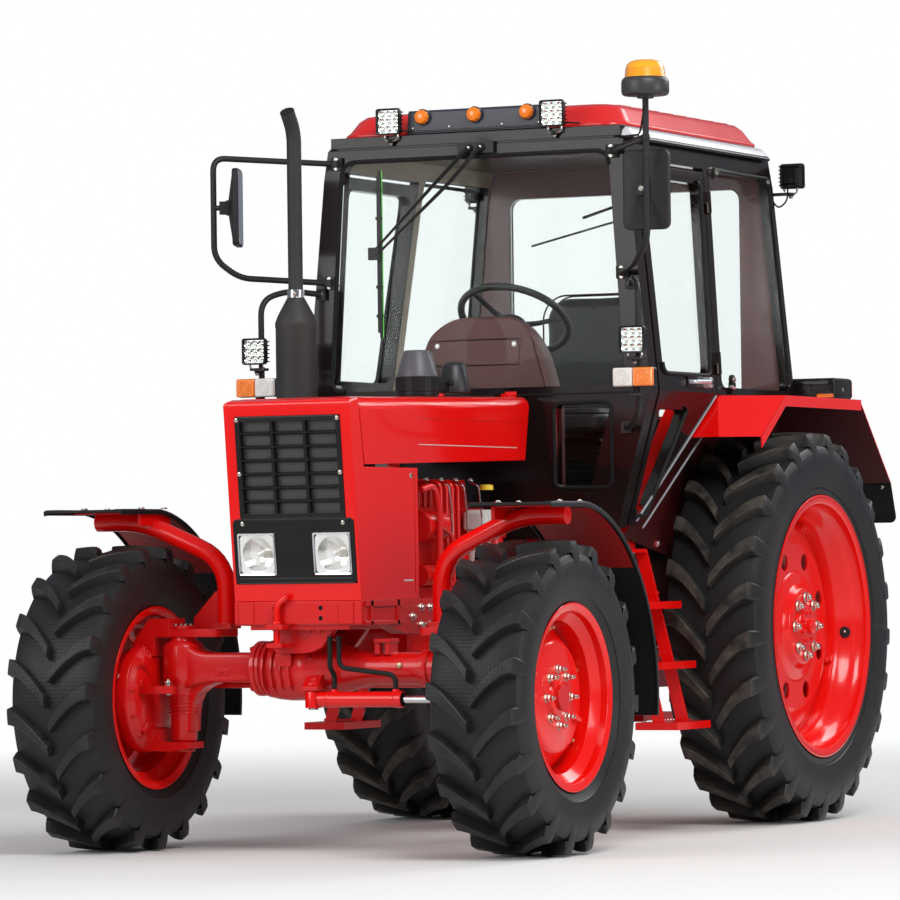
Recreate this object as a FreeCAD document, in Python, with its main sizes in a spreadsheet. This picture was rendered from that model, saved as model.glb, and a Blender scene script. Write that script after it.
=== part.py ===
"""Four-wheel-drive farm tractor with a glazed cab, in millimetres.

Frame: +X forward, +Y to the driver's left, +Z up, origin on the ground below the middle of the
overall length. Every size named ..._x in the sheet is measured forward from the rear axle, every
..._y sideways from the middle plane and every ..._z up from the ground.
"""
import FreeCAD, Part
import math
import os
import Sketcher

V = FreeCAD.Vector
doc = FreeCAD.newDocument("tractor")

# Sizes in mm, or in degrees or a count where the note says so.
SIZES = {
    "wheelbase": 2450,  # rear axle to front axle
    "rear_reach": 932,  # rear axle to the ends of the lower links
    "running_gap": 0.3,  # clearance round a turning or seated piece
    "swing_gap": 8,  # clearance beside a lid or door that swings
    "panel_gap": 12,  # clearance between the door and its frame
    "sheet_wall": 5,  # thickness of pressed sheet
    "front_radius": 548,  # front tyre to the lugs' tips
    "front_track": 1638,  # between the middles of the front tyres
    "front_section": 178,  # half of the front tyre's section width
    "front_tread": 168,  # half of the front tyre's tread width
    "front_seat": 305,  # bead seat radius of the front rim
    "front_flange": 327,  # flange radius of the front rim
    "front_rim_half": 152,  # half of the front rim's width over its flanges
    "front_face": 184,  # radius of the flat face of the front disc
    "front_dish": 80,  # front disc's face outside the wheel's middle plane
    "rear_radius": 755,  # rear tyre to the lugs' tips
    "rear_track": 1493,  # between the middles of the rear tyres
    "rear_section": 197,  # half of the rear tyre's section width
    "rear_tread": 178,  # half of the rear tyre's tread width
    "rear_seat": 483,  # bead seat radius of the rear rim
    "rear_flange": 506,  # flange radius of the rear rim
    "rear_rim_half": 184,  # half of the rear rim's width over its flanges
    "rear_face": 250,  # radius of the flat face of the rear disc
    "rear_dish": 60,  # rear disc's face outside the wheel's middle plane
    "rim_wall": 8,  # thickness of a rim
    "flange_wall": 8,  # thickness of a rim's flange
    "front_lug": 32,  # height of a front lug
    "front_lugs": 19,  # front lugs on one side of the tread
    "front_lug_sweep": 120,  # how far a front lug runs forward on its way out
    "front_lug_near": 46,  # width of a front lug at the tread's middle
    "front_lug_far": 64,  # its width at the shoulder
    "rear_lug": 38,  # height of a rear lug
    "rear_lugs": 25,  # rear lugs on one side of the tread
    "rear_lug_sweep": 145,  # how far a rear lug runs forward on its way out
    "rear_lug_near": 50,  # width of a rear lug at the tread's middle
    "rear_lug_far": 74,  # its width at the shoulder
    "lug_start": 6,  # lugs' inner ends from the tread's middle
    "spindle": 45,  # radius of the front wheel spindle
    "front_hub": 70,  # radius of the front wheel hub
    "rear_shaft": 50,  # radius of the rear axle shaft
    "rear_hub": 105,  # radius of the rear wheel hub
    "kingpin_y": 560,  # kingpin axis from the middle
    "column": 50,  # radius of the kingpin column
    "column_top_z": 765,  # top of the kingpin column
    "column_low_z": 392,  # bottom of the kingpin column
    "axle_z": 668,  # height of the front axle tube
    "axle_tube": 64,  # radius of the front axle tube
    "diff_ball": 112,  # radius of the front differential housing
    "knuckle_plate": 28,  # thickness of the knuckle's arms
    "knuckle_wall": 26,  # thickness of the knuckle's outer wall
    "steer_arm": 130,  # kingpin to the steering cylinder's pin
    "track_arm": 150,  # kingpin to the track rod's pin
    "track_rod_z": 592,  # height of the track rod
    "track_rod": 15,  # radius of the track rod
    "cylinder_z": 545,  # height of the steering cylinder
    "cylinder_ahead": 118,  # steering cylinder's axis ahead of the front axle
    "cylinder_root_y": 20,  # root pin of the steering cylinder
    "cylinder": 30,  # radius of the steering cylinder's barrel
    "cylinder_end_y": 372,  # open end of the steering cylinder's barrel
    "cylinder_rod": 13,  # radius of the steering cylinder's rod
    "fender_in_y": 680,  # inner edge of the front fender
    "fender_out_y": 1000,  # outer edge of the front fender
    "fender_radius": 682,  # front fender's arc about the front axle
    "fender_top_z": 1226,  # top of the front fender
    "fender_nose": 230,  # front end of the front fender ahead of the front axle
    "fender_tail_z": 465,  # lower end of the front fender
    "fender_wall": 12,  # thickness of the front fender
    "stay_behind": 86,  # fender stay's post behind the front axle
    "stay_y": 428,  # fender stay's post from the middle
    "stay_bend": 110,  # bend radius of the fender stay
    "stay": 34,  # radius of the fender stay
    "beam_half": 250,  # half width of the front beam
    "beam_nose": 192,  # front of the front beam ahead of the front axle
    "beam_low_z": 768,  # underside of the front beam
    "beam_top_z": 892,  # top of the front beam
    "beam_wall": 55,  # thickness of the front beam's plates
    "saddle_half": 85,  # half width of the axle saddle
    "weight_hole": 8.5,  # radius of the beam's holes for front weights
    "weight_hole_y": 90,  # those holes from the middle
    "weight_hole_rise": 18,  # those holes above and below the beam's middle height
    "saddle_plate": 32,  # thickness of a saddle plate
    "engine_front_x": 2045,  # front face of the engine
    "engine_back_x": 1290,  # rear face of the engine
    "engine_half": 165,  # half width of the engine over its manifold
    "engine_low_z": 700,  # bottom of the sump
    "engine_top_z": 1325,  # top of the rocker cover
    "sump_top_z": 775,  # top of the sump
    "sump_half": 105,  # half width of the sump
    "block_half": 140,  # half width of the cylinder block
    "block_top_z": 1110,  # top of the cylinder block
    "head_half": 112,  # half width of the cylinder head
    "head_top_z": 1222,  # top of the cylinder head
    "cover_half": 78,  # half width of the rocker cover
    "pump_out_y": 232,  # outer face of the injection pump
    "pump_z": 975,  # height of the injection pump
    "pump_length": 230,  # length of the injection pump
    "pump_behind": 120,  # front of the injection pump behind the engine's front
    "pipe": 8,  # radius of an injection pipe
    "pipe_spacing": 48,  # between two injection pipes
    "filter": 44,  # radius of a fuel filter
    "filter_height": 150,  # height of a fuel filter
    "filter_ahead": 190,  # front fuel filter ahead of the engine's rear
    "alternator": 58,  # radius of the alternator
    "alternator_z": 1150,  # height of the alternator
    "starter": 52,  # radius of the starter
    "starter_z": 850,  # height of the starter
    "pulley": 88,  # radius of the crankshaft's pulley
    "pulley_z": 1000,  # height of that pulley
    "fan_z": 1130,  # height of the fan
    "fan": 195,  # radius of the fan
    "fan_hub": 48,  # radius of the fan's hub
    "fan_ahead": 85,  # fan ahead of the engine
    "hose": 9,  # radius of a steering hose
    "clutch_half": 190,  # half width of the clutch housing
    "clutch_back_x": 720,  # rear of the clutch housing
    "gearbox_half": 170,  # half width of the gearbox
    "gearbox_low_z": 560,  # bottom of the gearbox
    "gearbox_top_z": 985,  # top of the gearbox
    "axlebox_front_x": 230,  # front of the rear axle housing
    "axlebox_back_x": -225,  # rear of the rear axle housing
    "axlebox_half": 235,  # half width of the rear axle housing
    "axlebox_low_z": 520,  # bottom of the rear axle housing
    "trumpet": 95,  # radius of the half-axle trumpets
    "trumpet_end_y": 690,  # end of the half-axle trumpets
    "lift_box_top_z": 1072,  # top of the lift housing
    "lift_box_back_x": -330,  # rear of the lift housing
    "driveshaft": 28,  # radius of the front drive shaft
    "driveshaft_y": -120,  # front drive shaft from the middle
    "driveshaft_z": 640,  # height of the front drive shaft
    "pto": 17.45,  # radius of the power take-off shaft
    "pto_z": 640,  # height of the power take-off shaft
    "pto_length": 76,  # free length of the power take-off shaft
    "hood_half": 249,  # half width of the hood
    "hood_wall": 10,  # thickness of the hood's panels
    "hood_nose_low": 190,  # hood's nose at its lower edge ahead of the front axle
    "hood_nose_top": 263,  # hood's nose at its top ahead of the front axle
    "hood_nose_top_z": 1590,  # height of the nose's top edge
    "hood_round": 45,  # radius of the hood's top corners
    "seam_low": 150,  # bonnet's front edge ahead of the front axle, low down
    "seam_top": 192,  # bonnet's front edge ahead of the front axle, at its top
    "seam_front_z": 1366,  # bonnet's lower edge at the front
    "seam_back_z": 1396,  # bonnet's lower edge at the rear
    "bonnet_front_z": 1603,  # bonnet's top at the front
    "bonnet_back_z": 1634,  # bonnet's top at the rear
    "bonnet_back_x": 1214,  # bonnet's rear edge
    "bonnet_toe_x": 1262,  # bonnet's rear lower corner
    "side_behind": 270,  # rear edge of the hood's side panel behind the front axle
    "grille_half": 207,  # half width of the grille
    "grille_low_z": 1180,  # lower edge of the grille
    "grille_top_z": 1540,  # upper edge of the grille
    "lamp_panel_half": 238,  # half width of the lamp panel
    "lamp_panel_low_z": 952,  # lower edge of the lamp panel
    "lamp_panel_top_z": 1172,  # upper edge of the lamp panel
    "headlamp_y": 148,  # middle of a headlamp from the middle plane
    "headlamp_z": 1056,  # middle of a headlamp
    "headlamp": 150,  # width and height of a headlamp
    "grille_depth": 36,  # depth of the grille
    "grille_border": 18,  # width of the grille's border
    "grille_bar": 11,  # width of a bar between its openings
    "grille_rows": 7,  # rows of openings
    "grille_columns": 3,  # openings in a row
    "grille_pocket": 20,  # depth of an opening
    "radiator_ahead": 30,  # front of the radiator ahead of the front axle
    "radiator_depth": 95,  # depth of the radiator
    "cleaner_x": 1655,  # pre-cleaner forward of the rear axle
    "cleaner": 81,  # radius of the pre-cleaner's ring
    "cleaner_lift": 1.4,  # pre-cleaner's foot above the sloping bonnet
    "cleaner_top_z": 1800,  # top of the pre-cleaner
    "exhaust_x": 1945,  # exhaust forward of the rear axle
    "exhaust_y": -350,  # exhaust from the middle
    "muffler": 77,  # radius of the muffler
    "muffler_cone": 85,  # height of the muffler's cone
    "muffler_low_z": 1352,  # lower end of the muffler
    "muffler_top_z": 1907,  # where the muffler's cone begins
    "tailpipe": 28,  # radius of the tail pipe
    "tailpipe_bend": 90,  # bend radius of the tail pipe
    "tailpipe_bend_z": 2585,  # where the tail pipe bends forward
    "exhaust_top_z": 2675,  # top of the tail pipe
    "cab_front_x": 1150,  # front face of the cab
    "cab_post_x": 1080,  # rear face of the cab's front frame
    "cab_back_x": -280,  # rear face of the cab
    "cab_wall": 42,  # thickness of the cab's sides
    "cab_rear_wall": 40,  # thickness of the cab's rear frame
    "sill_z": 1140,  # top of the cab floor
    "sill_y": 573,  # half width of the cab at its sill
    "belt_z": 1650,  # height of the cab's belt
    "belt_y": 712,  # half width of the cab at its belt
    "eave_z": 2476,  # height of the cab's eaves
    "eave_y": 631,  # half width of the cab at its eaves
    "gutter_z": 2590,  # top of the cab's frame
    "gutter_y": 612,  # half width of the cab at its gutter
    "floor_wall": 36,  # thickness of the cab floor
    "cab_mount": 60,  # length and width of a rubber mount under the cab
    "well_y": 505,  # half width of the cab between the fenders
    "glass": 5,  # thickness of a pane
    "glass_in": 18,  # pane behind the cab's outer face
    "shield_low_y": 609,  # windshield's half width at the bottom
    "shield_low_z": 1672,  # windshield's bottom
    "shield_high_y": 552,  # windshield's half width at the top
    "shield_high_z": 2545,  # windshield's top
    "low_pane_in_y": 318,  # inner edge of the lower front pane
    "low_pane_out_y": 552,  # outer edge of the lower front pane
    "low_pane_top_z": 1608,  # top of the lower front pane
    "low_pane_low_z": 1292,  # bottom of the lower front pane
    "bulkhead_low_z": 1104,  # lower edge of the cab's front
    "door_front_x": 1060,  # front edge of the door
    "door_low_z": 1150,  # lower edge of the door
    "door_toe_x": 990,  # rear end of the door's lower edge
    "door_heel_x": 518,  # lower end of the door's hinge edge
    "door_heel_z": 1645,  # height of that end
    "door_top_x": 424,  # upper end of the door's hinge edge
    "door_top_z": 2500,  # height of the door's top
    "door_frame": 48,  # width of the door's frame round its glass
    "door_pane_low_z": 1722,  # bottom of the door's upper pane
    "low_glass_top_z": 1582,  # top of the door's lower pane
    "low_glass_low_z": 1190,  # bottom of the door's lower pane
    "low_glass_back_x": 780,  # rear top corner of the door's lower pane
    "low_glass_toe_x": 932,  # rear bottom corner of the door's lower pane
    "low_glass_front_x": 1026,  # front edge of the door's lower pane
    "hinge_out": 16,  # hinge axis outside the door's face
    "hinge": 9,  # radius of a hinge barrel
    "hinge_leaf": 42,  # length of a hinge barrel
    "hinge_low_z": 1765,  # middle of the door's lower hinge
    "hinge_high_z": 2385,  # middle of the door's upper hinge
    "bonnet_hinge_y": 150,  # bonnet's hinges from the middle
    "post_width": 58,  # width of the post behind the door
    "quarter_low_z": 1675,  # bottom of the rear side pane
    "quarter_top_z": 2528,  # top of the rear side pane
    "quarter_back_x": -232,  # rear edge of the rear side pane
    "rear_pane_half": 500,  # half width of the rear pane
    "rear_pane_low_z": 1590,  # bottom of the rear pane
    "rear_pane_top_z": 2480,  # top of the rear pane
    "roof_front_x": 1104,  # front of the roof panel
    "roof_back_x": -268,  # rear of the roof panel
    "roof_half": 592,  # half width of the roof panel
    "roof_low_z": 2640,  # lower edge of the roof panel
    "roof_top_z": 2740,  # top of the roof
    "roof_slope": 62,  # width of the roof's sloped border
    "band_half": 282,  # half width of the roof's front band
    "band_front_x": 1132,  # front face of the roof's front band
    "band_top_z": 2732,  # top of the roof's front band
    "rim_front_x": 1146,  # front of the roof's rim
    "rim_half": 632,  # half width of the roof's rim
    "seat_x": 60,  # seat's rear forward of the rear axle
    "seat_depth": 450,  # depth of the seat cushion
    "seat_half": 235,  # half width of the seat
    "seat_z": 1500,  # underside of the seat cushion
    "cushion": 110,  # thickness of the seat cushion
    "seat_back_top_z": 2080,  # top of the seat's back
    "seat_back_wall": 120,  # thickness of the seat's back
    "pedestal_half": 170,  # half width of the seat's pedestal
    "dash_front_x": 1072,  # front of the dashboard
    "dash_back_x": 890,  # rear of the dashboard
    "dash_low_half": 280,  # half width of the dashboard at its foot
    "dash_top_half": 150,  # half width of the dashboard at its top
    "dash_top_z": 1945,  # top of the dashboard
    "dash_shoulder_z": 1740,  # height of the dashboard's shoulder
    "wheel_x": 800,  # steering wheel's middle
    "wheel_z": 1945,  # height of the steering wheel's middle
    "wheel_ring": 210,  # radius of the steering wheel
    "wheel_grip": 15,  # radius of its rim
    "wheel_tilt": 34,  # degrees that it leans back
    "guard_top_z": 1643,  # top of the rear fender
    "guard_out_y": 902,  # outer edge of the rear fender
    "guard_fold_y": 702,  # inner edge of the slanted front facet
    "guard_fold_x": 486,  # front facet's upper edge at that inner edge
    "guard_front_x": 300,  # front facet's upper edge at the outer edge
    "guard_facet_run": 245,  # how far the front facet reaches forward
    "guard_facet_drop": 162,  # how far it drops
    "guard_back_x": -499,  # rear end of the fender's top
    "guard_tail_x": -826,  # lower end of the fender's rear plate
    "guard_tail_z": 1320,  # height of that end
    "guard_lip": 42,  # height of the fender's outer lip
    "guard_low_z": 1000,  # lower edge of the fender's inner wall
    "flap_drop": 165,  # height of the rubber flap
    "flap_lean": 62,  # how far the flap leans back
    "flap_in_y": 600,  # inner edge of the rubber flap
    "flap_wall": 10,  # thickness of the rubber flap
    "tank_front_x": 880,  # front of the side tanks
    "tank_back_x": 330,  # rear of the side tanks
    "tank_low_z": 690,  # bottom of the side tanks
    "tank_in_y": 262,  # inner face of the side tanks
    "tank_out_y": 470,  # outer face of the side tanks
    "step_front_x": 1090,  # front end of the entry steps
    "step_back_x": 772,  # rear end of the entry steps
    "step_top_y": 522,  # ladder's rails at the top
    "step_low_y": 690,  # ladder's rails at the bottom
    "step_low_z": 388,  # underside of the lowest tread
    "tread_depth": 170,  # depth of a tread
    "tread_wall": 28,  # height of a tread
    "rail_width": 48,  # width of a ladder rail
    "rail_wall": 10,  # thickness of a ladder rail
    "tread_count": 3,  # treads on a ladder
    "ladder_top_z": 1060,  # top of the ladder's rails
    "arm_tube": 12,  # radius of the mirror arms
    "arm_x": 1566,  # mirror arm's outer bar forward of the rear axle
    "arm_y": 887,  # mirror arm's outer bar from the middle
    "arm_low_z": 2112,  # lower end of the mirror arm
    "arm_top_z": 2552,  # upper end of the mirror arm
    "mirror_width": 176,  # width of a mirror
    "mirror_low_z": 2218,  # bottom of a mirror
    "mirror_high_z": 2510,  # top of a mirror
    "mirror_depth": 58,  # depth of a mirror
    "beacon_z": 2756,  # underside of the beacon
    "beacon": 85,  # radius of the beacon's base
    "beacon_dome": 68,  # radius of the beacon's dome
    "beacon_top_z": 2846,  # top of the beacon's dome
    "stalk_x": 1470,  # side lamps forward of the rear axle
    "stalk_y": 776,  # side lamps from the middle
    "turn_lamp_z": 1687,  # middle of the turn lamps
    "turn_lamp_width": 160,  # width of a turn lamp
    "turn_lamp_height": 74,  # height of a turn lamp
    "side_lamp_z": 1822,  # middle of the side work lamps
    "work_lamp": 100,  # width and height of a work lamp
    "work_lamp_depth": 52,  # depth of a work lamp
    "roof_lamp_x": 1189,  # roof work lamps forward of the rear axle
    "roof_lamp_y": 340,  # roof work lamps from the middle
    "roof_lamp_z": 2690,  # middle of the roof work lamps
    "marker_y": 218,  # spacing of the marker lamps
    "marker_z": 2704,  # middle of the marker lamps
    "marker": 32,  # radius of a marker lamp
    "tail_lamp_y": 770,  # tail lamps from the middle
    "rear_lamp_y": 560,  # rear work lamps from the middle
    "rear_lamp_z": 2560,  # middle of the rear work lamps
    "box_front_x": -292,  # front of the black box on each rear fender
    "box_back_x": -470,  # its rear
    "box_in_y": 640,  # its inner face
    "box_out_y": 880,  # its outer face
    "box_height": 84,  # its height
    "link_root_x": -150,  # lower links' root pins
    "link_root_z": 480,  # height of those pins
    "link_root_y": 262,  # lower links' roots from the middle
    "link_end_y": 400,  # lower links' eyes from the middle
    "link_end_z": 600,  # height of the eyes
    "link_eye": 28.5,  # radius outside a lower link's eye
    "link_hole": 14.35,  # radius of the hole in a lower link's eye
    "link_eye_width": 45,  # width of a lower link's eye
    "link_bar": 22,  # half height of a lower link
    "arm_root_x": -290,  # lift shaft behind the rear axle
    "arm_root_z": 1010,  # height of the lift shaft
    "arm_reach": 300,  # length of a lift arm
    "arm_side_y": 285,  # lift arms from the middle
    "lift_arm_half": 14,  # half thickness of a lift arm
    "lift_rod": 14,  # radius of a lift rod
    "top_link_z": 880,  # height of the top link's pin
    "top_link_x": -330,  # top link's pin behind the rear axle
    "top_link_length": 470,  # length of the top link
    "top_link": 16,  # radius of the top link's tube
    "hitch_z": 392,  # middle height of the drawbar
    "hitch_end_x": -610,  # rear end of the drawbar
    "hitch_pin": 16.5,  # radius of the drawbar's pin hole
    "hitch_wall": 30,  # thickness of the drawbar
    "hitch_half": 40,  # half width of the drawbar
    "shield_round": 38,  # corner radius of the windshield
    "low_pane_round": 26,  # corner radius of the lower front pane
    "quarter_round": 30,  # corner radius of the rear side pane
    "rear_pane_round": 45,  # corner radius of the rear pane
    "door_round": 34,  # corner radius of the door's upper pane
    "low_glass_round": 18,  # corner radius of the door's lower pane
    "rim_round": 60,  # corner radius of the roof's rim
    "tank_round": 30,  # corner radius of the side tanks
}


class Size:
    """A number that remembers the sheet expression it comes from."""

    def __init__(self, number, text):
        self.number = float(number)
        self.text = text

    def joined(self, other, sign, turned=False):
        other = other if isinstance(other, Size) else Size(other, repr(float(other)))
        one, two = (other, self) if turned else (self, other)
        number = {"+": one.number + two.number, "-": one.number - two.number,
                  "*": one.number * two.number,
                  "/": one.number / two.number if two.number else 0.0}[sign]
        return Size(number, "(%s %s %s)" % (one.text, sign, two.text))

    def __add__(self, other):
        return self.joined(other, "+")

    def __radd__(self, other):
        return self.joined(other, "+", True)

    def __sub__(self, other):
        return self.joined(other, "-")

    def __rsub__(self, other):
        return self.joined(other, "-", True)

    def __mul__(self, other):
        return self.joined(other, "*")

    def __rmul__(self, other):
        return self.joined(other, "*", True)

    def __truediv__(self, other):
        return self.joined(other, "/")

    def __neg__(self):
        return self.joined(-1, "*")

    def __float__(self):
        return self.number


class Sizes:
    """The driving sizes by name."""


sheet = doc.addObject("Spreadsheet::Sheet", "Sizes")
s = Sizes()
for row, (name, number) in enumerate(SIZES.items(), 1):
    sheet.set("A%d" % row, name)
    sheet.set("B%d" % row, str(number))
    sheet.setAlias("B%d" % row, name)
    setattr(s, name, Size(number, "Sizes." + name))
doc.recompute()

# Derived places
cylinder_back_x = s.wheelbase + s.cylinder_ahead
fender_nose_x = s.wheelbase + s.fender_nose
stay_x = s.wheelbase - s.stay_behind
beam_nose_x = s.wheelbase + s.beam_nose
hood_nose_low_x = s.wheelbase + s.hood_nose_low
hood_nose_top_x = s.wheelbase + s.hood_nose_top
seam_low_x = s.wheelbase + s.seam_low
seam_top_x = s.wheelbase + s.seam_top
radiator_x = s.wheelbase + s.radiator_ahead
side_back_x = s.wheelbase - s.side_behind
fan_x = s.engine_front_x + s.fan_ahead
pump_front_x = s.engine_front_x - s.pump_behind
filter_x = s.engine_back_x + s.filter_ahead
rear_axle = (s.rear_reach - s.wheelbase - s.front_radius) / 2
front_wheel_y = s.front_track / 2
rear_wheel_y = s.rear_track / 2
beam_back_x = s.engine_front_x + s.running_gap
hood_low_z = s.beam_top_z + s.running_gap
floor_low_z = s.sill_z - s.floor_wall
step_top_z = floor_low_z - s.running_gap
tank_top_z = floor_low_z - s.running_gap
guard_in_y = s.well_y + s.running_gap

PLANES = {"XY": "XY_Plane", "XZ": "XZ_Plane", "YZ": "YZ_Plane"}
nodes = {}


def bind(item, path, size):
    """Set one property, as an expression when its size comes from the sheet."""
    if isinstance(size, Size):
        item.setExpression(path, size.text)
    elif float(size):
        item.setExpression(path, repr(float(size)))


def place(item, x=0, y=0, z=0, axis=None, angle=0):
    """Put an item at a named place; the turn comes first, then the move."""
    if axis:
        item.Placement = FreeCAD.Placement(V(0, 0, 0), FreeCAD.Rotation(V(*axis), float(angle)))
    bind(item, "Placement.Base.x", x)
    bind(item, "Placement.Base.y", y)
    bind(item, "Placement.Base.z", z)
    return item


def node(label, item, x=0, y=0, z=0):
    """Name a finished piece and move it from the rear axle's frame to the tractor's own."""
    if item.TypeId in ("Part::Box", "Part::Cylinder"):
        item = group(label + "_placed", item)
    item.Label = label
    place(item, rear_axle + x, y, z)
    nodes[label] = item
    return item


def twin(label, item):
    """The same finished piece on the other side of the tractor."""
    nodes[label] = mirror(label, item)


def drawn(body, role, points, offset):
    """A closed outline of straight lines whose corners are tied to the sheet."""
    sketch = body.newObject("Sketcher::SketchObject", body.Name + "_outline")
    plane = [item for item in body.Origin.OriginFeatures if item.Role == PLANES[role]][0]
    sketch.AttachmentSupport = [(plane, "")]
    sketch.MapMode = "FlatFace"
    bind(sketch, "AttachmentOffset.Base.z", offset)
    corners = [V(float(u), float(v), 0) for u, v in points]
    sketch.addGeometry([Part.LineSegment(corner, corners[(i + 1) % len(corners)])
                        for i, corner in enumerate(corners)], False)
    for i in range(len(corners)):
        sketch.addConstraint(Sketcher.Constraint("Coincident", i, 2, (i + 1) % len(corners), 1))
    for i, (u, v) in enumerate(points):
        for kind, size in (("DistanceX", u), ("DistanceY", v)):
            tie = sketch.addConstraint(Sketcher.Constraint(kind, -1, 1, i, 1, float(size)))
            if isinstance(size, Size):
                sketch.setExpression("Constraints[%d]" % tie, size.text)
    return sketch


def pad(name, role, points, low, high, corner=None, along=None, above=0):
    """A plate drawn on one plane, from low to high across it.

    If asked, its edges along one way are rounded; above keeps only those higher than a level.
    """
    body = doc.addObject("PartDesign::Body", name)
    normal = {"XY": V(0, 0, 1), "XZ": V(0, -1, 0), "YZ": V(1, 0, 0)}[role]
    sketch = drawn(body, role, points, -high if role == "XZ" else low)
    plate = body.newObject("PartDesign::Pad", name + "_pad")
    plate.Profile = sketch
    bind(plate, "Length", high - low)
    if corner is not None:
        doc.recompute()
        along = along or normal
        edges = ["Edge%d" % (i + 1) for i, edge in enumerate(plate.Shape.Edges)
                 if edge.tangentAt(edge.FirstParameter).cross(along).Length < 0.08
                 and isinstance(edge.Curve, Part.Line) and edge.BoundBox.ZMin >= float(above)]
        round_off = body.newObject("PartDesign::Fillet", name + "_round")
        round_off.Base = (plate, edges)
        bind(round_off, "Radius", corner)
    return body


def turned(name, role, points):
    """A turned piece: a closed outline on one plane, turned about that sketch's own axis.

    On "YZ" the points are (y, radius) about Y; on "XZ" they are (radius, z) about Z.
    """
    body = doc.addObject("PartDesign::Body", name)
    sketch = drawn(body, role, points, 0)
    turn = body.newObject("PartDesign::Revolution", name + "_turn")
    turn.Profile = sketch
    turn.ReferenceAxis = (sketch, ["H_Axis" if role == "YZ" else "V_Axis"])
    turn.Angle = 360
    return body


def box(name, x, y, z):
    """A block between two limits on each axis."""
    block = doc.addObject("Part::Box", name)
    bind(block, "Length", x[1] - x[0])
    bind(block, "Width", y[1] - y[0])
    bind(block, "Height", z[1] - z[0])
    return place(block, x[0], y[0], z[0])


def cylinder(name, axis, radius, start, length, at):
    """A round bar along X, Y or Z from start for its length; at gives its other two places."""
    bar = doc.addObject("Part::Cylinder", name)
    bind(bar, "Radius", radius)
    bind(bar, "Height", length)
    if axis == "X":
        return place(bar, start, at[0], at[1], (0, 1, 0), 90)
    if axis == "Y":
        return place(bar, at[0], start, at[1], (1, 0, 0), -90)
    return place(bar, at[0], at[1], start)


def cut(name, base, *tools):
    """What is left of a piece after the tools are taken away."""
    for i, tool in enumerate(tools):
        left = doc.addObject("Part::Cut", name if i == len(tools) - 1 else "%s_%d" % (name, i))
        left.Base = base
        left.Tool = tool
        base = left
    return base


def common(name, one, two):
    """What two pieces share."""
    shared = doc.addObject("Part::Common", name)
    shared.Base = one
    shared.Tool = two
    return shared


def fuse(name, *pieces):
    """Pieces joined into one solid."""
    joined = doc.addObject("Part::MultiFuse", name)
    joined.Shapes = list(pieces)
    joined.Refine = True
    return joined


def group(name, *pieces):
    """Like pieces that don't touch, kept as one node."""
    bundle = doc.addObject("Part::Compound", name)
    bundle.Links = list(pieces)
    return bundle


def mirror(name, piece):
    """The same piece on the other side of the tractor."""
    twin = doc.addObject("Part::Mirroring", name)
    twin.Source = piece
    twin.Normal = V(0, 1, 0)
    return twin


def shaped(name, shape):
    """A piece that neither a sketch nor a plain block gives."""
    item = doc.addObject("Part::Feature", name)
    item.Shape = shape
    return item


def at(*sizes):
    """A point from three sizes."""
    return V(*[float(size) for size in sizes])


def slab(name, corners, wall):
    """A flat sheet through its corners, its wall built up along the corners' own normal."""
    points = [at(*corner) for corner in corners]
    normal = (points[1] - points[0]).cross(points[2] - points[1]).normalize()
    face = Part.Face(Part.makePolygon(points + points[:1]))
    return shaped(name, face.extrude(normal * float(wall)))


def route(points, bend):
    """Straight runs joined by arcs that touch them."""
    points = [at(*point) for point in points]
    edges = []
    start = points[0]
    for before, corner, after in zip(points, points[1:], points[2:]):
        one = (before - corner).normalize()
        two = (after - corner).normalize()
        half = one.getAngle(two) / 2
        reach = float(bend) / math.tan(half)
        middle = (one + two).normalize() * (float(bend) / math.sin(half) - float(bend))
        enter, leave = corner + one * reach, corner + two * reach
        edges.append(Part.LineSegment(start, enter).toShape())
        edges.append(Part.Arc(enter, corner + middle, leave).toShape())
        start = leave
    edges.append(Part.LineSegment(start, points[-1]).toShape())
    return Part.Wire(edges)


def tube(name, points, radius, bend=1):
    """A round bar bent along its route."""
    path = route(points, bend)
    first = at(*points[0])
    ring = Part.Wire(Part.makeCircle(float(radius), first, at(*points[1]) - first))
    return shaped(name, path.makePipeShell([ring], True, False))


# Wheels: each is a tyre and a rim with its hub
def polyhedron(faces):
    """A solid bounded by flat faces."""
    shell = Part.makeShell([Part.Face(Part.makePolygon(face + face[:1])) for face in faces])
    shell.sewShape()
    return Part.Solid(shell)


def tyre_lug(radius, root, middle, side, near, far, near_width, far_width, sweep):
    """One lug, from the tread's middle out to its shoulder, with all its top corners on the radius.

    middle is the lug's angle from forward towards up; side is the way outward.
    """
    out, along = V(math.cos(middle), 0, math.sin(middle)), V(-math.sin(middle), 0, math.cos(middle))
    corners = [(-sweep - near_width, near), (-sweep + near_width, near),
               (sweep + far_width, far), (sweep - far_width, far)]
    low, top = [], []
    for twice, y in corners:
        foot = along * (twice / 2) + V(0, y * side, 0)
        low.append(foot + out * root)
        top.append(foot + out * math.sqrt(radius ** 2 - (twice / 2) ** 2))
    faces = [[low[i], low[i - 3], top[i - 3], top[i]] for i in range(4)]
    return polyhedron(faces + [low, [top[0], top[1], top[3]], [top[1], top[2], top[3]]])


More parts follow.
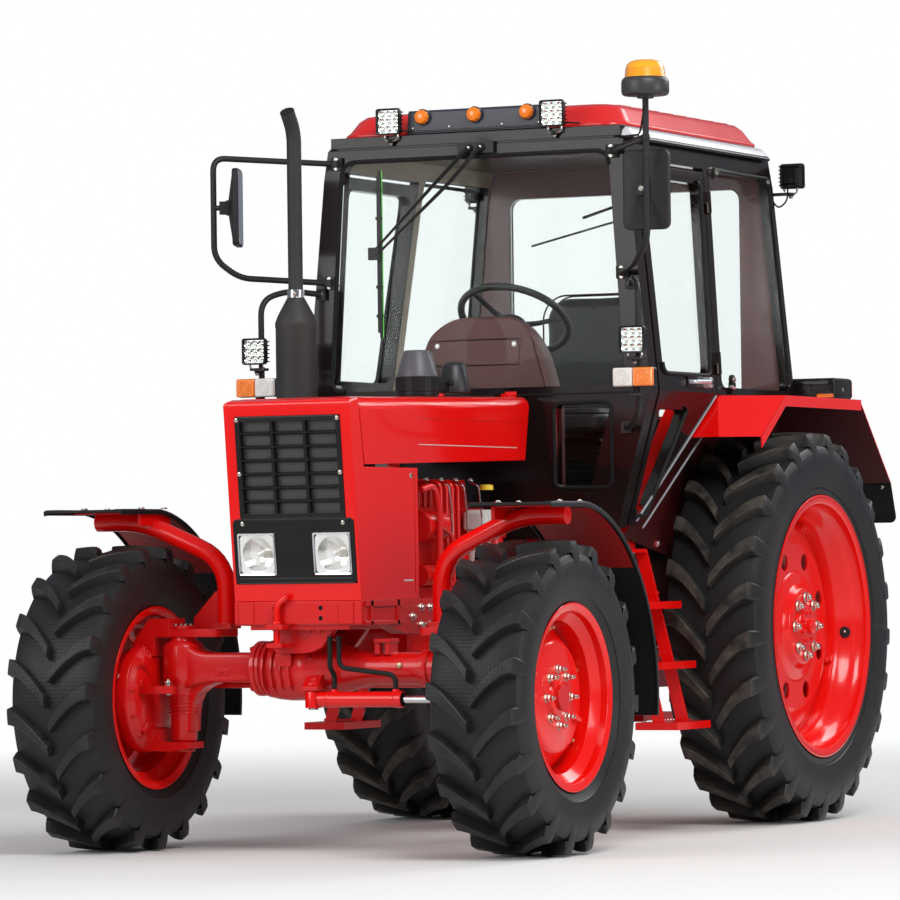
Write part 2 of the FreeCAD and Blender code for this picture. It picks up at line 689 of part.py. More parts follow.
def tyre_form(half, radius, tread, start, lugs, near_width, far_width, sweep):
    """A tyre of flat faces, one round for each lug; half is its outline (y, radius) on one side."""
    half = [(float(y), float(r)) for y, r in half]
    ring = half + [(-y, r) for y, r in reversed(half)]
    turn = 2 * math.pi / lugs
    levels = [[V(r * math.cos(turn * k), y, r * math.sin(turn * k)) for y, r in ring]
              for k in range(lugs)]
    faces = []
    for k in range(lugs):
        one, two = levels[k - 1], levels[k]
        faces += [[one[i - 1], one[i], two[i], two[i - 1]] for i in range(len(ring))]
    first = -math.pi / 2 - math.asin((sweep - far_width) / 2 / radius)
    pieces = [tyre_lug(radius, radius * 0.8, first + turn * (k + shift), side, start, tread,
                       near_width, far_width, sweep)
              for side, shift in ((1, 0), (-1, 0.5)) for k in range(lugs)]
    return polyhedron(faces).multiFuse(pieces)


def wheel(name, radius, section, tread, seat, flange, rim_half, face, dish, hub, shaft, lug,
          lugs, near_width, far_width, sweep):
    """The left-hand tyre and rim, drawn about their own middle; y is outward."""
    bead = rim_half - s.flange_wall - s.running_gap
    shoulder = radius - lug
    lugs = int(float(lugs))
    spread = 1 / math.cos(math.pi / lugs)
    half = [(bead, (seat + s.running_gap) * spread), (bead, (flange + s.running_gap) * spread),
            (section * 0.93, (flange + lug * 0.5) * spread), (section, (flange + shoulder) / 2),
            (tread * 0.93, shoulder)]
    tyre = shaped(name + "_tyre_form", tyre_form(
        half, float(radius), float(tread), float(s.lug_start), lugs, float(near_width),
        float(far_width), float(sweep)))
    barrel = seat - s.rim_wall
    inner = rim_half - s.flange_wall
    lip = dish + s.rim_wall
    rim = turned(name + "_rim_form", "YZ", [
        (-rim_half, barrel), (-rim_half, flange), (-inner, flange), (-inner, seat),
        (inner, seat), (inner, flange), (rim_half, flange), (rim_half, barrel),
        (dish * 0.35 + s.rim_wall, barrel), (lip, face), (lip, hub * 1.35), (lip + hub * 0.25, hub),
        (lip + hub * 0.5, hub * 0.6), (lip + hub * 0.5, 0), (lip + hub * 0.5 - s.rim_wall, 0),
        (lip + hub * 0.5 - s.rim_wall, shaft + s.running_gap),
        (dish * 0.4, shaft + s.running_gap), (dish * 0.4, hub), (dish, hub), (dish, face),
        (dish * 0.35, barrel)])
    return tyre, rim


front_tyre, front_rim = wheel("front", s.front_radius, s.front_section, s.front_tread, s.front_seat,
                              s.front_flange, s.front_rim_half, s.front_face, s.front_dish,
                              s.front_hub, s.spindle, s.front_lug, s.front_lugs,
                              s.front_lug_near, s.front_lug_far, s.front_lug_sweep)
rear_tyre, rear_rim = wheel("rear", s.rear_radius, s.rear_section, s.rear_tread, s.rear_seat,
                            s.rear_flange, s.rear_rim_half, s.rear_face, s.rear_dish,
                            s.rear_hub, s.rear_shaft, s.rear_lug, s.rear_lugs,
                            s.rear_lug_near, s.rear_lug_far, s.rear_lug_sweep)
for label, piece, x, y, z in (
        ("front_tyre", front_tyre, s.wheelbase, front_wheel_y, s.front_radius),
        ("front_rim", front_rim, s.wheelbase, front_wheel_y, s.front_radius),
        ("rear_tyre", rear_tyre, 0, rear_wheel_y, s.rear_radius),
        ("rear_rim", rear_rim, 0, rear_wheel_y, s.rear_radius)):
    twin(label + "_right", node(label + "_left", piece, x, y, z))

# Front axle: a beam with a bevel housing and a kingpin column at each end
axle_half = s.kingpin_y
shaft_back_x = s.engine_back_x + s.beam_wall + s.running_gap
axle_parts = [
    cylinder("drive_shaft", "X", s.driveshaft, shaft_back_x, s.wheelbase - shaft_back_x,
             (s.driveshaft_y, s.driveshaft_z)),
    cylinder("drive_shaft_flange", "Y", s.axle_tube * 1.2, s.driveshaft_y - s.driveshaft * 1.6,
             -s.driveshaft_y, (s.wheelbase, s.axle_z)),
    cylinder("axle_tube", "Y", s.axle_tube, -axle_half, axle_half * 2, (s.wheelbase, s.axle_z)),
    cylinder("axle_bell", "Y", s.diff_ball, -s.diff_ball, s.diff_ball * 2, (s.wheelbase, s.axle_z)),
    box("axle_root", (s.wheelbase, cylinder_back_x - s.cylinder - s.running_gap),
        (s.cylinder_root_y - s.cylinder, s.cylinder_root_y + s.cylinder),
        (s.cylinder_z - s.cylinder, s.axle_z)),
    box("axle_root_ear", (s.wheelbase, cylinder_back_x + s.cylinder),
        (s.cylinder_root_y - s.cylinder, s.cylinder_root_y + s.cylinder),
        (s.cylinder_z + s.cylinder + s.running_gap, s.axle_z - s.axle_tube / 2))]
for side, y in (("left", s.kingpin_y), ("right", -s.kingpin_y)):
    axle_parts.append(cylinder("column_" + side, "Z", s.column, s.column_low_z,
                               s.column_top_z - s.column_low_z, (s.wheelbase, y)))
    axle_parts.append(cylinder("column_head_" + side, "Y", s.axle_tube * 1.25,
                               y - s.column * 1.6 if side == "left" else y,
                               s.column * 1.6, (s.wheelbase, s.axle_z)))
node("front_axle", fuse("front_axle_form", *axle_parts))

# Knuckle: a fork round the column, the wheel spindle, both arms and the mudguard's stay
wall_in_y = s.kingpin_y + s.column + s.swing_gap
wall_out_y = wall_in_y + s.knuckle_wall
fork_top = s.column_top_z + s.running_gap
fork_low = s.column_low_z - s.running_gap
track_arm_z = (s.track_rod_z + s.track_rod + s.running_gap,
               s.track_rod_z + s.track_rod + s.running_gap + s.knuckle_plate)
steer_arm_low_z = s.cylinder_z + s.cylinder_rod + s.swing_gap
steer_arm_z = (steer_arm_low_z, steer_arm_low_z + s.knuckle_plate)
knuckle_half = s.front_hub * 1.5
knuckle = fuse(
    "knuckle_form",
    box("knuckle_top", (stay_x - s.stay, s.wheelbase + s.column),
        (s.stay_y - s.stay, wall_out_y), (fork_top, fork_top + s.knuckle_plate)),
    box("knuckle_low", (s.wheelbase - s.column, s.wheelbase + s.column),
        (s.kingpin_y - s.column, wall_out_y), (fork_low - s.knuckle_plate, fork_low)),
    box("knuckle_back", (s.wheelbase - knuckle_half, s.wheelbase + knuckle_half),
        (wall_in_y, wall_out_y), (fork_low - s.knuckle_plate, fork_top + s.knuckle_plate)),
    cylinder("knuckle_hub", "Y", s.front_hub * 1.3, wall_in_y,
             front_wheel_y + s.front_dish * 0.4 - s.running_gap - wall_in_y,
             (s.wheelbase, s.front_radius)),
    cylinder("knuckle_spindle", "Y", s.spindle, wall_in_y,
             front_wheel_y + s.front_dish + s.front_hub * 0.5 - s.running_gap - wall_in_y,
             (s.wheelbase, s.front_radius)),
    box("steering_arm", (s.wheelbase + s.steer_arm - s.cylinder_rod * 3,
                         s.wheelbase + s.steer_arm + s.cylinder_rod * 2),
        (s.kingpin_y - s.cylinder_rod * 2, wall_out_y), steer_arm_z),
    box("steering_arm_root", (s.wheelbase + knuckle_half - s.knuckle_wall,
                              s.wheelbase + s.steer_arm + s.cylinder_rod * 2),
        (wall_in_y, wall_out_y), steer_arm_z),
    box("track_arm", (s.wheelbase - s.track_arm - s.track_rod * 1.5,
                      s.wheelbase - s.track_arm + s.track_rod * 2.5),
        (s.kingpin_y - s.track_rod * 1.5, wall_out_y), track_arm_z),
    box("track_arm_root", (s.wheelbase - s.track_arm - s.track_rod * 1.5,
                           s.wheelbase - knuckle_half + s.knuckle_wall),
        (wall_in_y, wall_out_y), track_arm_z),
    tube("mudguard_stay", [
        (stay_x, s.stay_y, fork_top), (stay_x, s.stay_y, s.fender_top_z - s.stay * 5.5),
        (stay_x + s.stay, s.fender_in_y + s.stay * 2,
         s.fender_top_z - s.fender_wall - s.stay - s.running_gap),
        (stay_x + s.stay, s.fender_out_y - s.stay * 2,
         s.fender_top_z - s.fender_wall - s.stay - s.running_gap)], s.stay, s.stay_bend))
twin("knuckle_right", node("knuckle_left", knuckle))

# Front mudguard: a curved band that steers with its wheel
def guard_band(radius, top, tail):
    """One face of the band in side view: a flat top, then an arc down behind the wheel."""
    start = math.asin(min(1.0, float(top - s.front_radius) / float(radius)))
    end = math.asin((float(tail) - float(s.front_radius)) / float(radius))
    centre = at(s.wheelbase, 0, s.front_radius)

    def point(turn):
        return centre + V(-math.cos(turn), 0, math.sin(turn)) * float(radius)
    nose = at(fender_nose_x, 0, top)
    return nose, point(start), point((start + end) / 2), point(end)


outer = guard_band(s.fender_radius, s.fender_top_z, s.fender_tail_z)
inner = guard_band(s.fender_radius - s.fender_wall, s.fender_top_z - s.fender_wall, s.fender_tail_z)
band = Part.Wire([
    Part.LineSegment(outer[0], outer[1]).toShape(), Part.Arc(*outer[1:]).toShape(),
    Part.LineSegment(outer[3], inner[3]).toShape(), Part.Arc(inner[3], inner[2], inner[1]).toShape(),
    Part.LineSegment(inner[1], inner[0]).toShape(), Part.LineSegment(inner[0], outer[0]).toShape()])
guard = Part.Face(band).extrude(at(0, s.fender_out_y - s.fender_in_y, 0))
guard.translate(at(0, s.fender_in_y, 0))
twin("front_fender_right", node("front_fender_left", shaped("front_fender_form", guard)))

# Steering: the track rod joins both knuckles, the cylinder pushes the left one
track_x = s.wheelbase - s.track_arm
rod_eye = s.track_rod * 1.5
node("track_rod", fuse(
    "track_rod_form",
    cylinder("track_rod_bar", "Y", s.track_rod * 0.9, -s.kingpin_y, s.kingpin_y * 2,
             (track_x, s.track_rod_z)),
    *[cylinder("track_rod_eye_" + side, "Z", rod_eye, s.track_rod_z - s.track_rod,
               s.track_rod * 2, (track_x, y))
      for side, y in (("left", s.kingpin_y), ("right", -s.kingpin_y))]))
piston_x = cylinder_back_x
node("steering_cylinder", cut(
    "steering_cylinder_form",
    fuse("steering_cylinder_solid",
         cylinder("cylinder_barrel", "Y", s.cylinder, s.cylinder_root_y,
                  s.cylinder_end_y - s.cylinder_root_y, (piston_x, s.cylinder_z)),
         cylinder("cylinder_root", "Z", s.cylinder, s.cylinder_z - s.cylinder, s.cylinder * 2,
                  (piston_x, s.cylinder_root_y))),
    cylinder("cylinder_bore", "Y", s.cylinder_rod + s.running_gap,
             s.cylinder_root_y + s.steer_arm, s.cylinder_end_y, (piston_x, s.cylinder_z))))
node("steering_rod", fuse(
    "steering_rod_form",
    cylinder("piston_rod", "Y", s.cylinder_rod, s.cylinder_root_y + s.steer_arm * 2,
             s.kingpin_y - s.cylinder_root_y - s.steer_arm * 2, (piston_x, s.cylinder_z)),
    cylinder("piston_eye", "Z", s.cylinder_rod * 2, s.cylinder_z - s.cylinder_rod * 1.2,
             s.cylinder_rod * 2.4, (piston_x, s.kingpin_y))))

# Steering hoses: from the cylinder's two ports up to the beam
hose_top = (beam_nose_x - s.beam_wall + s.hose * 1.5, s.beam_low_z - s.running_gap)
port_z = s.cylinder_z + s.cylinder + s.running_gap
near_port_y = s.saddle_half + s.hose * 2
far_port_y = s.cylinder_end_y - s.cylinder
node("steering_hoses", group(
    "steering_hoses_form",
    tube("near_hose", [
        (hose_top[0], near_port_y, hose_top[1]), (hose_top[0], near_port_y, port_z + s.beam_wall * 1.5),
        (piston_x, near_port_y, port_z + s.beam_wall), (piston_x, near_port_y, port_z)],
        s.hose, 20),
    tube("far_hose", [
        (hose_top[0], near_port_y + s.hose * 4, hose_top[1]),
        (hose_top[0], near_port_y + s.hose * 4, port_z + s.beam_wall * 1.5),
        (piston_x, far_port_y, port_z + s.beam_wall), (piston_x, far_port_y, port_z)],
        s.hose, 30)))

# Front beam: two rails, a bolted nose plate and the saddle that carries the axle's pivot
saddle_in = s.axle_tube + s.swing_gap
saddle_pin_z = s.axle_z + s.diff_ball
beam_inner = s.beam_half - s.beam_wall
beam = fuse(
    "beam_solid",
    box("beam_nose", (beam_nose_x - s.beam_wall, beam_nose_x), (-s.beam_half, s.beam_half),
        (s.beam_low_z, s.beam_top_z)),
    box("beam_rail_left", (beam_back_x, beam_nose_x), (beam_inner, s.beam_half),
        (s.beam_low_z, s.beam_top_z)),
    box("beam_rail_right", (beam_back_x, beam_nose_x), (-s.beam_half, -beam_inner),
        (s.beam_low_z, s.beam_top_z)),
    box("beam_back", (beam_back_x, beam_back_x + s.beam_wall), (-s.beam_half, s.beam_half),
        (s.beam_low_z, s.beam_top_z)),
    box("beam_bridge", (s.wheelbase - s.diff_ball - s.saddle_plate * 2,
                        s.wheelbase + s.diff_ball + s.saddle_plate * 2),
        (-beam_inner, beam_inner), (saddle_pin_z + s.swing_gap, s.beam_top_z)),
    *[box("saddle_" + end, (x, x + s.saddle_plate), (-s.saddle_half, s.saddle_half),
          (s.axle_z, s.beam_top_z))
      for end, x in (("front", s.wheelbase + s.diff_ball + s.running_gap),
                     ("rear", s.wheelbase - s.diff_ball - s.saddle_plate - s.running_gap))])
beam_mid_z = (s.beam_low_z + s.beam_top_z) / 2
node("front_beam", cut("front_beam_form", beam, *[
    cylinder("weight_hole_%d" % number, "X", s.weight_hole, beam_nose_x - s.beam_wall * 2,
             s.beam_wall * 3, (s.weight_hole_y * across, beam_mid_z + s.weight_hole_rise * up))
    for number, (across, up) in enumerate(((-1, -1), (1, -1), (-1, 1), (1, 1)))]))

# Engine, gearbox and rear axle housing
half_block = s.block_half
pump_low_z, pump_high_z = s.pump_z - s.filter, s.pump_z + s.filter
engine_parts = [
    box("sump", (s.engine_back_x, s.engine_front_x - s.beam_wall), (-s.sump_half, s.sump_half),
        (s.engine_low_z, s.sump_top_z)),
    box("block", (s.engine_back_x, s.engine_front_x), (-half_block, half_block),
        (s.sump_top_z, s.block_top_z)),
    box("timing_cover", (s.engine_front_x - s.beam_wall, s.engine_front_x),
        (-s.engine_half, s.engine_half), (s.beam_top_z, s.block_top_z)),
    box("head", (s.engine_back_x + s.beam_wall, s.engine_front_x - s.beam_wall / 2),
        (-s.head_half, s.head_half), (s.block_top_z, s.head_top_z)),
    pad("rocker_cover", "YZ", [
        (s.cover_half, s.head_top_z), (s.cover_half * 0.8, s.engine_top_z),
        (-s.cover_half * 0.8, s.engine_top_z), (-s.cover_half, s.head_top_z)],
        s.engine_back_x + s.beam_wall * 2, s.engine_front_x - s.beam_wall),
    box("exhaust_manifold", (s.engine_back_x + s.beam_wall * 3, s.engine_front_x - s.beam_wall),
        (-s.engine_half, -s.head_half), (s.engine_top_z - s.tailpipe * 4.4,
                                         s.engine_top_z - s.tailpipe * 1.6)),
    box("engine_bell", (s.engine_back_x, s.engine_back_x + s.beam_wall),
        (-s.clutch_half, s.clutch_half), (s.gearbox_low_z, s.gearbox_top_z)),
    box("pump_body", (pump_front_x - s.pump_length, pump_front_x),
        (half_block, s.pump_out_y), (pump_low_z, pump_high_z)),
    cylinder("pump_nose", "X", s.filter * 0.85, pump_front_x, s.engine_front_x - pump_front_x,
             ((half_block + s.pump_out_y) / 2, s.pump_z)),
    cylinder("pump_tail", "X", s.filter * 0.8, pump_front_x - s.pump_length * 1.4,
             s.pump_length * 0.4, ((half_block + s.pump_out_y) / 2, s.pump_z)),
    cylinder("alternator", "X", s.alternator, pump_front_x - s.beam_wall,
             s.engine_front_x - pump_front_x + s.beam_wall,
             (half_block + s.alternator * 0.6, s.alternator_z)),
    cylinder("starter", "X", s.starter, s.engine_back_x + s.beam_wall, s.pump_length,
             (-half_block - s.starter * 0.7, s.starter_z)),
    box("filter_bracket", (filter_x - s.filter * 3.4, filter_x + s.filter),
        (s.head_half, half_block + s.filter * 1.3), (s.block_top_z, s.block_top_z + s.filter)),
    cylinder("crank_pulley", "X", s.pulley, s.engine_front_x, s.beam_wall / 2, (0, s.pulley_z)),
    cylinder("fan_shaft", "X", s.starter * 0.5, s.engine_front_x - s.beam_wall,
             fan_x - s.engine_front_x + s.beam_wall * 1.4, (0, s.fan_z)),
    cylinder("fan_hub", "X", s.fan_hub, fan_x - s.fan_hub / 2, s.fan_hub, (0, s.fan_z)),
    box("fan_bracket", (s.engine_front_x - s.beam_wall, s.engine_front_x),
        (-s.pulley, s.pulley), (s.block_top_z, s.fan_z + s.starter))]
for number, x in enumerate((filter_x, filter_x - s.filter * 2.4)):
    engine_parts.append(cylinder(
        "filter_%d" % number, "Z", s.filter, s.block_top_z + s.filter / 2 - s.filter_height,
        s.filter_height, (x, half_block + s.filter * 0.4)))
for number in range(4):
    pipe_x = pump_front_x - s.pipe * 2 - s.pipe_spacing * number
    engine_parts.append(tube("injection_pipe_%d" % number, [
        (pipe_x, s.pump_out_y - s.pipe * 3, s.pump_z),
        (pipe_x, s.pump_out_y - s.pipe * 3, s.engine_top_z - s.pipe * 2),
        (pipe_x, s.head_half - s.pipe * 2, s.engine_top_z - s.pipe * 2),
        (pipe_x, s.head_half - s.pipe * 2, s.head_top_z - s.pipe)], s.pipe, 24))
for number in range(6):
    blade = Part.makeBox(float(s.glass), float(s.beam_wall), float(s.fan - s.fan_hub * 0.85),
                         at(0, -s.beam_wall / 2, s.fan_hub * 0.85))
    blade.rotate(V(0, 0, 0), V(0, 0, 1), 35)
    blade.rotate(V(0, 0, 0), V(1, 0, 0), 60 * number)
    blade.translate(at(fan_x, 0, s.fan_z))
    engine_parts.append(shaped("fan_blade_%d" % number, blade))
node("engine", fuse("engine_form", *engine_parts))
trumpet_at = (0, s.rear_radius)
lug_y = s.link_root_y - s.lift_arm_half * 1.4 - s.link_bar / 2 - s.running_gap
transmission = fuse(
    "transmission_solid",
    box("clutch_housing", (s.clutch_back_x, s.engine_back_x), (-s.clutch_half, s.clutch_half),
        (s.gearbox_low_z, s.gearbox_top_z)),
    box("gearbox", (s.axlebox_front_x, s.clutch_back_x), (-s.gearbox_half, s.gearbox_half),
        (s.gearbox_low_z, s.gearbox_top_z)),
    box("axlebox", (s.axlebox_back_x, s.axlebox_front_x), (-s.axlebox_half, s.axlebox_half),
        (s.axlebox_low_z, s.gearbox_top_z)),
    box("lift_box", (s.lift_box_back_x, s.axlebox_front_x), (-s.gearbox_half, s.gearbox_half),
        (s.arm_root_z - s.link_bar * 2, s.lift_box_top_z)),
    *[box("link_lug_" + side, (s.link_root_x - s.link_bar, s.link_root_x + s.link_bar),
          (y - s.link_bar / 2, y + s.link_bar / 2),
          (s.link_root_z - s.link_bar, s.axlebox_low_z + s.link_bar))
      for side, y in (("left", lug_y), ("right", -lug_y))],
    cylinder("trumpets", "Y", s.trumpet, -s.trumpet_end_y, s.trumpet_end_y * 2, trumpet_at),
    cylinder("half_shafts", "Y", s.rear_shaft,
             -(rear_wheel_y + s.rear_dish + s.rear_hub * 0.5 - s.running_gap),
             (rear_wheel_y + s.rear_dish + s.rear_hub * 0.5 - s.running_gap) * 2, trumpet_at),
    cylinder("pto_shaft", "X", s.pto, s.axlebox_back_x - s.pto_length, s.pto_length + s.pto,
             (0, s.pto_z)),
    box("top_link_ear", (s.top_link_x - s.top_link * 1.5, s.axlebox_back_x),
        (-s.top_link, s.top_link), (s.top_link_z - s.top_link, s.top_link_z + s.top_link)))
cab_mounts = [box("cab_mount_%s_%d" % (end, side), (x, x + s.cab_mount),
                  (y * side - s.cab_mount / 2, y * side + s.cab_mount / 2),
                  (s.gearbox_top_z - s.link_bar, floor_low_z - s.running_gap))
              for end, x, y in (("front", s.clutch_back_x + s.cab_mount * 4, s.clutch_half * 0.75),
                                ("rear", s.cab_mount, s.axlebox_half - s.cab_mount / 2 - s.glass))
              for side in (1, -1)]
lift_shaft = s.link_bar * 1.2
node("transmission", cut("transmission_form", fuse(
    "transmission_with_mounts", transmission, *cab_mounts), cylinder(
    "lift_bore", "Y", lift_shaft + s.running_gap, -s.arm_side_y, s.arm_side_y * 2,
    (s.arm_root_x, s.arm_root_z))))

# Hood: the side panels and nose frame stay, the bonnet lifts
hood_inner = s.hood_half - s.hood_wall
nose_lean = (hood_nose_top_x - hood_nose_low_x) / (s.hood_nose_top_z - hood_low_z)


def nose_x(z):
    """The nose's leaning face at a height."""
    return hood_nose_low_x + nose_lean * (z - hood_low_z)


seam = s.swing_gap
shell_low_x = seam_low_x + seam
nose_solid = pad("nose_solid", "XZ", [
    (side_back_x, hood_low_z), (hood_nose_low_x, hood_low_z),
    (hood_nose_top_x, s.hood_nose_top_z), (seam_top_x + seam, s.bonnet_front_z),
    (shell_low_x, s.seam_front_z - seam), (side_back_x, s.seam_front_z - seam)],
    -s.hood_half, s.hood_half)
nose_hollow = pad("nose_hollow", "XZ", [
    (side_back_x - seam, hood_low_z - seam),
    (nose_x(hood_low_z - seam) - s.grille_depth, hood_low_z - seam),
    (nose_x(s.grille_top_z) - s.grille_depth, s.grille_top_z),
    (side_back_x - seam, s.grille_top_z)], -hood_inner, hood_inner)
grille_hole = box("grille_hole", (hood_nose_low_x - s.beam_wall * 2, hood_nose_top_x + seam),
                  (-s.grille_half, s.grille_half), (s.grille_low_z, s.grille_top_z))
panel_hole = box("panel_hole", (hood_nose_low_x - s.beam_wall * 2, hood_nose_top_x + seam),
                 (-s.lamp_panel_half, s.lamp_panel_half), (s.lamp_panel_low_z, s.lamp_panel_top_z))
node("hood_frame", cut("hood_frame_form", nose_solid, nose_hollow, grille_hole, panel_hole))


def nose_plate(name, half, low, high, out):
    """A plate that fills its hole in the leaning nose; out is how far it stands proud."""
    gap = s.running_gap
    return pad(name, "XZ", [
        (nose_x(low) - s.grille_depth, low + gap), (nose_x(low) + out, low + gap),
        (nose_x(high) + out, high - gap), (nose_x(high) - s.grille_depth, high - gap)],
        -half + gap, half - gap)


lamp_half = s.headlamp / 2
lamp_holes = [box("lamp_hole_" + side, (nose_x(s.headlamp_z) - s.grille_depth * 2,
                                        nose_x(s.headlamp_z) + s.grille_depth),
                  (y - lamp_half, y + lamp_half),
                  (s.headlamp_z - lamp_half, s.headlamp_z + lamp_half))
              for side, y in (("left", s.headlamp_y), ("right", -s.headlamp_y))]
lamp_panel = cut("lamp_panel_form", nose_plate(
    "lamp_panel_solid", s.lamp_panel_half, s.lamp_panel_low_z, s.lamp_panel_top_z, 4), *lamp_holes)
row_pitch = (s.grille_top_z - s.grille_low_z - s.grille_border * 2 + s.grille_bar) / s.grille_rows
column_pitch = (s.grille_half * 2 - s.grille_border * 2 + s.grille_bar) / s.grille_columns
pockets = []
for row in range(int(float(s.grille_rows))):
    low_z = s.grille_low_z + s.grille_border + row_pitch * row
    high_z = low_z + row_pitch - s.grille_bar
    for column in range(int(float(s.grille_columns))):
        low_y = s.grille_border - s.grille_half + column_pitch * column
        pockets.append(box("pocket_%d_%d" % (row, column),
                           (nose_x(low_z) - s.grille_pocket, nose_x(high_z) + s.grille_pocket),
                           (low_y, low_y + column_pitch - s.grille_bar), (low_z, high_z)))
grille = cut("grille_form", nose_plate(
    "grille_plate", s.grille_half, s.grille_low_z, s.grille_top_z, 4), group("pockets", *pockets))
node("grille", group("grille_and_panel", lamp_panel, grille))
lamp_low, lamp_high = s.headlamp_z - lamp_half, s.headlamp_z + lamp_half
head_left = pad("headlamp_form", "XZ", [
    (nose_x(lamp_low) - s.grille_depth, lamp_low + s.running_gap),
    (nose_x(lamp_low) + 8, lamp_low + s.running_gap),
    (nose_x(lamp_high) + 8, lamp_high - s.running_gap),
    (nose_x(lamp_high) - s.grille_depth, lamp_high - s.running_gap)],
    s.headlamp_y - lamp_half + s.running_gap, s.headlamp_y + lamp_half - s.running_gap)
lamps = [head_left]
node("radiator", box("radiator_form", (radiator_x - s.radiator_depth, radiator_x),
                     (-hood_inner + seam, hood_inner - seam), (hood_low_z, s.grille_top_z - seam)))


def bonnet_side(inset, drop):
    """The bonnet in side view, its top lowered by one wall for the hollow."""
    return [(s.bonnet_toe_x, s.seam_back_z - drop), (seam_low_x, s.seam_front_z - drop),
            (seam_top_x, s.bonnet_front_z - inset), (s.bonnet_back_x, s.bonnet_back_z - inset)]


bonnet_outer = pad("bonnet_outer", "XZ", bonnet_side(0, 0), -s.hood_half, s.hood_half,
                   s.hood_round, V(1, 0, 0), s.grille_top_z)
bonnet_hollow = pad("bonnet_hollow", "XZ", [
    (s.bonnet_back_x - seam, s.seam_back_z - seam * 8), (seam_top_x + seam, s.seam_back_z - seam * 8),
    (seam_top_x + seam, s.bonnet_front_z - s.hood_wall),
    (s.bonnet_back_x - seam, s.bonnet_back_z - s.hood_wall)],
    -hood_inner, hood_inner, s.hood_round - s.hood_wall, V(1, 0, 0), s.grille_top_z)
bonnet_pin = (s.bonnet_back_x, s.bonnet_back_z + s.hinge + s.glass / 2)
bonnet_leaves = []
for side, y in (("left", s.bonnet_hinge_y), ("right", -s.bonnet_hinge_y)):
    bonnet_leaves += [
        cylinder("bonnet_barrel_" + side, "Y", s.hinge, y + s.running_gap, s.hinge_leaf, bonnet_pin),
        box("bonnet_leaf_" + side, (bonnet_pin[0], bonnet_pin[0] + s.hinge_leaf),
            (y + s.running_gap, y + s.running_gap + s.hinge_leaf),
            (s.bonnet_back_z - s.hood_wall, bonnet_pin[1]))]
node("bonnet", fuse("bonnet_form", cut("bonnet_shell", bonnet_outer, bonnet_hollow),
                    *bonnet_leaves))
cleaner_foot_z = s.bonnet_back_z - (s.bonnet_back_z - s.bonnet_front_z) * (
    (s.cleaner_x - s.bonnet_back_x) / (seam_top_x - s.bonnet_back_x)) + s.cleaner_lift
node("pre_cleaner", turned("pre_cleaner_form", "XZ", [
    (0, cleaner_foot_z), (s.cleaner * 0.62, cleaner_foot_z), (s.cleaner * 0.62, cleaner_foot_z + 12),
    (s.cleaner, cleaner_foot_z + 12), (s.cleaner, cleaner_foot_z + 60),
    (s.cleaner * 0.88, cleaner_foot_z + 62), (s.cleaner * 0.6, s.cleaner_top_z),
    (0, s.cleaner_top_z)]), s.cleaner_x)

# Exhaust: an upright muffler on the right, fed from the engine through an elbow
exhaust = fuse(
    "exhaust_form",
    place(turned("muffler_form", "XZ", [
        (0, s.muffler_low_z), (s.muffler * 0.7, s.muffler_low_z), (s.muffler, s.muffler_low_z + 40),
        (s.muffler, s.muffler_top_z), (s.tailpipe * 1.2, s.muffler_top_z + s.muffler_cone),
        (s.tailpipe, s.muffler_top_z + s.muffler_cone), (0, s.muffler_top_z + s.muffler_cone)]), s.exhaust_x, s.exhaust_y),
    tube("tail_pipe", [(s.exhaust_x, s.exhaust_y, s.muffler_top_z),
                       (s.exhaust_x, s.exhaust_y, s.tailpipe_bend_z),
                       (s.exhaust_x + s.tailpipe * 2.2, s.exhaust_y, s.exhaust_top_z)],
         s.tailpipe, s.tailpipe_bend),
    tube("exhaust_elbow", [(s.exhaust_x, s.exhaust_y, s.muffler_low_z + s.tailpipe),
                           (s.exhaust_x, s.exhaust_y, s.engine_top_z - s.tailpipe * 3),
                           (s.exhaust_x, -s.engine_half - s.running_gap,
                            s.engine_top_z - s.tailpipe * 3)],
         s.tailpipe * 1.2, 60))
node("exhaust", exhaust)

# Cab: front, side and rear frames stand on the floor, each as thick as its wall
side_outer = [(s.sill_y, s.sill_z), (s.belt_y, s.belt_z), (s.eave_y, s.eave_z),
              (s.gutter_y, s.gutter_z)]


def side_skin(name, low_x, high_x, out, wall):
    """The cab's leaning side as a sheet; out moves its face outward from the cab's own."""
    face = [(y + out, z) for y, z in side_outer]
    return pad(name, "YZ", face + [(y - wall, z) for y, z in reversed(face)], low_x, high_x)


def behind_post(z, back):
    """The leaning line of the door's hinge edge at a height, moved back."""
    lean = (s.door_top_x - s.door_heel_x) / (s.door_top_z - s.door_heel_z)
    return s.door_heel_x + lean * (z - s.door_heel_z) - back


front_outline = [(s.well_y, s.bulkhead_low_z), (s.sill_y, s.sill_z)] + side_outer[1:]
front_outline = front_outline + [(-y, z) for y, z in reversed(front_outline)]
cab_front = pad("cab_front_solid", "YZ", front_outline, s.cab_post_x, s.cab_front_x)
shield_outline = [(s.shield_low_y, s.shield_low_z), (s.shield_high_y, s.shield_high_z),
                  (-s.shield_high_y, s.shield_high_z), (-s.shield_low_y, s.shield_low_z)]
lean_low = (s.belt_y - s.sill_y) / (s.belt_z - s.sill_z)
low_pane = [(s.low_pane_in_y, s.low_pane_low_z),
            (s.low_pane_out_y - lean_low * (s.low_pane_top_z - s.low_pane_low_z), s.low_pane_low_z),
            (s.low_pane_out_y, s.low_pane_top_z), (s.low_pane_in_y, s.low_pane_top_z)]
through = (s.cab_post_x - seam, s.cab_front_x + seam)
shield_hole = pad("shield_hole", "YZ", shield_outline, *through, s.shield_round)
low_hole = pad("low_hole", "YZ", low_pane, *through, s.low_pane_round)
cab_front = cut("cab_front_frame", cab_front, shield_hole, low_hole,
                mirror("low_hole_twin", low_hole))
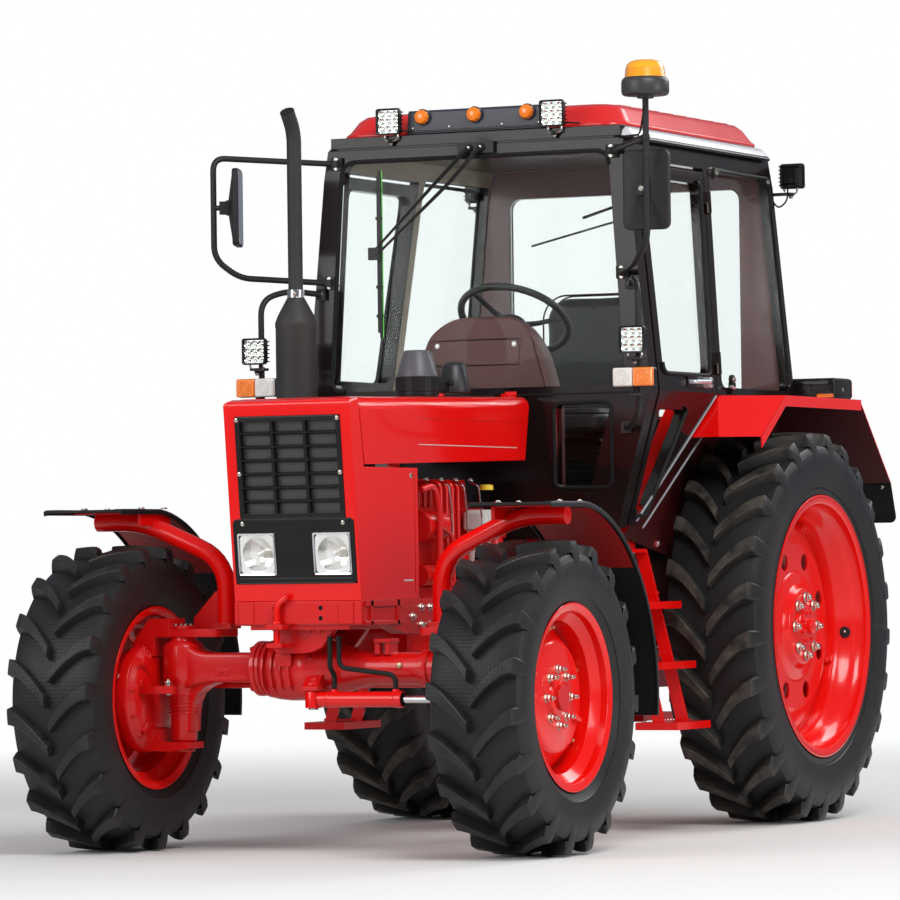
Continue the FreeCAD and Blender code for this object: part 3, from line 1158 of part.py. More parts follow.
node("cab_front", fuse("cab_front_form", cab_front, *[piece for side, y in (
    ("left", s.bonnet_hinge_y), ("right", -s.bonnet_hinge_y)) for piece in (
        cylinder("cab_barrel_" + side, "Y", s.hinge, y - s.hinge_leaf, s.hinge_leaf, bonnet_pin),
        box("cab_leaf_" + side, (s.cab_front_x, bonnet_pin[0]), (y - s.hinge_leaf, y),
            (bonnet_pin[1] - s.glass, bonnet_pin[1] + s.glass)))]))

side_gap = s.running_gap
side_in = s.cab_wall
rail_low_z = s.door_top_z + s.panel_gap * 1.3
side_window = [(behind_post(s.quarter_low_z, s.post_width), s.quarter_low_z),
               (behind_post(s.quarter_top_z, s.post_width), s.quarter_top_z),
               (s.quarter_back_x, s.quarter_top_z), (s.quarter_back_x, s.quarter_low_z)]
side_low_z = s.guard_top_z + side_gap
side_shape = [(s.cab_back_x, side_low_z), (behind_post(side_low_z, s.panel_gap / 2), side_low_z),
              (behind_post(rail_low_z, s.panel_gap / 2), rail_low_z),
              (s.cab_post_x - side_gap, rail_low_z), (s.cab_post_x - side_gap, s.gutter_z),
              (s.cab_back_x, s.gutter_z)]


def hinge_point(z):
    """A point of the door's hinge axis: the leaning line through both hinges."""
    rise = (z - s.belt_z) / (s.eave_z - s.belt_z)
    return behind_post(z, s.panel_gap / 4), s.belt_y + (s.eave_y - s.belt_y) * rise + s.hinge_out, z


def door_hinge(name, forward):
    """Two barrels on the hinge axis with their leaves, on the door or on the post behind it."""
    low, high = at(*hinge_point(s.hinge_low_z)), at(*hinge_point(s.hinge_high_z))
    axis = (high - low).normalize()
    side = 1 if forward else -1
    pieces = []
    for middle in (low, high):
        foot = middle + axis * (float(s.running_gap) if forward else -float(s.hinge_leaf))
        top = foot + axis * float(s.hinge_leaf)
        pieces.append(Part.makeCylinder(float(s.hinge), float(s.hinge_leaf), foot, axis))
        reach = V(side * float(s.hinge_leaf), -float(s.hinge_out) - 2, 0)
        reach -= axis * reach.dot(axis)
        leaf = Part.Face(Part.makePolygon([foot, top, top + reach, foot + reach, foot]))
        pieces.append(leaf.extrude(leaf.normalAt(0, 0) * float(s.glass)))
    return shaped(name, pieces[0].multiFuse(pieces[1:]))


cab_side = cut(
    "cab_side_frame",
    common("cab_side_solid",
           side_skin("side_skin_fixed", s.cab_back_x - seam, s.cab_post_x - side_gap, 0, s.cab_wall),
           pad("side_plan", "XZ", side_shape, s.well_y - seam, s.belt_y + seam)),
    pad("side_hole", "XZ", side_window, s.well_y - seam, s.belt_y + seam, s.quarter_round))
cab_side = fuse("cab_side_form", cab_side, door_hinge("post_hinges", False))
node("cab_sides", group("cab_sides_form", cab_side, mirror("cab_side_twin", cab_side)))

rear_in = [(s.well_y, floor_low_z), (s.well_y, s.belt_z + side_gap)] + [
    (y - s.cab_wall - side_gap, z) for y, z in (
        (s.belt_y, s.belt_z + side_gap), (s.eave_y, s.eave_z), (s.gutter_y, s.gutter_z))]
rear_outline = rear_in + [(-y, z) for y, z in reversed(rear_in)]
cab_rear = pad("cab_rear_solid", "YZ", rear_outline, s.cab_back_x, s.cab_back_x + s.cab_rear_wall)
rear_hole = pad("rear_hole", "YZ", [
    (s.rear_pane_half, s.rear_pane_low_z), (s.rear_pane_half, s.rear_pane_top_z),
    (-s.rear_pane_half, s.rear_pane_top_z), (-s.rear_pane_half, s.rear_pane_low_z)],
    s.cab_back_x - seam, s.cab_back_x + s.cab_rear_wall + seam, s.rear_pane_round)
node("cab_rear", cut("cab_rear_form", cab_rear, rear_hole))
node("cab_floor", box("cab_floor_form", (s.cab_back_x + s.cab_rear_wall + side_gap,
                                         s.cab_post_x - side_gap),
                      (-s.well_y + side_gap, s.well_y - side_gap),
                      (s.sill_z - s.floor_wall, s.sill_z)))


def shrunk(outline, gap):
    """An outline drawn in by a gap towards its middle."""
    middle_u, middle_v = [sum(float(place) for place in line) / len(outline) for line in zip(*outline)]
    return [(u - gap if float(u) > float(middle_u) else u + gap,
             v - gap if float(v) > float(middle_v) else v + gap) for u, v in outline]


pane_x = s.cab_front_x - s.glass_in
windshield = pad("windshield_form", "YZ", shrunk(shield_outline, side_gap),
                 pane_x - s.glass, pane_x, s.shield_round)
low_glass = pad("low_glass_form", "YZ", shrunk(low_pane, side_gap),
                pane_x - s.glass, pane_x, s.low_pane_round)
quarter_glass = common(
    "quarter_glass_form",
    side_skin("quarter_skin", s.cab_back_x, s.cab_post_x, -s.glass_in, s.glass),
    pad("quarter_plan", "XZ", shrunk(side_window, side_gap), s.well_y - seam,
        s.belt_y + seam, s.quarter_round))
rear_glass = pad("rear_glass_form", "YZ", [
    (s.rear_pane_half - side_gap, s.rear_pane_low_z + side_gap),
    (s.rear_pane_half - side_gap, s.rear_pane_top_z - side_gap),
    (-s.rear_pane_half + side_gap, s.rear_pane_top_z - side_gap),
    (-s.rear_pane_half + side_gap, s.rear_pane_low_z + side_gap)],
    s.cab_back_x + s.glass_in, s.cab_back_x + s.glass_in + s.glass, s.rear_pane_round)
node("cab_glass", group("cab_glass_form", windshield, low_glass, mirror("low_glass_twin", low_glass),
                        quarter_glass, mirror("quarter_glass_twin", quarter_glass), rear_glass))

# Doors: a frame as thick as the cab's side, glazed above and below the belt
door_outline = [(s.door_front_x, s.door_low_z), (s.door_front_x, s.door_top_z),
                (behind_post(s.door_top_z, 0), s.door_top_z), (s.door_heel_x, s.door_heel_z),
                (s.door_toe_x, s.door_low_z)]
upper_top_z = s.door_top_z - s.door_frame
door_upper = [(s.door_front_x - s.door_frame, s.door_pane_low_z),
              (s.door_front_x - s.door_frame, upper_top_z),
              (behind_post(upper_top_z, -s.door_frame), upper_top_z),
              (behind_post(s.door_pane_low_z, -s.door_frame), s.door_pane_low_z)]
door_lower = [(s.low_glass_front_x, s.low_glass_low_z), (s.low_glass_front_x, s.low_glass_top_z),
              (s.low_glass_back_x, s.low_glass_top_z), (s.low_glass_toe_x, s.low_glass_low_z)]
across = (s.well_y - s.beam_wall, s.belt_y + seam)
door = cut(
    "door_frame_form",
    common("door_solid", side_skin("door_skin", s.cab_back_x, s.cab_post_x, 0, s.cab_wall),
           pad("door_plan", "XZ", door_outline, *across)),
    pad("door_upper_hole", "XZ", door_upper, *across, s.door_round),
    pad("door_lower_hole", "XZ", door_lower, *across, s.low_glass_round))
door = fuse("door_form", door, door_hinge("door_hinges", True))
twin("door_right", node("door_left", door))
pane_skin = side_skin("pane_skin", s.cab_back_x, s.cab_post_x, -s.glass_in, s.glass)
lower_skin = side_skin("lower_skin", s.cab_back_x, s.cab_post_x, -s.glass_in, s.glass)
door_glass = group(
    "door_glass_form",
    common("door_glass_upper", pane_skin, pad("upper_plan", "XZ", shrunk(
        door_upper, side_gap), *across, s.door_round)),
    common("door_glass_lower", lower_skin, pad("lower_plan", "XZ", shrunk(
        door_lower, side_gap * 1.5), *across, s.low_glass_round)))
twin("door_glass_right", node("door_glass_left", door_glass))

# Roof: a pressed panel over a pale rim
rim_gap = side_gap
roof_rim = pad("roof_rim_plate", "XY", [
    (s.cab_back_x, -s.rim_half), (s.rim_front_x, -s.rim_half),
    (s.rim_front_x, s.rim_half), (s.cab_back_x, s.rim_half)],
    s.gutter_z + rim_gap, s.roof_low_z - rim_gap, s.rim_round)
node("roof_rim", fuse("roof_rim_form", roof_rim, box(
    "roof_band", (s.roof_front_x + rim_gap, s.band_front_x), (-s.band_half, s.band_half),
    (s.roof_low_z - s.glass, s.band_top_z))))


def roof_ring(inset, z):
    """One level of the roof panel as a closed outline."""
    front, back = s.roof_front_x - inset, s.roof_back_x + inset
    half = s.roof_half - inset
    corners = [at(back, -half, z), at(front, -half, z), at(front, half, z), at(back, half, z)]
    return Part.makePolygon(corners + corners[:1])


node("roof", shaped("roof_form", Part.makeLoft([
    roof_ring(0, s.roof_low_z), roof_ring(s.roof_slope, s.roof_top_z)], True, True)))

# Seat, dashboard and steering wheel
seat_front = s.seat_x + s.seat_depth
node("seat_pedestal", box("seat_pedestal_form", (s.seat_x + seam, seat_front - s.seat_back_wall),
                          (-s.pedestal_half, s.pedestal_half),
                          (s.sill_z, s.seat_z - side_gap)))
node("seat_pads", group(
    "seat_pads_form",
    box("seat_cushion", (s.seat_x, seat_front), (-s.seat_half, s.seat_half),
        (s.seat_z, s.seat_z + s.cushion)),
    box("seat_back", (s.seat_x - s.seat_back_wall, s.seat_x - side_gap),
        (-s.seat_half, s.seat_half), (s.seat_z, s.seat_back_top_z))))
dash = pad("dash_form", "YZ", [
    (s.dash_low_half, s.sill_z), (s.dash_low_half, s.dash_shoulder_z),
    (s.dash_top_half, s.dash_top_z), (-s.dash_top_half, s.dash_top_z),
    (-s.dash_low_half, s.dash_shoulder_z), (-s.dash_low_half, s.sill_z)],
    s.dash_back_x, s.dash_front_x)
tilt = math.radians(float(s.wheel_tilt))
column_axis = V(-math.sin(tilt), 0, math.cos(tilt))
wheel_centre = at(s.wheel_x, 0, s.wheel_z)
ring = Part.makeTorus(float(s.wheel_ring), float(s.wheel_grip), wheel_centre, column_axis)
hub_low = wheel_centre - column_axis * float(s.wheel_ring) * 0.25
column_low = wheel_centre - column_axis * float(s.wheel_ring)
node("dashboard", fuse("dashboard_form", dash, shaped("steering_column", Part.makeCylinder(
    float(s.wheel_grip) * 2, float(s.wheel_ring) * 0.75 - float(s.running_gap), column_low,
    column_axis))))
hub = Part.makeCylinder(float(s.wheel_grip) * 2.4, float(s.wheel_ring) * 0.33, hub_low, column_axis)
spokes = []
for turn in (90, 210, 330):
    way = V(math.cos(tilt), 0, math.sin(tilt)) * math.cos(math.radians(turn)) + V(
        0, 1, 0) * math.sin(math.radians(turn))
    spokes.append(Part.makeCylinder(float(s.wheel_grip) * 0.7, float(s.wheel_ring), wheel_centre, way))
node("steering_wheel", shaped("steering_wheel_form", ring.multiFuse([hub] + spokes)))

# Rear fenders: pressed panels joined along their folds
top_z = s.guard_top_z
lip_z = top_z - s.guard_facet_drop
door_edge_lean = (s.door_toe_x - s.door_heel_x) / (s.door_heel_z - s.door_low_z)
lip_x = s.door_heel_x + door_edge_lean * (s.door_heel_z - lip_z) - s.panel_gap * 1.2
lip_in_y = s.sill_y + lean_low * (lip_z - s.sill_z)
fold_lean = (s.guard_fold_x - s.guard_front_x) / (s.guard_out_y - s.guard_fold_y)
lip_mid_y = s.guard_out_y - (lip_x - s.guard_front_x - s.guard_facet_run) / fold_lean
wall = s.sheet_wall
toe_z = s.sill_z + seam - s.floor_wall
toe_x = lip_x + door_edge_lean * (lip_z - toe_z)
toe_y = s.sill_y - s.cab_wall


def down_facet(x, y, share):
    """A point of the slanted front facet, down its slope from its fold."""
    return x + s.guard_facet_run * share, y, top_z - s.guard_facet_drop * share


facet_end = 1 + wall * 3 / s.guard_facet_drop
facet_out = (s.guard_front_x - fold_lean * wall / 2, s.guard_out_y + wall / 2)
mid_run = lip_x - s.guard_fold_x
facet_solid = slab("guard_facet_solid", [
    down_facet(*facet_out, facet_end),
    (s.guard_fold_x + mid_run * facet_end, s.guard_fold_y + (lip_mid_y - s.guard_fold_y) * facet_end,
     top_z - s.guard_facet_drop * facet_end),
    (s.guard_fold_x, s.guard_fold_y, top_z), (*facet_out, top_z)], wall)
facet = cut("guard_facet", facet_solid, box(
    "guard_facet_trim", (s.guard_front_x, lip_x * 2), (s.guard_fold_y, s.guard_out_y * 2),
    (lip_z - s.guard_lip, lip_z)))
strip_out = [(s.guard_fold_x, top_z), (lip_x, lip_z), (toe_x, toe_z)]
closing = common(
    "guard_closing",
    pad("closing_strip", "XZ", strip_out + [(x - wall * 1.5, z) for x, z in reversed(strip_out)],
        guard_in_y, s.guard_out_y),
    pad("closing_plan", "YZ", [
        (guard_in_y, toe_z), (toe_y, toe_z), (lip_in_y, lip_z), (lip_mid_y, lip_z),
        (s.guard_fold_y, top_z), (guard_in_y, top_z)], s.guard_front_x, toe_x + wall))
inner_side = [(s.guard_back_x, top_z), (s.guard_tail_x, s.guard_tail_z),
              (s.guard_tail_x * 0.72, s.guard_low_z), (s.tank_back_x, s.guard_low_z),
              (toe_x, toe_z), (lip_x, lip_z), (s.guard_fold_x, top_z)]
guard_in = pad("guard_inner", "XZ", inner_side, guard_in_y, guard_in_y + wall)
fender = fuse(
    "rear_fender_form",
    slab("guard_top", [(s.guard_back_x, guard_in_y, top_z - wall),
                       (s.guard_fold_x, guard_in_y, top_z - wall),
                       (s.guard_fold_x, s.guard_fold_y, top_z - wall),
                       (s.guard_front_x, s.guard_out_y, top_z - wall),
                       (s.guard_back_x, s.guard_out_y, top_z - wall)], wall),
    facet, closing,
    slab("guard_facet_lip", [
        (s.guard_front_x, s.guard_out_y, top_z), (s.guard_front_x + s.guard_facet_run, s.guard_out_y, lip_z),
        (s.guard_front_x + s.guard_facet_run, s.guard_out_y, lip_z - s.guard_lip),
        (s.guard_front_x, s.guard_out_y, top_z - s.guard_lip)], wall),
    slab("guard_rear", [(s.guard_tail_x, guard_in_y, s.guard_tail_z),
                        (s.guard_tail_x, s.guard_out_y, s.guard_tail_z),
                        (s.guard_back_x, s.guard_out_y, top_z), (s.guard_back_x, guard_in_y, top_z)],
         wall),
    slab("guard_lip", [(s.guard_back_x, s.guard_out_y, top_z), (s.guard_front_x, s.guard_out_y, top_z),
                       (s.guard_front_x, s.guard_out_y, top_z - s.guard_lip),
                       (s.guard_back_x, s.guard_out_y, top_z - s.guard_lip)], wall),
    guard_in)
node("rear_fenders", group("rear_fenders_form", fender, mirror("rear_fender_twin", fender)))
flap_run = (s.guard_tail_x, s.guard_tail_x - s.flap_lean)
flap = slab("flap_form", [
    (flap_run[0], s.flap_in_y, s.guard_tail_z - side_gap),
    (flap_run[0], s.guard_out_y, s.guard_tail_z - side_gap),
    (flap_run[1], s.guard_out_y, s.guard_tail_z - s.flap_drop),
    (flap_run[1], s.flap_in_y, s.guard_tail_z - s.flap_drop)], s.flap_wall)
node("mud_flaps", group("mud_flaps_form", flap, mirror("flap_twin", flap)))
tank = pad("tank_form", "XZ", [
    (s.tank_back_x, s.tank_low_z), (s.tank_front_x, s.tank_low_z),
    (s.tank_front_x, tank_top_z), (s.tank_back_x, tank_top_z)],
    s.tank_in_y, s.tank_out_y, s.tank_round)
node("fuel_tanks", group("fuel_tanks_form", tank, mirror("tank_twin", tank)))

# Entry steps: two leaning rails with treads between them
step_rise = (s.ladder_top_z - s.step_low_z) / s.tread_count
step_run = (s.step_low_y - s.step_top_y) / s.tread_count
step_parts = []
for number in range(int(float(s.tread_count))):
    low_z = s.step_low_z + step_rise * number
    out_y = s.step_low_y - step_run * number + s.tread_depth / 2
    step_parts.append(box("tread_%d" % number, (s.step_back_x, s.step_front_x),
                          (out_y - s.tread_depth, out_y), (low_z, low_z + s.tread_wall)))
for end, x in (("back", s.step_back_x + s.rail_width), ("front", s.step_front_x - s.rail_width)):
    step_parts.append(pad("ladder_rail_" + end, "YZ", [
        (s.step_low_y - s.rail_width / 2, s.step_low_z), (s.step_low_y + s.rail_width / 2, s.step_low_z),
        (s.step_top_y + s.rail_width / 2, s.ladder_top_z),
        (s.step_top_y - s.rail_width / 2, s.ladder_top_z)], x, x + s.rail_wall))
step_parts.append(pad("ladder_bracket", "YZ", [
    (s.step_top_y - s.rail_width, step_top_z - s.tread_wall * 2),
    (s.step_top_y + s.rail_width / 2, step_top_z - s.tread_wall * 2),
    (s.step_top_y + s.rail_width / 2, step_top_z - s.tread_wall * 1.5),
    (s.well_y - s.swing_gap, step_top_z - s.tread_wall * 1.5), (s.well_y - s.swing_gap, step_top_z),
    (s.step_top_y - s.rail_width, step_top_z)],
    s.step_back_x + s.rail_width, s.step_front_x - s.rail_width + s.rail_wall))
steps = fuse("steps_form", *step_parts)
node("entry_steps", group("entry_steps_form", steps, mirror("steps_twin", steps)))

# Mirrors, beacon and lamps on their arms
foot_x = s.cab_front_x + s.arm_tube
low_foot = (s.eave_y - s.arm_tube * 2, s.arm_low_z - s.arm_tube * 2)
top_foot = (s.eave_y - s.arm_tube * 5, s.arm_top_z - s.arm_tube)


def foot_plate(name, y, z):
    """The plate on the cab's front that a tube is welded to."""
    return box(name, (s.cab_front_x + side_gap, foot_x + s.arm_tube / 2),
               (y - s.arm_tube * 2, y + s.arm_tube * 2), (z - s.arm_tube * 2, z + s.arm_tube * 2))


arm_parts = [fuse("mirror_arm_left", tube("mirror_arm_tube", [
    (foot_x, *low_foot), (s.arm_x, s.arm_y, s.arm_low_z),
    (s.arm_x, s.arm_y, s.arm_top_z), (foot_x, *top_foot)],
    s.arm_tube, 60), foot_plate("mirror_foot_low", *low_foot), foot_plate("mirror_foot_top", *top_foot))]
stalk_foot_z = s.turn_lamp_z - s.turn_lamp_height * 1.6
stalk_foot = (s.sill_y + s.cab_wall, stalk_foot_z - s.beam_wall)
stalk_tube_x = s.stalk_x - s.work_lamp_depth - s.arm_tube - side_gap
stalk = fuse(
    "stalk_form",
    tube("stalk_tube", [
        (foot_x, *stalk_foot), (stalk_tube_x, s.stalk_y, stalk_foot_z),
        (stalk_tube_x, s.stalk_y, s.side_lamp_z)], s.arm_tube, 50),
    foot_plate("stalk_foot", *stalk_foot),
    box("stalk_shelf", (stalk_tube_x, s.stalk_x),
        (s.stalk_y - s.arm_tube, s.stalk_y + s.arm_tube),
        (s.turn_lamp_z - s.turn_lamp_height / 2 - s.arm_tube,
         s.turn_lamp_z - s.turn_lamp_height / 2 - side_gap)))
arm_parts.append(stalk)
arms = [mirror("arm_twin_%d" % number, part) for number, part in enumerate(arm_parts)]
arm_parts[0] = fuse("mirror_arm_post", arm_parts[0], cylinder(
    "beacon_post", "Z", s.arm_tube, s.arm_top_z - s.mirror_width, s.beacon_z - s.arm_top_z
    + s.mirror_width - side_gap, (s.arm_x, s.arm_y)))
glass_back = s.arm_x + s.arm_tube + side_gap
mirror_left = box("mirror_form", (glass_back, glass_back + s.mirror_depth),
                  (s.arm_y - s.mirror_width / 2, s.arm_y + s.mirror_width / 2),
                  (s.mirror_low_z, s.mirror_high_z))
node("mirrors", group("mirrors_form", mirror_left, mirror("mirror_twin", mirror_left),
                      *(arm_parts + arms)))
node("beacon", turned("beacon_form", "XZ", [
    (0, s.beacon_z), (s.beacon * 0.8, s.beacon_z), (s.beacon, s.beacon_z + 12),
    (s.beacon, s.beacon_z + 34), (s.beacon_dome, s.beacon_z + 40),
    (s.beacon_dome * 0.86, s.beacon_top_z - 10), (s.beacon_dome * 0.6, s.beacon_top_z),
    (0, s.beacon_top_z)]), s.arm_x, s.arm_y)


def lamp(name, x, y, z, size=s.work_lamp, depth=s.work_lamp_depth, height=None):
    """A square lamp whose face looks forward from x; y and z are its middle."""
    height = height or size
    return box(name, (x - depth, x), (y - size / 2, y + size / 2), (z - height / 2, z + height / 2))


side_lamps = [
    lamp("side_work_lamp", s.stalk_x, s.stalk_y, s.side_lamp_z),
    lamp("roof_work_lamp", s.roof_lamp_x, s.roof_lamp_y, s.roof_lamp_z + side_gap),
    lamp("rear_work_lamp", s.cab_back_x - side_gap, s.rear_lamp_y, s.rear_lamp_z)]
lamps += side_lamps
turn_lamp = lamp("turn_lamp", s.stalk_x, s.stalk_y, s.turn_lamp_z, s.turn_lamp_width,
                 s.work_lamp_depth, s.turn_lamp_height)
tail_lamp = box("tail_lamp", (s.box_back_x - s.work_lamp_depth, s.box_back_x - side_gap),
                (s.tail_lamp_y - s.work_lamp, s.tail_lamp_y + s.work_lamp),
                (top_z + side_gap, top_z + s.box_height))
markers = [cylinder("marker_%d" % number, "X", s.marker, s.band_front_x + side_gap,
                    s.marker, (s.marker_y * place_number, s.marker_z))
           for number, place_number in enumerate((-1, 0, 1))]
lamps += [turn_lamp, tail_lamp]
node("lamps", group("lamps_form", *(lamps + [mirror(item.Name + "_twin", item) for item in lamps]
                                    + markers)))
box_left = box("box_form", (s.box_back_x, s.box_front_x),
               (s.box_in_y, s.box_out_y),
               (top_z + side_gap, top_z + s.box_height))
node("fender_boxes", group("fender_boxes_form", box_left, mirror("box_twin", box_left)))

# Rear linkage: lower links, lift arms on their shaft, lift rods and the stowed top link
link_end_x = -s.rear_reach + s.link_eye
link = fuse(
    "lower_link_form",
    slab("lower_link_bar", [
        (s.link_root_x, s.link_root_y - s.lift_arm_half, s.link_root_z - s.link_bar),
        (link_end_x, s.link_end_y - s.lift_arm_half, s.link_end_z - s.link_bar),
        (link_end_x, s.link_end_y - s.lift_arm_half, s.link_end_z + s.link_bar),
        (s.link_root_x, s.link_root_y - s.lift_arm_half, s.link_root_z + s.link_bar)],
        s.lift_arm_half * 2),
    cylinder("lower_link_eye", "Y", s.link_eye, s.link_end_y - s.link_eye_width / 2,
             s.link_eye_width, (link_end_x, s.link_end_z)),
    cylinder("lower_link_root", "Y", s.link_bar * 1.3, s.link_root_y - s.lift_arm_half * 1.4,
             s.lift_arm_half * 2.8, (s.link_root_x, s.link_root_z)))
link_left = cut("lower_link_left", link, cylinder(
    "lower_link_hole", "Y", s.link_hole, s.link_end_y - s.link_eye_width,
    s.link_eye_width * 2, (link_end_x, s.link_end_z)))
node("lower_links", group("lower_links_form", link_left, mirror("lower_link_twin", link_left)))
link_share = (s.link_root_x - s.arm_root_x + s.arm_reach) / (s.link_root_x - link_end_x)
link_mid_y = s.link_root_y + (s.link_end_y - s.link_root_y) * link_share
link_mid_z = s.link_root_z + (s.link_end_z - s.link_root_z) * link_share
arm_end_x = s.arm_root_x - s.arm_reach
arm_end_z = s.arm_root_z + s.beam_wall
lift_arm = slab("lift_arm_form", [
    (s.arm_root_x, s.arm_side_y, s.arm_root_z - s.link_bar * 1.5),
    (arm_end_x, s.arm_side_y, arm_end_z - s.link_bar),
    (arm_end_x, s.arm_side_y, arm_end_z + s.link_bar),
    (s.arm_root_x, s.arm_side_y, s.arm_root_z + s.link_bar * 1.5)], s.lift_arm_half * 2)
node("lift_arms", fuse("lift_arms_form", lift_arm, mirror("lift_arm_twin", lift_arm), cylinder(
    "lift_shaft", "Y", lift_shaft, -s.arm_side_y, s.arm_side_y * 2,
    (s.arm_root_x, s.arm_root_z))))
rod_top_y = s.arm_side_y + s.lift_arm_half * 2 + s.lift_rod * 1.5 + s.running_gap
rod_low_y = link_mid_y + s.lift_arm_half + s.lift_rod * 1.5 + s.panel_gap
lift_rod = fuse(
    "lift_rod_form",
    tube("lift_rod_bar", [(arm_end_x, rod_top_y, arm_end_z), (arm_end_x, rod_low_y, link_mid_z)],
         s.lift_rod),
    cylinder("lift_rod_top", "Y", s.link_bar, rod_top_y - s.lift_rod * 1.5, s.lift_rod * 3,
             (arm_end_x, arm_end_z)),
    cylinder("lift_rod_low", "Y", s.link_bar, rod_low_y - s.lift_rod * 1.5, s.lift_rod * 3,
             (arm_end_x, link_mid_z)))
node("lift_rods", group("lift_rods_form", lift_rod, mirror("lift_rod_twin", lift_rod)))
top_pin_x = s.top_link_x - s.top_link * 2.5 - s.running_gap
node("top_link", fuse(
    "top_link_form",
    cylinder("top_link_eye", "Y", s.top_link, -s.top_link * 1.2, s.top_link * 2.4,
             (top_pin_x, s.top_link_z)),
    tube("top_link_bar", [(top_pin_x, 0, s.top_link_z),
                          (top_pin_x - s.top_link_length * 0.3, 0,
                           s.top_link_z + s.top_link_length * 0.9)], s.top_link * 0.9),
    cylinder("top_link_end", "Y", s.top_link * 1.4, -s.top_link * 1.4, s.top_link * 2.8,
             (top_pin_x - s.top_link_length * 0.3, s.top_link_z + s.top_link_length * 0.9))))
node("drawbar", cut(
    "drawbar_form",
    fuse("drawbar_solid", box(
        "drawbar_bar", (s.hitch_end_x, s.axlebox_front_x), (-s.hitch_half, s.hitch_half),
        (s.hitch_z - s.hitch_wall / 2, s.hitch_z + s.hitch_wall / 2)),
         *[box("drawbar_hanger_" + end, (x, x + s.hitch_wall), (-s.hitch_half * 2, s.hitch_half * 2),
               (s.hitch_z - s.hitch_wall / 2, s.axlebox_low_z - s.running_gap))
           for end, x in (("front", s.axlebox_front_x - s.hitch_wall),
                          ("rear", s.axlebox_back_x))]),
    cylinder("drawbar_hole", "Z", s.hitch_pin, s.hitch_z - s.hitch_wall, s.hitch_wall * 2,
             (s.hitch_end_x + s.hitch_half, 0))))

# Check every object, then write each node
doc.recompute()
faults = [item.Name for item in doc.Objects if "Invalid" in item.State or "Error" in item.State]
faults += [label for label, item in nodes.items()
           if item.Shape.isNull() or not item.Shape.isValid() or not item.Shape.Solids]
if faults:
    raise SystemExit("not built: " + ", ".join(faults))
os.makedirs("parts", exist_ok=True)
for label, item in nodes.items():
    item.Shape.exportStep("parts/%s.step" % label)
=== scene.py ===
"""Farm tractor with a glazed cab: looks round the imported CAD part. Metres, +X forward, +Y left, +Z up."""
import math

import bmesh
import bpy
from mathutils import Matrix, Vector


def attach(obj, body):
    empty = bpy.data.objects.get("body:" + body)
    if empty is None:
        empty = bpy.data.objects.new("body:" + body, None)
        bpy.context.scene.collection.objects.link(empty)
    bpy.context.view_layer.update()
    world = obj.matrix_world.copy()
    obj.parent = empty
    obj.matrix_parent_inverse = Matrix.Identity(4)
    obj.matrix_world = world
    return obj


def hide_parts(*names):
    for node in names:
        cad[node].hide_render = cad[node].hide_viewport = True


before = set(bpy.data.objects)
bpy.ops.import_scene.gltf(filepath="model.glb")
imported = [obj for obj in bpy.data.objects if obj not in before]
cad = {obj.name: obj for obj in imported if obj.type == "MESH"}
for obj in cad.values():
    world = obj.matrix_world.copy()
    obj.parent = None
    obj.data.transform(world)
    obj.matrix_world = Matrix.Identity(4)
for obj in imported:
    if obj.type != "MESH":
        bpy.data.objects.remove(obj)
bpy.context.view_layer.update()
REAR_AXLE = -1.033


def at(x, y, z):
    """A place measured forward from the rear axle."""
    return Vector((REAR_AXLE + x, y, z))


# Studio
# A pale floor that fades into a white room, lit by soft panels from above, so that colours show
# as they are written and the gloss reflects something plain.
floor_mesh = bpy.data.meshes.new("floor")
floor_mesh.from_pydata([(-60, -60, 0), (60, -60, 0), (60, 60, 0), (-60, 60, 0)], [], [(0, 1, 2, 3)])
floor = bpy.data.objects.new("floor", floor_mesh)
bpy.context.scene.collection.objects.link(floor)
floor_look = bpy.data.materials.new("floor_pale")
floor_look.use_nodes = True
floor_paint = floor_look.node_tree.nodes["Principled BSDF"]
floor_paint.inputs["Roughness"].default_value = 0.85
floor_grain = floor_look.node_tree.nodes.new("ShaderNodeTexNoise")
floor_grain.inputs["Scale"].default_value = 3.0
floor_tone = floor_look.node_tree.nodes.new("ShaderNodeValToRGB")
floor_tone.color_ramp.elements[0].color = (0.66, 0.65, 0.63, 1)
floor_tone.color_ramp.elements[1].color = (0.72, 0.71, 0.69, 1)
floor_look.node_tree.links.new(floor_grain.outputs["Fac"], floor_tone.inputs["Fac"])
floor_look.node_tree.links.new(floor_tone.outputs["Color"], floor_paint.inputs["Base Color"])
floor_spot = floor_look.node_tree.nodes.new("ShaderNodeTexCoord")
floor_reach = floor_look.node_tree.nodes.new("ShaderNodeVectorMath")
floor_reach.operation = "LENGTH"
floor_fade = floor_look.node_tree.nodes.new("ShaderNodeMapRange")
floor_fade.interpolation_type = "SMOOTHSTEP"
floor_fade.inputs["From Min"].default_value = 3.0
floor_fade.inputs["From Max"].default_value = 11.0
floor_fade.inputs["To Min"].default_value = 1.0
floor_fade.inputs["To Max"].default_value = 0.0
floor_look.node_tree.links.new(floor_spot.outputs["Object"], floor_reach.inputs[0])
floor_look.node_tree.links.new(floor_reach.outputs["Value"], floor_fade.inputs["Value"])
floor_look.node_tree.links.new(floor_fade.outputs["Result"], floor_paint.inputs["Alpha"])
floor_mesh.materials.append(floor_look)

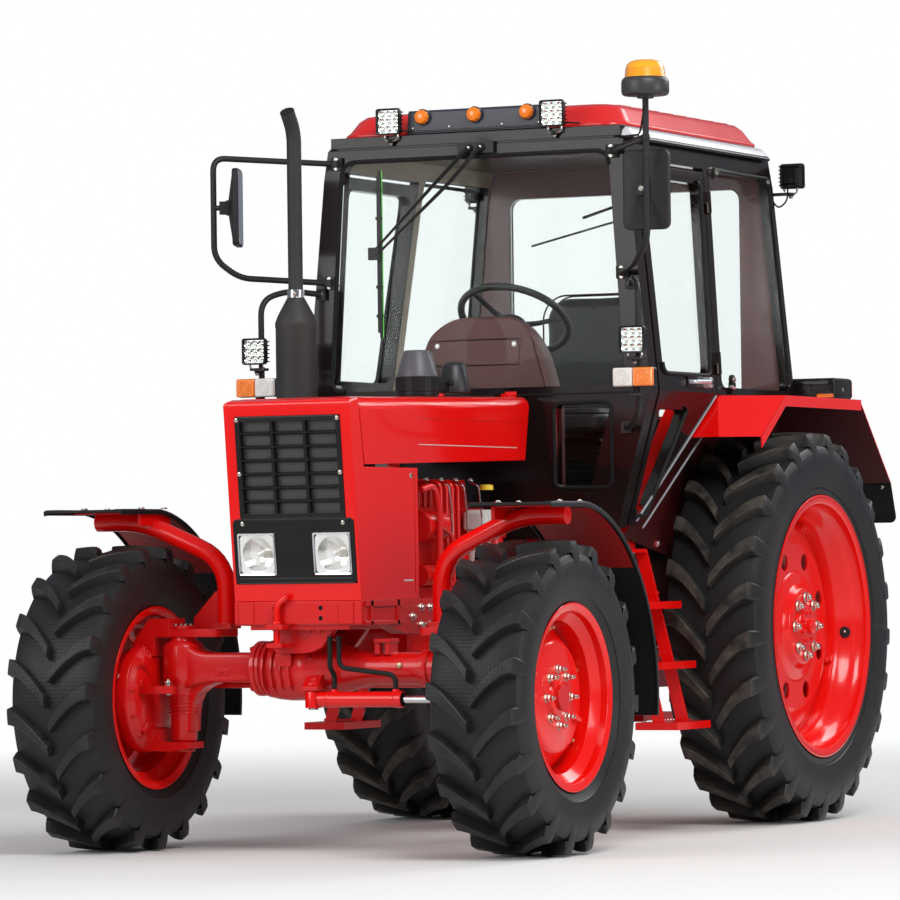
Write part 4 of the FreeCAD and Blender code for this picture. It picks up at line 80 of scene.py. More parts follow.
world = bpy.data.worlds.new("room")
bpy.context.scene.world = world
world.use_nodes = True
room = world.node_tree
room.nodes.clear()
lit = room.nodes.new("ShaderNodeBackground")
lit.inputs["Color"].default_value = (0.93, 0.95, 1.0, 1)
lit.inputs["Strength"].default_value = 0.62
seen = room.nodes.new("ShaderNodeBackground")
seen.inputs["Color"].default_value = (1, 1, 1, 1)
rays = room.nodes.new("ShaderNodeLightPath")
mirrored = room.nodes.new("ShaderNodeBackground")
mirrored.inputs["Color"].default_value = (0.80, 0.86, 1.0, 1)
mirrored.inputs["Strength"].default_value = 0.24
either = room.nodes.new("ShaderNodeMath")
either.operation = "MAXIMUM"
room.links.new(rays.outputs["Is Camera Ray"], either.inputs[0])
room.links.new(rays.outputs["Is Transmission Ray"], either.inputs[1])
glossy = room.nodes.new("ShaderNodeMixShader")
room.links.new(rays.outputs["Is Glossy Ray"], glossy.inputs["Fac"])
room.links.new(lit.outputs[0], glossy.inputs[1])
room.links.new(mirrored.outputs[0], glossy.inputs[2])
blend = room.nodes.new("ShaderNodeMixShader")
room.links.new(either.outputs[0], blend.inputs["Fac"])
room.links.new(glossy.outputs[0], blend.inputs[1])
room.links.new(seen.outputs[0], blend.inputs[2])
ending = room.nodes.new("ShaderNodeOutputWorld")
room.links.new(blend.outputs[0], ending.inputs["Surface"])


def panel_light(name, place, towards, size, power):
    """A soft square lamp that looks at a point."""
    lamp = bpy.data.lights.new(name, "AREA")
    lamp.size = size
    lamp.energy = power
    item = bpy.data.objects.new(name, lamp)
    bpy.context.scene.collection.objects.link(item)
    item.location = place
    item.rotation_euler = (Vector(towards) - Vector(place)).to_track_quat("-Z", "Y").to_euler()


panel_light("key", (5.5, 5.0, 7.5), (0.3, 0.2, 1.0), 4.0, 520)
panel_light("front", (8.0, -3.5, 4.0), (0.5, 0, 1.0), 4.0, 220)
panel_light("rear", (-6.0, 3.0, 6.0), (-0.5, 0, 1.2), 4.0, 260)
panel_light("side", (1.5, 9.0, 2.6), (0.2, 0.4, 1.0), 3.0, 150)

# Camera
# The photograph's own place and lens, found from the wheels and the ground.
photo_lens = bpy.data.cameras.new("photo_view")
photo_lens.sensor_width = 36
photo_lens.lens = 213.6
photo_view = bpy.data.objects.new("photo_view", photo_lens)
bpy.context.scene.collection.objects.link(photo_view)
yaw, pitch, roll = math.radians(205.54), math.radians(1.22), math.radians(-0.75)
ahead = Vector((math.cos(pitch) * math.cos(yaw), math.cos(pitch) * math.sin(yaw), math.sin(pitch)))
right = ahead.cross(Vector((0, 0, 1))).normalized()
upward = right.cross(ahead)
turned_right = right * math.cos(roll) + upward * math.sin(roll)
turned_up = upward * math.cos(roll) - right * math.sin(roll)
photo_view.matrix_world = Matrix.Translation((18.2545, 8.5529, 1.0152)) @ Matrix(
    (turned_right, turned_up, -ahead)).transposed().to_4x4()
photo_lens.clip_end = 200
bpy.context.scene.camera = photo_view
bpy.context.scene.view_settings.view_transform = "Standard"


# Red paint
# Glossy enamel over castings, pressed panels and wheels, sprayed in one coat, a little uneven in its gloss,
# with soft edges and faint patches of dust.
def group_socket(tree, name, way, kind, value=None):
    """One named input or output of a node group."""
    socket = tree.interface.new_socket(name=name, in_out=way, socket_type=kind)
    if value is not None:
        socket.default_value = value
    return socket


surface_group = bpy.data.node_groups.new("worn_surface", "ShaderNodeTree")
group_socket(surface_group, "Colour", "INPUT", "NodeSocketColor", (0.5, 0.5, 0.5, 1))
group_socket(surface_group, "Dirt colour", "INPUT", "NodeSocketColor", (0.2, 0.18, 0.15, 1))
group_socket(surface_group, "Dirt", "INPUT", "NodeSocketFloat", 0.1)
group_socket(surface_group, "Gloss", "INPUT", "NodeSocketFloat", 0.3)
group_socket(surface_group, "Unevenness", "INPUT", "NodeSocketFloat", 0.08)
group_socket(surface_group, "Grain", "INPUT", "NodeSocketFloat", 60.0)
group_socket(surface_group, "Relief", "INPUT", "NodeSocketFloat", 0.05)
group_socket(surface_group, "Edge", "INPUT", "NodeSocketFloat", 0.003)
group_socket(surface_group, "Colour", "OUTPUT", "NodeSocketColor")
group_socket(surface_group, "Roughness", "OUTPUT", "NodeSocketFloat")
group_socket(surface_group, "Normal", "OUTPUT", "NodeSocketVector")
inside = surface_group.nodes
given = inside.new("NodeGroupInput")
result = inside.new("NodeGroupOutput")
here = inside.new("ShaderNodeTexCoord")
clouds = inside.new("ShaderNodeTexNoise")
clouds.inputs["Scale"].default_value = 2.2
clouds.inputs["Detail"].default_value = 6
specks = inside.new("ShaderNodeTexNoise")
specks.inputs["Detail"].default_value = 4
surface_group.links.new(here.outputs["Object"], clouds.inputs["Vector"])
surface_group.links.new(here.outputs["Object"], specks.inputs["Vector"])
surface_group.links.new(given.outputs["Grain"], specks.inputs["Scale"])
patchy = inside.new("ShaderNodeMapRange")
patchy.inputs["From Min"].default_value = 0.45
patchy.inputs["From Max"].default_value = 0.75
surface_group.links.new(clouds.outputs["Fac"], patchy.inputs["Value"])
amount = inside.new("ShaderNodeMath")
amount.operation = "MULTIPLY"
surface_group.links.new(patchy.outputs["Result"], amount.inputs[0])
surface_group.links.new(given.outputs["Dirt"], amount.inputs[1])
stained = inside.new("ShaderNodeMix")
stained.data_type = "RGBA"
surface_group.links.new(amount.outputs[0], stained.inputs["Factor"])
surface_group.links.new(given.outputs["Colour"], stained.inputs["A"])
surface_group.links.new(given.outputs["Dirt colour"], stained.inputs["B"])
surface_group.links.new(stained.outputs["Result"], result.inputs["Colour"])
swing = inside.new("ShaderNodeMath")
swing.operation = "MULTIPLY_ADD"
surface_group.links.new(clouds.outputs["Fac"], swing.inputs[0])
surface_group.links.new(given.outputs["Unevenness"], swing.inputs[1])
surface_group.links.new(given.outputs["Gloss"], swing.inputs[2])
surface_group.links.new(swing.outputs[0], result.inputs["Roughness"])
soft_edge = inside.new("ShaderNodeBevel")
soft_edge.samples = 3
surface_group.links.new(given.outputs["Edge"], soft_edge.inputs["Radius"])
bump = inside.new("ShaderNodeBump")
bump.inputs["Distance"].default_value = 0.002
surface_group.links.new(given.outputs["Relief"], bump.inputs["Strength"])
surface_group.links.new(specks.outputs["Fac"], bump.inputs["Height"])
surface_group.links.new(soft_edge.outputs["Normal"], bump.inputs["Normal"])
surface_group.links.new(bump.outputs["Normal"], result.inputs["Normal"])


def finish(name, colour, gloss, dirt=0.1, grain=60.0, relief=0.05, edge=0.003, metallic=0.0,
           coat=0.0, unevenness=0.08, dirt_colour=(0.2, 0.18, 0.15), shine=0.5):
    """A material whose colour, gloss and fine relief come from the shared surface group."""
    material = bpy.data.materials.new(name)
    material.use_nodes = True
    tree = material.node_tree
    shader = tree.nodes["Principled BSDF"]
    shader.inputs["Metallic"].default_value = metallic
    shader.inputs["Coat Weight"].default_value = coat
    shader.inputs["Coat Roughness"].default_value = 0.06
    shader.inputs["Specular IOR Level"].default_value = shine
    worn = tree.nodes.new("ShaderNodeGroup")
    worn.node_tree = surface_group
    worn.inputs["Colour"].default_value = (*colour, 1)
    worn.inputs["Dirt colour"].default_value = (*dirt_colour, 1)
    worn.inputs["Dirt"].default_value = dirt
    worn.inputs["Gloss"].default_value = gloss
    worn.inputs["Unevenness"].default_value = unevenness
    worn.inputs["Grain"].default_value = grain
    worn.inputs["Relief"].default_value = relief
    worn.inputs["Edge"].default_value = edge
    tree.links.new(worn.outputs["Colour"], shader.inputs["Base Color"])
    tree.links.new(worn.outputs["Roughness"], shader.inputs["Roughness"])
    tree.links.new(worn.outputs["Normal"], shader.inputs["Normal"])
    return material


def dress(material, *names):
    """Give CAD nodes their finish."""
    for name in names:
        slots = cad[name].data.materials
        slots.clear()
        slots.append(material)


red_enamel = finish("red_enamel", (0.74, 0.003, 0.002), 0.16, dirt=0.04, relief=0.02, coat=0.4, shine=0.3,
                    dirt_colour=(0.30, 0.03, 0.02))
red_casting = finish("red_casting", (0.60, 0.004, 0.004), 0.24, dirt=0.12, grain=90, relief=0.3,
                     coat=0.3, edge=0.005, shine=0.35, dirt_colour=(0.22, 0.02, 0.015))
dress(red_enamel, "bonnet", "hood_frame", "rear_fenders", "roof", "entry_steps", "front_rim_left",
      "front_rim_right", "rear_rim_left", "rear_rim_right")
dress(red_casting, "front_axle", "knuckle_left", "knuckle_right", "front_beam", "steering_cylinder",
      "track_rod", "engine", "transmission", "lift_arms", "lower_links", "lift_rods", "top_link",
      "drawbar")

# Black and grey pieces
# Cab frame in dark gloss paint, moulded plastic guards and boxes, rubber, glass and chrome.
cab_black = finish("cab_black", (0.009, 0.005, 0.005), 0.12, dirt=0.05, relief=0.02, coat=0.12, shine=0.2,
                   dirt_colour=(0.05, 0.04, 0.035))
moulded_black = finish("moulded_black", (0.009, 0.009, 0.010), 0.36, dirt=0.12, grain=240, relief=0.2,
                       shine=0.3, dirt_colour=(0.06, 0.055, 0.05))
rubber_black = finish("rubber_black", (0.008, 0.008, 0.008), 0.55, dirt=0.2, grain=180, relief=0.3,
                      shine=0.2, dirt_colour=(0.06, 0.055, 0.05))
dark_paint = finish("dark_paint", (0.022, 0.023, 0.027), 0.36, dirt=0.15, relief=0.08)
tyre_rubber = finish("tyre_rubber", (0.022, 0.022, 0.023), 0.52, dirt=0.35, grain=120, relief=0.3,
                     dirt_colour=(0.07, 0.065, 0.06))
bright_steel = finish("bright_steel", (0.62, 0.62, 0.63), 0.14, dirt=0.05, metallic=1.0)
plain_alloy = finish("plain_alloy", (0.42, 0.42, 0.43), 0.42, dirt=0.25, metallic=1.0)
rim_pale = finish("rim_pale", (0.62, 0.62, 0.60), 0.35, dirt=0.15)
dash_maroon = finish("dash_maroon", (0.075, 0.014, 0.014), 0.45, dirt=0.1, grain=300, relief=0.3)
seat_dark = finish("seat_dark", (0.03, 0.03, 0.033), 0.7, dirt=0.1, grain=400, relief=0.5)
amber = finish("amber", (0.85, 0.25, 0.01), 0.12, dirt=0.02)
lens_clear = finish("lens_clear", (0.75, 0.76, 0.76), 0.1, dirt=0.02, metallic=0.7)
dress(cab_black, "cab_front", "cab_sides", "cab_rear", "door_left", "door_right", "seat_pedestal")
dress(moulded_black, "front_fender_left", "front_fender_right", "grille", "fender_boxes",
      "fuel_tanks", "steering_wheel", "pre_cleaner", "mirrors")
dress(rubber_black, "mud_flaps", "cab_floor", "steering_hoses")
dress(tyre_rubber, "front_tyre_left", "front_tyre_right", "rear_tyre_left", "rear_tyre_right")
dress(dark_paint, "exhaust")
dress(plain_alloy, "radiator")
dress(bright_steel, "steering_rod")
dress(rim_pale, "roof_rim")
dress(dash_maroon, "dashboard")
dress(seat_dark, "seat_pads")
dress(amber, "beacon")
dress(lens_clear, "lamps")

pane = bpy.data.materials.new("pane")
pane.use_nodes = True
pane_shader = pane.node_tree.nodes["Principled BSDF"]
pane_shader.inputs["Base Color"].default_value = (0.93, 0.97, 0.96, 1)
pane_shader.inputs["Roughness"].default_value = 0.02
pane_shader.inputs["Transmission Weight"].default_value = 1.0
pane_shader.inputs["IOR"].default_value = 1.1
dress(pane, "cab_glass", "door_glass_left", "door_glass_right")


# Tyres
# Field tyres with curved lugs that almost meet in the middle, staggered from side to side; black
# rubber with moulding lines on the tread's floor and rings round the sidewall.
class Build:
    """Collects the faces of one piece, each with its own look."""

    def __init__(self):
        self.points, self.faces, self.marks, self.looks = [], [], [], []

    def add(self, points, faces, look):
        """Add a patch of faces."""
        if look not in self.looks:
            self.looks.append(look)
        start = len(self.points)
        self.points += [Vector(point) for point in points]
        self.faces += [[start + i for i in face] for face in faces]
        self.marks += [self.looks.index(look)] * len(faces)

    def grid(self, rows, look, closed=False, looped=False):
        """Faces between rows of points; closed joins each row's ends, looped the last row's."""
        width = len(rows[0])
        faces = []
        for i in range(len(rows) if looped else len(rows) - 1):
            after = (i + 1) % len(rows)
            for j in range(width if closed else width - 1):
                beside = (j + 1) % width
                faces.append([i * width + j, i * width + beside, after * width + beside,
                              after * width + j])
        self.add([point for row in rows for point in row], faces, look)

    def lathe(self, outline, centre, look, steps=96, axis="Y"):
        """An outline of (along, radius) turned about an axis through the centre."""
        rows = []
        for k in range(steps):
            turn = 2 * math.pi * k / steps
            one, two = math.cos(turn), math.sin(turn)
            row = []
            for along, radius in outline:
                spot = {"Y": (radius * one, along, radius * two),
                        "Z": (radius * one, radius * two, along),
                        "X": (along, radius * one, radius * two)}[axis]
                row.append(Vector(spot) + Vector(centre))
            rows.append(row)
        self.grid(rows, look, looped=True)

    def block(self, low, high, look, turn=None, about=None):
        """A block between two corners, turned if asked about its middle or another point."""
        low, high = Vector(low), Vector(high)
        corners = [Vector((x, y, z)) for x in (low.x, high.x) for y in (low.y, high.y)
                   for z in (low.z, high.z)]
        if turn is not None:
            pivot = Vector(about) if about else (low + high) / 2
            corners = [turn @ (corner - pivot) + pivot for corner in corners]
        self.add(corners, [(0, 1, 3, 2), (4, 6, 7, 5), (0, 4, 5, 1), (2, 3, 7, 6), (0, 2, 6, 4),
                           (1, 5, 7, 3)], look)

    def tube(self, path, radius, look, sides=14, closed=False, ends=True):
        """A round bar along a path of points; radius is a number or one for each point."""
        path = [Vector(point) for point in path]
        radii = radius if isinstance(radius, (list, tuple)) else [radius] * len(path)
        rows, side = [], None
        for i, point in enumerate(path):
            before = path[i - 1] if i or closed else point
            after = path[(i + 1) % len(path)] if i + 1 < len(path) or closed else point
            way = (after - before).normalized()
            if side is None:
                side = way.cross(Vector((0, 0, 1)))
                if side.length < 0.1:
                    side = way.cross(Vector((0, 1, 0)))
            side = (side - way * side.dot(way)).normalized()
            up = way.cross(side)
            rows.append([point + (side * math.cos(2 * math.pi * k / sides)
                                  + up * math.sin(2 * math.pi * k / sides)) * radii[i]
                         for k in range(sides)])
        self.grid(rows, look, closed=True, looped=closed)
        if ends and not closed:
            self.add(rows[0], [list(range(sides))], look)
            self.add(rows[-1], [list(range(sides))[::-1]], look)

    def drum(self, foot, way, radius, length, look, sides=24, round_off=0.0, top=None):
        """A round boss from its foot along a way, its outer edge rounded or tapered to top."""
        foot, way = Vector(foot), Vector(way).normalized()
        top = radius if top is None else top
        path = [foot, foot + way * max(length - round_off, length * 0.02)]
        radii = [radius, top]
        if round_off:
            path += [foot + way * (length - round_off * 0.3), foot + way * length]
            radii += [top - round_off * 0.3, top - round_off]
        self.tube(path, radii, look, sides)

    def nut(self, foot, way, size, look, height=None, stud=0.0, stud_look=None):
        """A six-sided nut with a washer and, if asked, its stud."""
        foot, way = Vector(foot), Vector(way).normalized()
        height = height or size * 0.85
        self.drum(foot, way, size * 0.72, size * 0.12, look, 20)
        self.tube([foot, foot + way * height * 0.86, foot + way * height],
                  [size * 0.55, size * 0.55, size * 0.46], look, 6)
        if stud:
            self.drum(foot, way, size * 0.27, height + stud, stud_look or look, 14, size * 0.06)

    def prism(self, outline, axis, low, high, look, bottom=None):
        """A plate: a closed outline in the plane across an axis, from low to high along it."""
        def spot(point, level):
            u, v = point
            return {"X": (level, u, v), "Y": (u, level, v), "Z": (u, v, level)}[axis]
        rows = [[spot(point, low) for point in bottom or outline],
                [spot(point, high) for point in outline]]
        self.loft(rows, look)

    def loft(self, rows, look, ends=True):
        """A skin through closed outlines of as many points each, with flat ends."""
        self.grid(rows, look, closed=True)
        if ends:
            self.add(rows[0], [list(range(len(rows[0])))], look)
            self.add(rows[-1], [list(range(len(rows[-1])))], look)

    def reshape(self, place, start=0):
        """Move the points made since a start by a rule."""
        self.points[start:] = [place(point) for point in self.points[start:]]

    def copied(self, place, start=0):
        """Repeat the faces made since a point number, moved by a rule."""
        shift = len(self.points) - start
        first = next((i for i, face in enumerate(self.faces) if min(face) >= start), len(self.faces))
        self.faces += [[number + shift for number in face] for face in self.faces[first:]]
        self.marks += self.marks[first:]
        self.points += [place(point) for point in self.points[start:]]

    def finish(self, name, body, bevel=0.0, sharp=35, parts=2, seams=True):
        """Make the mesh object and let it ride on its body."""
        mesh = bpy.data.meshes.new(name)
        mesh.from_pydata(self.points, [], self.faces)
        for look in self.looks:
            mesh.materials.append(look)
        mesh.polygons.foreach_set("material_index", self.marks)
        tidy = bmesh.new()
        tidy.from_mesh(mesh)
        if seams:
            bmesh.ops.remove_doubles(tidy, verts=tidy.verts, dist=0.00002)
        bmesh.ops.recalc_face_normals(tidy, faces=tidy.faces)
        tidy.to_mesh(mesh)
        tidy.free()
        mesh.shade_smooth()
        mesh.set_sharp_from_angle(angle=math.radians(sharp))
        item = bpy.data.objects.new(name, mesh)
        bpy.context.scene.collection.objects.link(item)
        if bevel:
            soft = item.modifiers.new("soft_edges", "BEVEL")
            soft.width = bevel
            soft.segments = parts
            soft.limit_method = "ANGLE"
            soft.angle_limit = math.radians(40)
            soft.harden_normals = False
        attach(item, body)
        return item


def tread_rubber(name, dusty):
    """Rubber: hatch lines run across the tread's floor, rings round the sidewall, dust on top."""
    material = finish(name, (0.013, 0.013, 0.014), 0.40, dirt=0.5, grain=260, relief=0.25,
                      dirt_colour=(0.030, 0.028, 0.026), edge=0.0, shine=0.3)
    tree = material.node_tree
    shader = tree.nodes["Principled BSDF"]
    worn = [item for item in tree.nodes if item.type == "GROUP"][0]
    spot = tree.nodes.new("ShaderNodeAttribute")
    spot.attribute_name = "wheel_place"
    apart = tree.nodes.new("ShaderNodeSeparateXYZ")
    tree.links.new(spot.outputs["Vector"], apart.inputs[0])
    rings = tree.nodes.new("ShaderNodeMath")
    rings.operation = "MULTIPLY"
    rings.inputs[1].default_value = 520.0
    tree.links.new(apart.outputs["Y"], rings.inputs[0])
    ring_wave = tree.nodes.new("ShaderNodeMath")
    ring_wave.operation = "SINE"
    tree.links.new(rings.outputs[0], ring_wave.inputs[0])
    hatch = tree.nodes.new("ShaderNodeMath")
    hatch.operation = "MULTIPLY"
    hatch.inputs[1].default_value = 420.0
    tree.links.new(apart.outputs["X"], hatch.inputs[0])
    hatch_wave = tree.nodes.new("ShaderNodeMath")
    hatch_wave.operation = "SINE"
    tree.links.new(hatch.outputs[0], hatch_wave.inputs[0])
    rough = tree.nodes.new("ShaderNodeTexNoise")
    rough.inputs["Scale"].default_value = 26.0
    rough.inputs["Detail"].default_value = 5
    tree.links.new(spot.outputs["Vector"], rough.inputs["Vector"])
    picked = tree.nodes.new("ShaderNodeMix")
    tree.links.new(rough.outputs["Fac"], picked.inputs["Factor"])
    tree.links.new(ring_wave.outputs[0], picked.inputs["A"])
    tree.links.new(hatch_wave.outputs[0], picked.inputs["B"])
    lines = tree.nodes.new("ShaderNodeBump")
    lines.inputs["Strength"].default_value = 0.22
    lines.inputs["Distance"].default_value = 0.0012
    tree.links.new(picked.outputs["Result"], lines.inputs["Height"])
    tree.links.new(worn.outputs["Normal"], lines.inputs["Normal"])
    tree.links.new(lines.outputs["Normal"], shader.inputs["Normal"])
    patchy_dust = tree.nodes.new("ShaderNodeTexNoise")
    patchy_dust.inputs["Scale"].default_value = 14.0
    patchy_dust.inputs["Detail"].default_value = 8
    tree.links.new(spot.outputs["Vector"], patchy_dust.inputs["Vector"])
    dust_range = tree.nodes.new("ShaderNodeMapRange")
    dust_range.inputs["From Min"].default_value = 0.35
    dust_range.inputs["From Max"].default_value = 0.8
    dust_range.inputs["To Max"].default_value = dusty
    tree.links.new(patchy_dust.outputs["Fac"], dust_range.inputs["Value"])
    on_top = tree.nodes.new("ShaderNodeMath")
    on_top.operation = "MULTIPLY"
    tree.links.new(dust_range.outputs["Result"], on_top.inputs[0])
    tree.links.new(apart.outputs["Z"], on_top.inputs[1])
    dusted = tree.nodes.new("ShaderNodeMix")
    dusted.data_type = "RGBA"
    dusted.inputs["B"].default_value = (0.16, 0.135, 0.10, 1)
    tree.links.new(on_top.outputs[0], dusted.inputs["Factor"])
    tree.links.new(worn.outputs["Colour"], dusted.inputs["A"])
    tree.links.new(dusted.outputs["Result"], shader.inputs["Base Color"])
    return material


front_rubber = tread_rubber("front_rubber", 0.12)
rear_rubber = tread_rubber("rear_rubber", 0.55)


def tyre(name, node, body, centre, side, look, radius, section, tread, flange, seat, bead, depth,
         lugs, sweep, near, far, crown=0.006):
    """A tyre of revolution with its lugs, drawn about its own middle."""
    floor_r = radius - depth
    half = [(bead, seat + 0.0004), (bead, flange + 0.001), (bead + 0.006, flange + 0.010),
            (section * 0.90, flange + 0.032), (section * 0.925, flange + 0.036),
            (section * 0.935, flange + 0.034), (section * 0.985, (flange * 0.55 + floor_r * 0.45)),
            (section * 0.995, (flange * 0.4 + floor_r * 0.6)), (section * 0.985, floor_r - 0.052),
            (section * 0.955, floor_r - 0.028), (section * 0.90, floor_r - 0.012),
            (section * 0.72, floor_r - 0.002), (section * 0.4, floor_r + 0.001),
            (0.0, floor_r + 0.002)]
    outline = half + [(-y, r) for y, r in reversed(half[:-1])]
    build = Build()
    build.lathe(outline, (0, 0, 0), look, lugs * 8)
    pitch = 2 * math.pi / lugs
    steps = 11
    for way, shift in ((1, 0.0), (-1, 0.5)):
        for number in range(lugs):
            start = pitch * (number + shift)
            rows = []
            for k in range(steps + 4):
                share = min(k / steps, 1.0)
                turn = start + sweep / radius * (1 - (1 - share) ** 1.55)
                across = 0.007 + (tread - 0.007) * share
                wide = near + (far - near) * share ** 1.4
                top = radius - crown * share ** 3
                foot = floor_r - 0.006
                draft = 0.007
                if k > steps:
                    level = (k - steps) / 3
                    across = tread + (section * 0.997 - tread) * level ** 0.7
                    top = radius - crown - (depth + 0.055) * level ** 1.25
                    foot = min(foot, top - 0.012)
                    wide = far * (1 - 0.3 * level)
                    draft = 0.004
                row = []
                for shift_u, r in ((-wide / 2 - draft, foot), (-wide / 2, top - 0.003),
                                   (-wide / 2 + 0.004, top), (0, top + 0.0004),
                                   (wide / 2 - 0.004, top), (wide / 2, top - 0.003),
                                   (wide / 2 + draft, foot)):
                    angle = turn + shift_u / radius
                    row.append(Vector((r * math.cos(angle), across * way, r * math.sin(angle))))
                rows.append(row)
            build.grid(rows, look)
            build.add(rows[0], [list(range(7))], look)
            build.add(rows[-1], [list(range(7))], look)
    item = build.finish(name, body, sharp=32, seams=False)
    places = item.data.attributes.new("wheel_place", "FLOAT_VECTOR", "POINT")
    values = []
    for vertex in item.data.vertices:
        reach = math.hypot(vertex.co.x, vertex.co.z)
        turn = math.atan2(vertex.co.z, vertex.co.x)
        raised = max(0.0, min(1.0, (reach - radius + 0.012) / 0.006))
        values += [turn * radius, reach + vertex.co.y, raised]
    places.data.foreach_set("vector", values)
    item.data.transform(Matrix.Translation(Vector(centre)) @ Matrix.Scale(side, 4, (0, 1, 0)))
    if side < 0:
        item.data.flip_normals()
    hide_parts(node)
    return item


for side, hand in ((1, "left"), (-1, "right")):
    tyre("front_tyre_shape_" + hand, "front_tyre_" + hand, "front_wheel_" + hand,
         (REAR_AXLE + 2.45, 0.819 * side, 0.548), side, front_rubber, 0.5475, 0.178, 0.158, 0.327,
         0.305, 0.1437, 0.040, 19, 0.128, 0.040, 0.058)
    tyre("rear_tyre_shape_" + hand, "rear_tyre_" + hand, "rear_wheel_" + hand,
         (REAR_AXLE, 0.7465 * side, 0.755), side, rear_rubber, 0.7545, 0.197, 0.168, 0.506, 0.483,
         0.1757, 0.046, 25, 0.150, 0.046, 0.066)


# Wheel rims
# Rolled steel rims with a pressed disc, hub, studs and domed nuts, sprayed in the tractor's red;
# the nuts are zinc plated and the rims' lugs are held by pale bolts.
bright_nut = finish("bright_nut", (0.66, 0.63, 0.56), 0.22, dirt=0.2, metallic=1.0, edge=0.0006,
                    relief=0.05, dirt_colour=(0.30, 0.24, 0.12))
gold_bolt = finish("gold_bolt", (0.72, 0.62, 0.36), 0.28, dirt=0.2, metallic=0.8, edge=0.0006)
rim_paint = finish("rim_paint", (0.74, 0.004, 0.002), 0.17, dirt=0.05, relief=0.02, coat=0.4, shine=0.3,
                   dirt_colour=(0.28, 0.02, 0.015), edge=0.002)
# Near-black for openings: painted shade in the valve's recess, and in the tail pipe's mouth, where soot
# also darkens it.
painted_hole_shade = finish("painted_hole_shade", (0.006, 0.006, 0.006), 0.8, dirt=0.1)


def ring_of(count, radius, start=0.0):
    """Places round a wheel's middle, in the plane of the wheel, with their angles."""
    for number in range(count):
        turn = math.radians(start) + 2 * math.pi * number / count
        yield turn, radius * math.cos(turn), radius * math.sin(turn)


def pierced_disc(build, inner, outer, front, back, holes, look, hole_ring, hole_radius, steps=96):
    """A flat ring with round holes all through it; each hole has its own wall."""
    share = steps // holes
    rows_in, rows_out = [], []
    for number in range(holes):
        centre_turn = 2 * math.pi * (number + 0.5) / holes
        hub = Vector((hole_ring * math.cos(centre_turn), hole_ring * math.sin(centre_turn)))
        wedge = []
        low, high = 2 * math.pi * number / holes, 2 * math.pi * (number + 1) / holes
        for k in range(share + 1):
            wedge.append((outer, low + (high - low) * k / share))
        for k in range(1, share):
            wedge.append((outer + (inner - outer) * k / share, high))
        for k in range(share + 1):
            wedge.append((inner, high + (low - high) * k / share))
        for k in range(1, share):
            wedge.append((inner + (outer - inner) * k / share, low))
        border = [Vector((r * math.cos(a), r * math.sin(a))) for r, a in wedge]
        ring = []
        for point in border:
            away = (point - hub).normalized()
            ring.append(hub + away * hole_radius)
        for y, flip in ((front, False), (back, True)):
            rows = [[Vector((p.x, y, p.y)) for p in border], [Vector((p.x, y, p.y)) for p in ring]]
            build.grid(rows, look, closed=True)
        build.grid([[Vector((p.x, front, p.y)) for p in ring], [Vector((p.x, back, p.y)) for p in ring]],
                   look, closed=True)


def front_rim(hand, side):
    """The front rim: stepped barrel, six welded lugs with bolts, dished disc and eight studs."""
    build = Build()
    barrel = [(-0.152, 0.327), (-0.1505, 0.3285), (-0.146, 0.3270), (-0.144, 0.322), (-0.1435, 0.310),
              (-0.140, 0.3047), (-0.118, 0.3040), (-0.102, 0.290), (-0.088, 0.272), (-0.020, 0.270),
              (0.020, 0.270), (0.086, 0.272), (0.100, 0.288), (0.116, 0.3040), (0.140, 0.3047),
              (0.1435, 0.310), (0.144, 0.322), (0.146, 0.3270), (0.1505, 0.3285), (0.152, 0.327),
              (0.1525, 0.322), (0.1495, 0.317), (0.1485, 0.306), (0.144, 0.299), (0.120, 0.297),
              (0.106, 0.283), (0.092, 0.266), (0.020, 0.264), (-0.020, 0.264), (-0.092, 0.266),
              (-0.106, 0.284), (-0.122, 0.298), (-0.144, 0.299), (-0.1485, 0.306), (-0.1495, 0.317),
              (-0.1525, 0.322), (-0.152, 0.327)]
    build.lathe(barrel, (0, 0, 0), rim_paint, 128)
    disc = [(0.030, 0.246), (0.034, 0.250), (0.040, 0.247), (0.060, 0.222), (0.078, 0.202),
            (0.086, 0.194), (0.089, 0.184), (0.089, 0.080), (0.087, 0.078), (0.087, 0.074),
            (0.089, 0.072), (0.096, 0.070), (0.099, 0.066), (0.099, 0.001)]
    back = [(0.079, 0.001), (0.079, 0.182), (0.070, 0.196), (0.050, 0.214), (0.030, 0.238),
            (0.030, 0.246)]
    build.lathe(disc + back, (0, 0, 0), rim_paint, 112)
    for turn, x, z in ring_of(6, 0.2555, 39):
        out = Matrix.Rotation(-turn, 3, "Y")
        build.block((0.226, 0.004, -0.042), (0.272, 0.030, 0.042), rim_paint, out, (0, 0, 0))
        build.block((0.226, 0.004, -0.042), (0.240, 0.046, -0.030), rim_paint, out, (0, 0, 0))
        build.block((0.226, 0.004, 0.030), (0.240, 0.046, 0.042), rim_paint, out, (0, 0, 0))
        spot = out @ Vector((0.246, 0.030, 0))
        build.nut(spot, (0, 1, 0), 0.024, gold_bolt, stud=0.012)
    for turn, x, z in ring_of(8, 0.098, 0):
        build.nut((x, 0.089, z), (0, 1, 0), 0.022, bright_nut, height=0.016, stud=0.020)
        build.drum((x, 0.105, z), (0, 1, 0), 0.0095, 0.014, bright_nut, 12, 0.005)
    for turn, x, z in ring_of(2, 0.142, -158):
        build.drum((x, 0.088, z), (0, 1, 0), 0.013, 0.003, rim_paint, 16, 0.001)
    build.drum((-0.175, 0.089, -0.083), (0.95, 0.1, 0.2), 0.013, 0.060, rim_paint, 18, 0.004)
    return build.finish("front_rim_shape_" + hand, "front_wheel_" + hand, sharp=38)


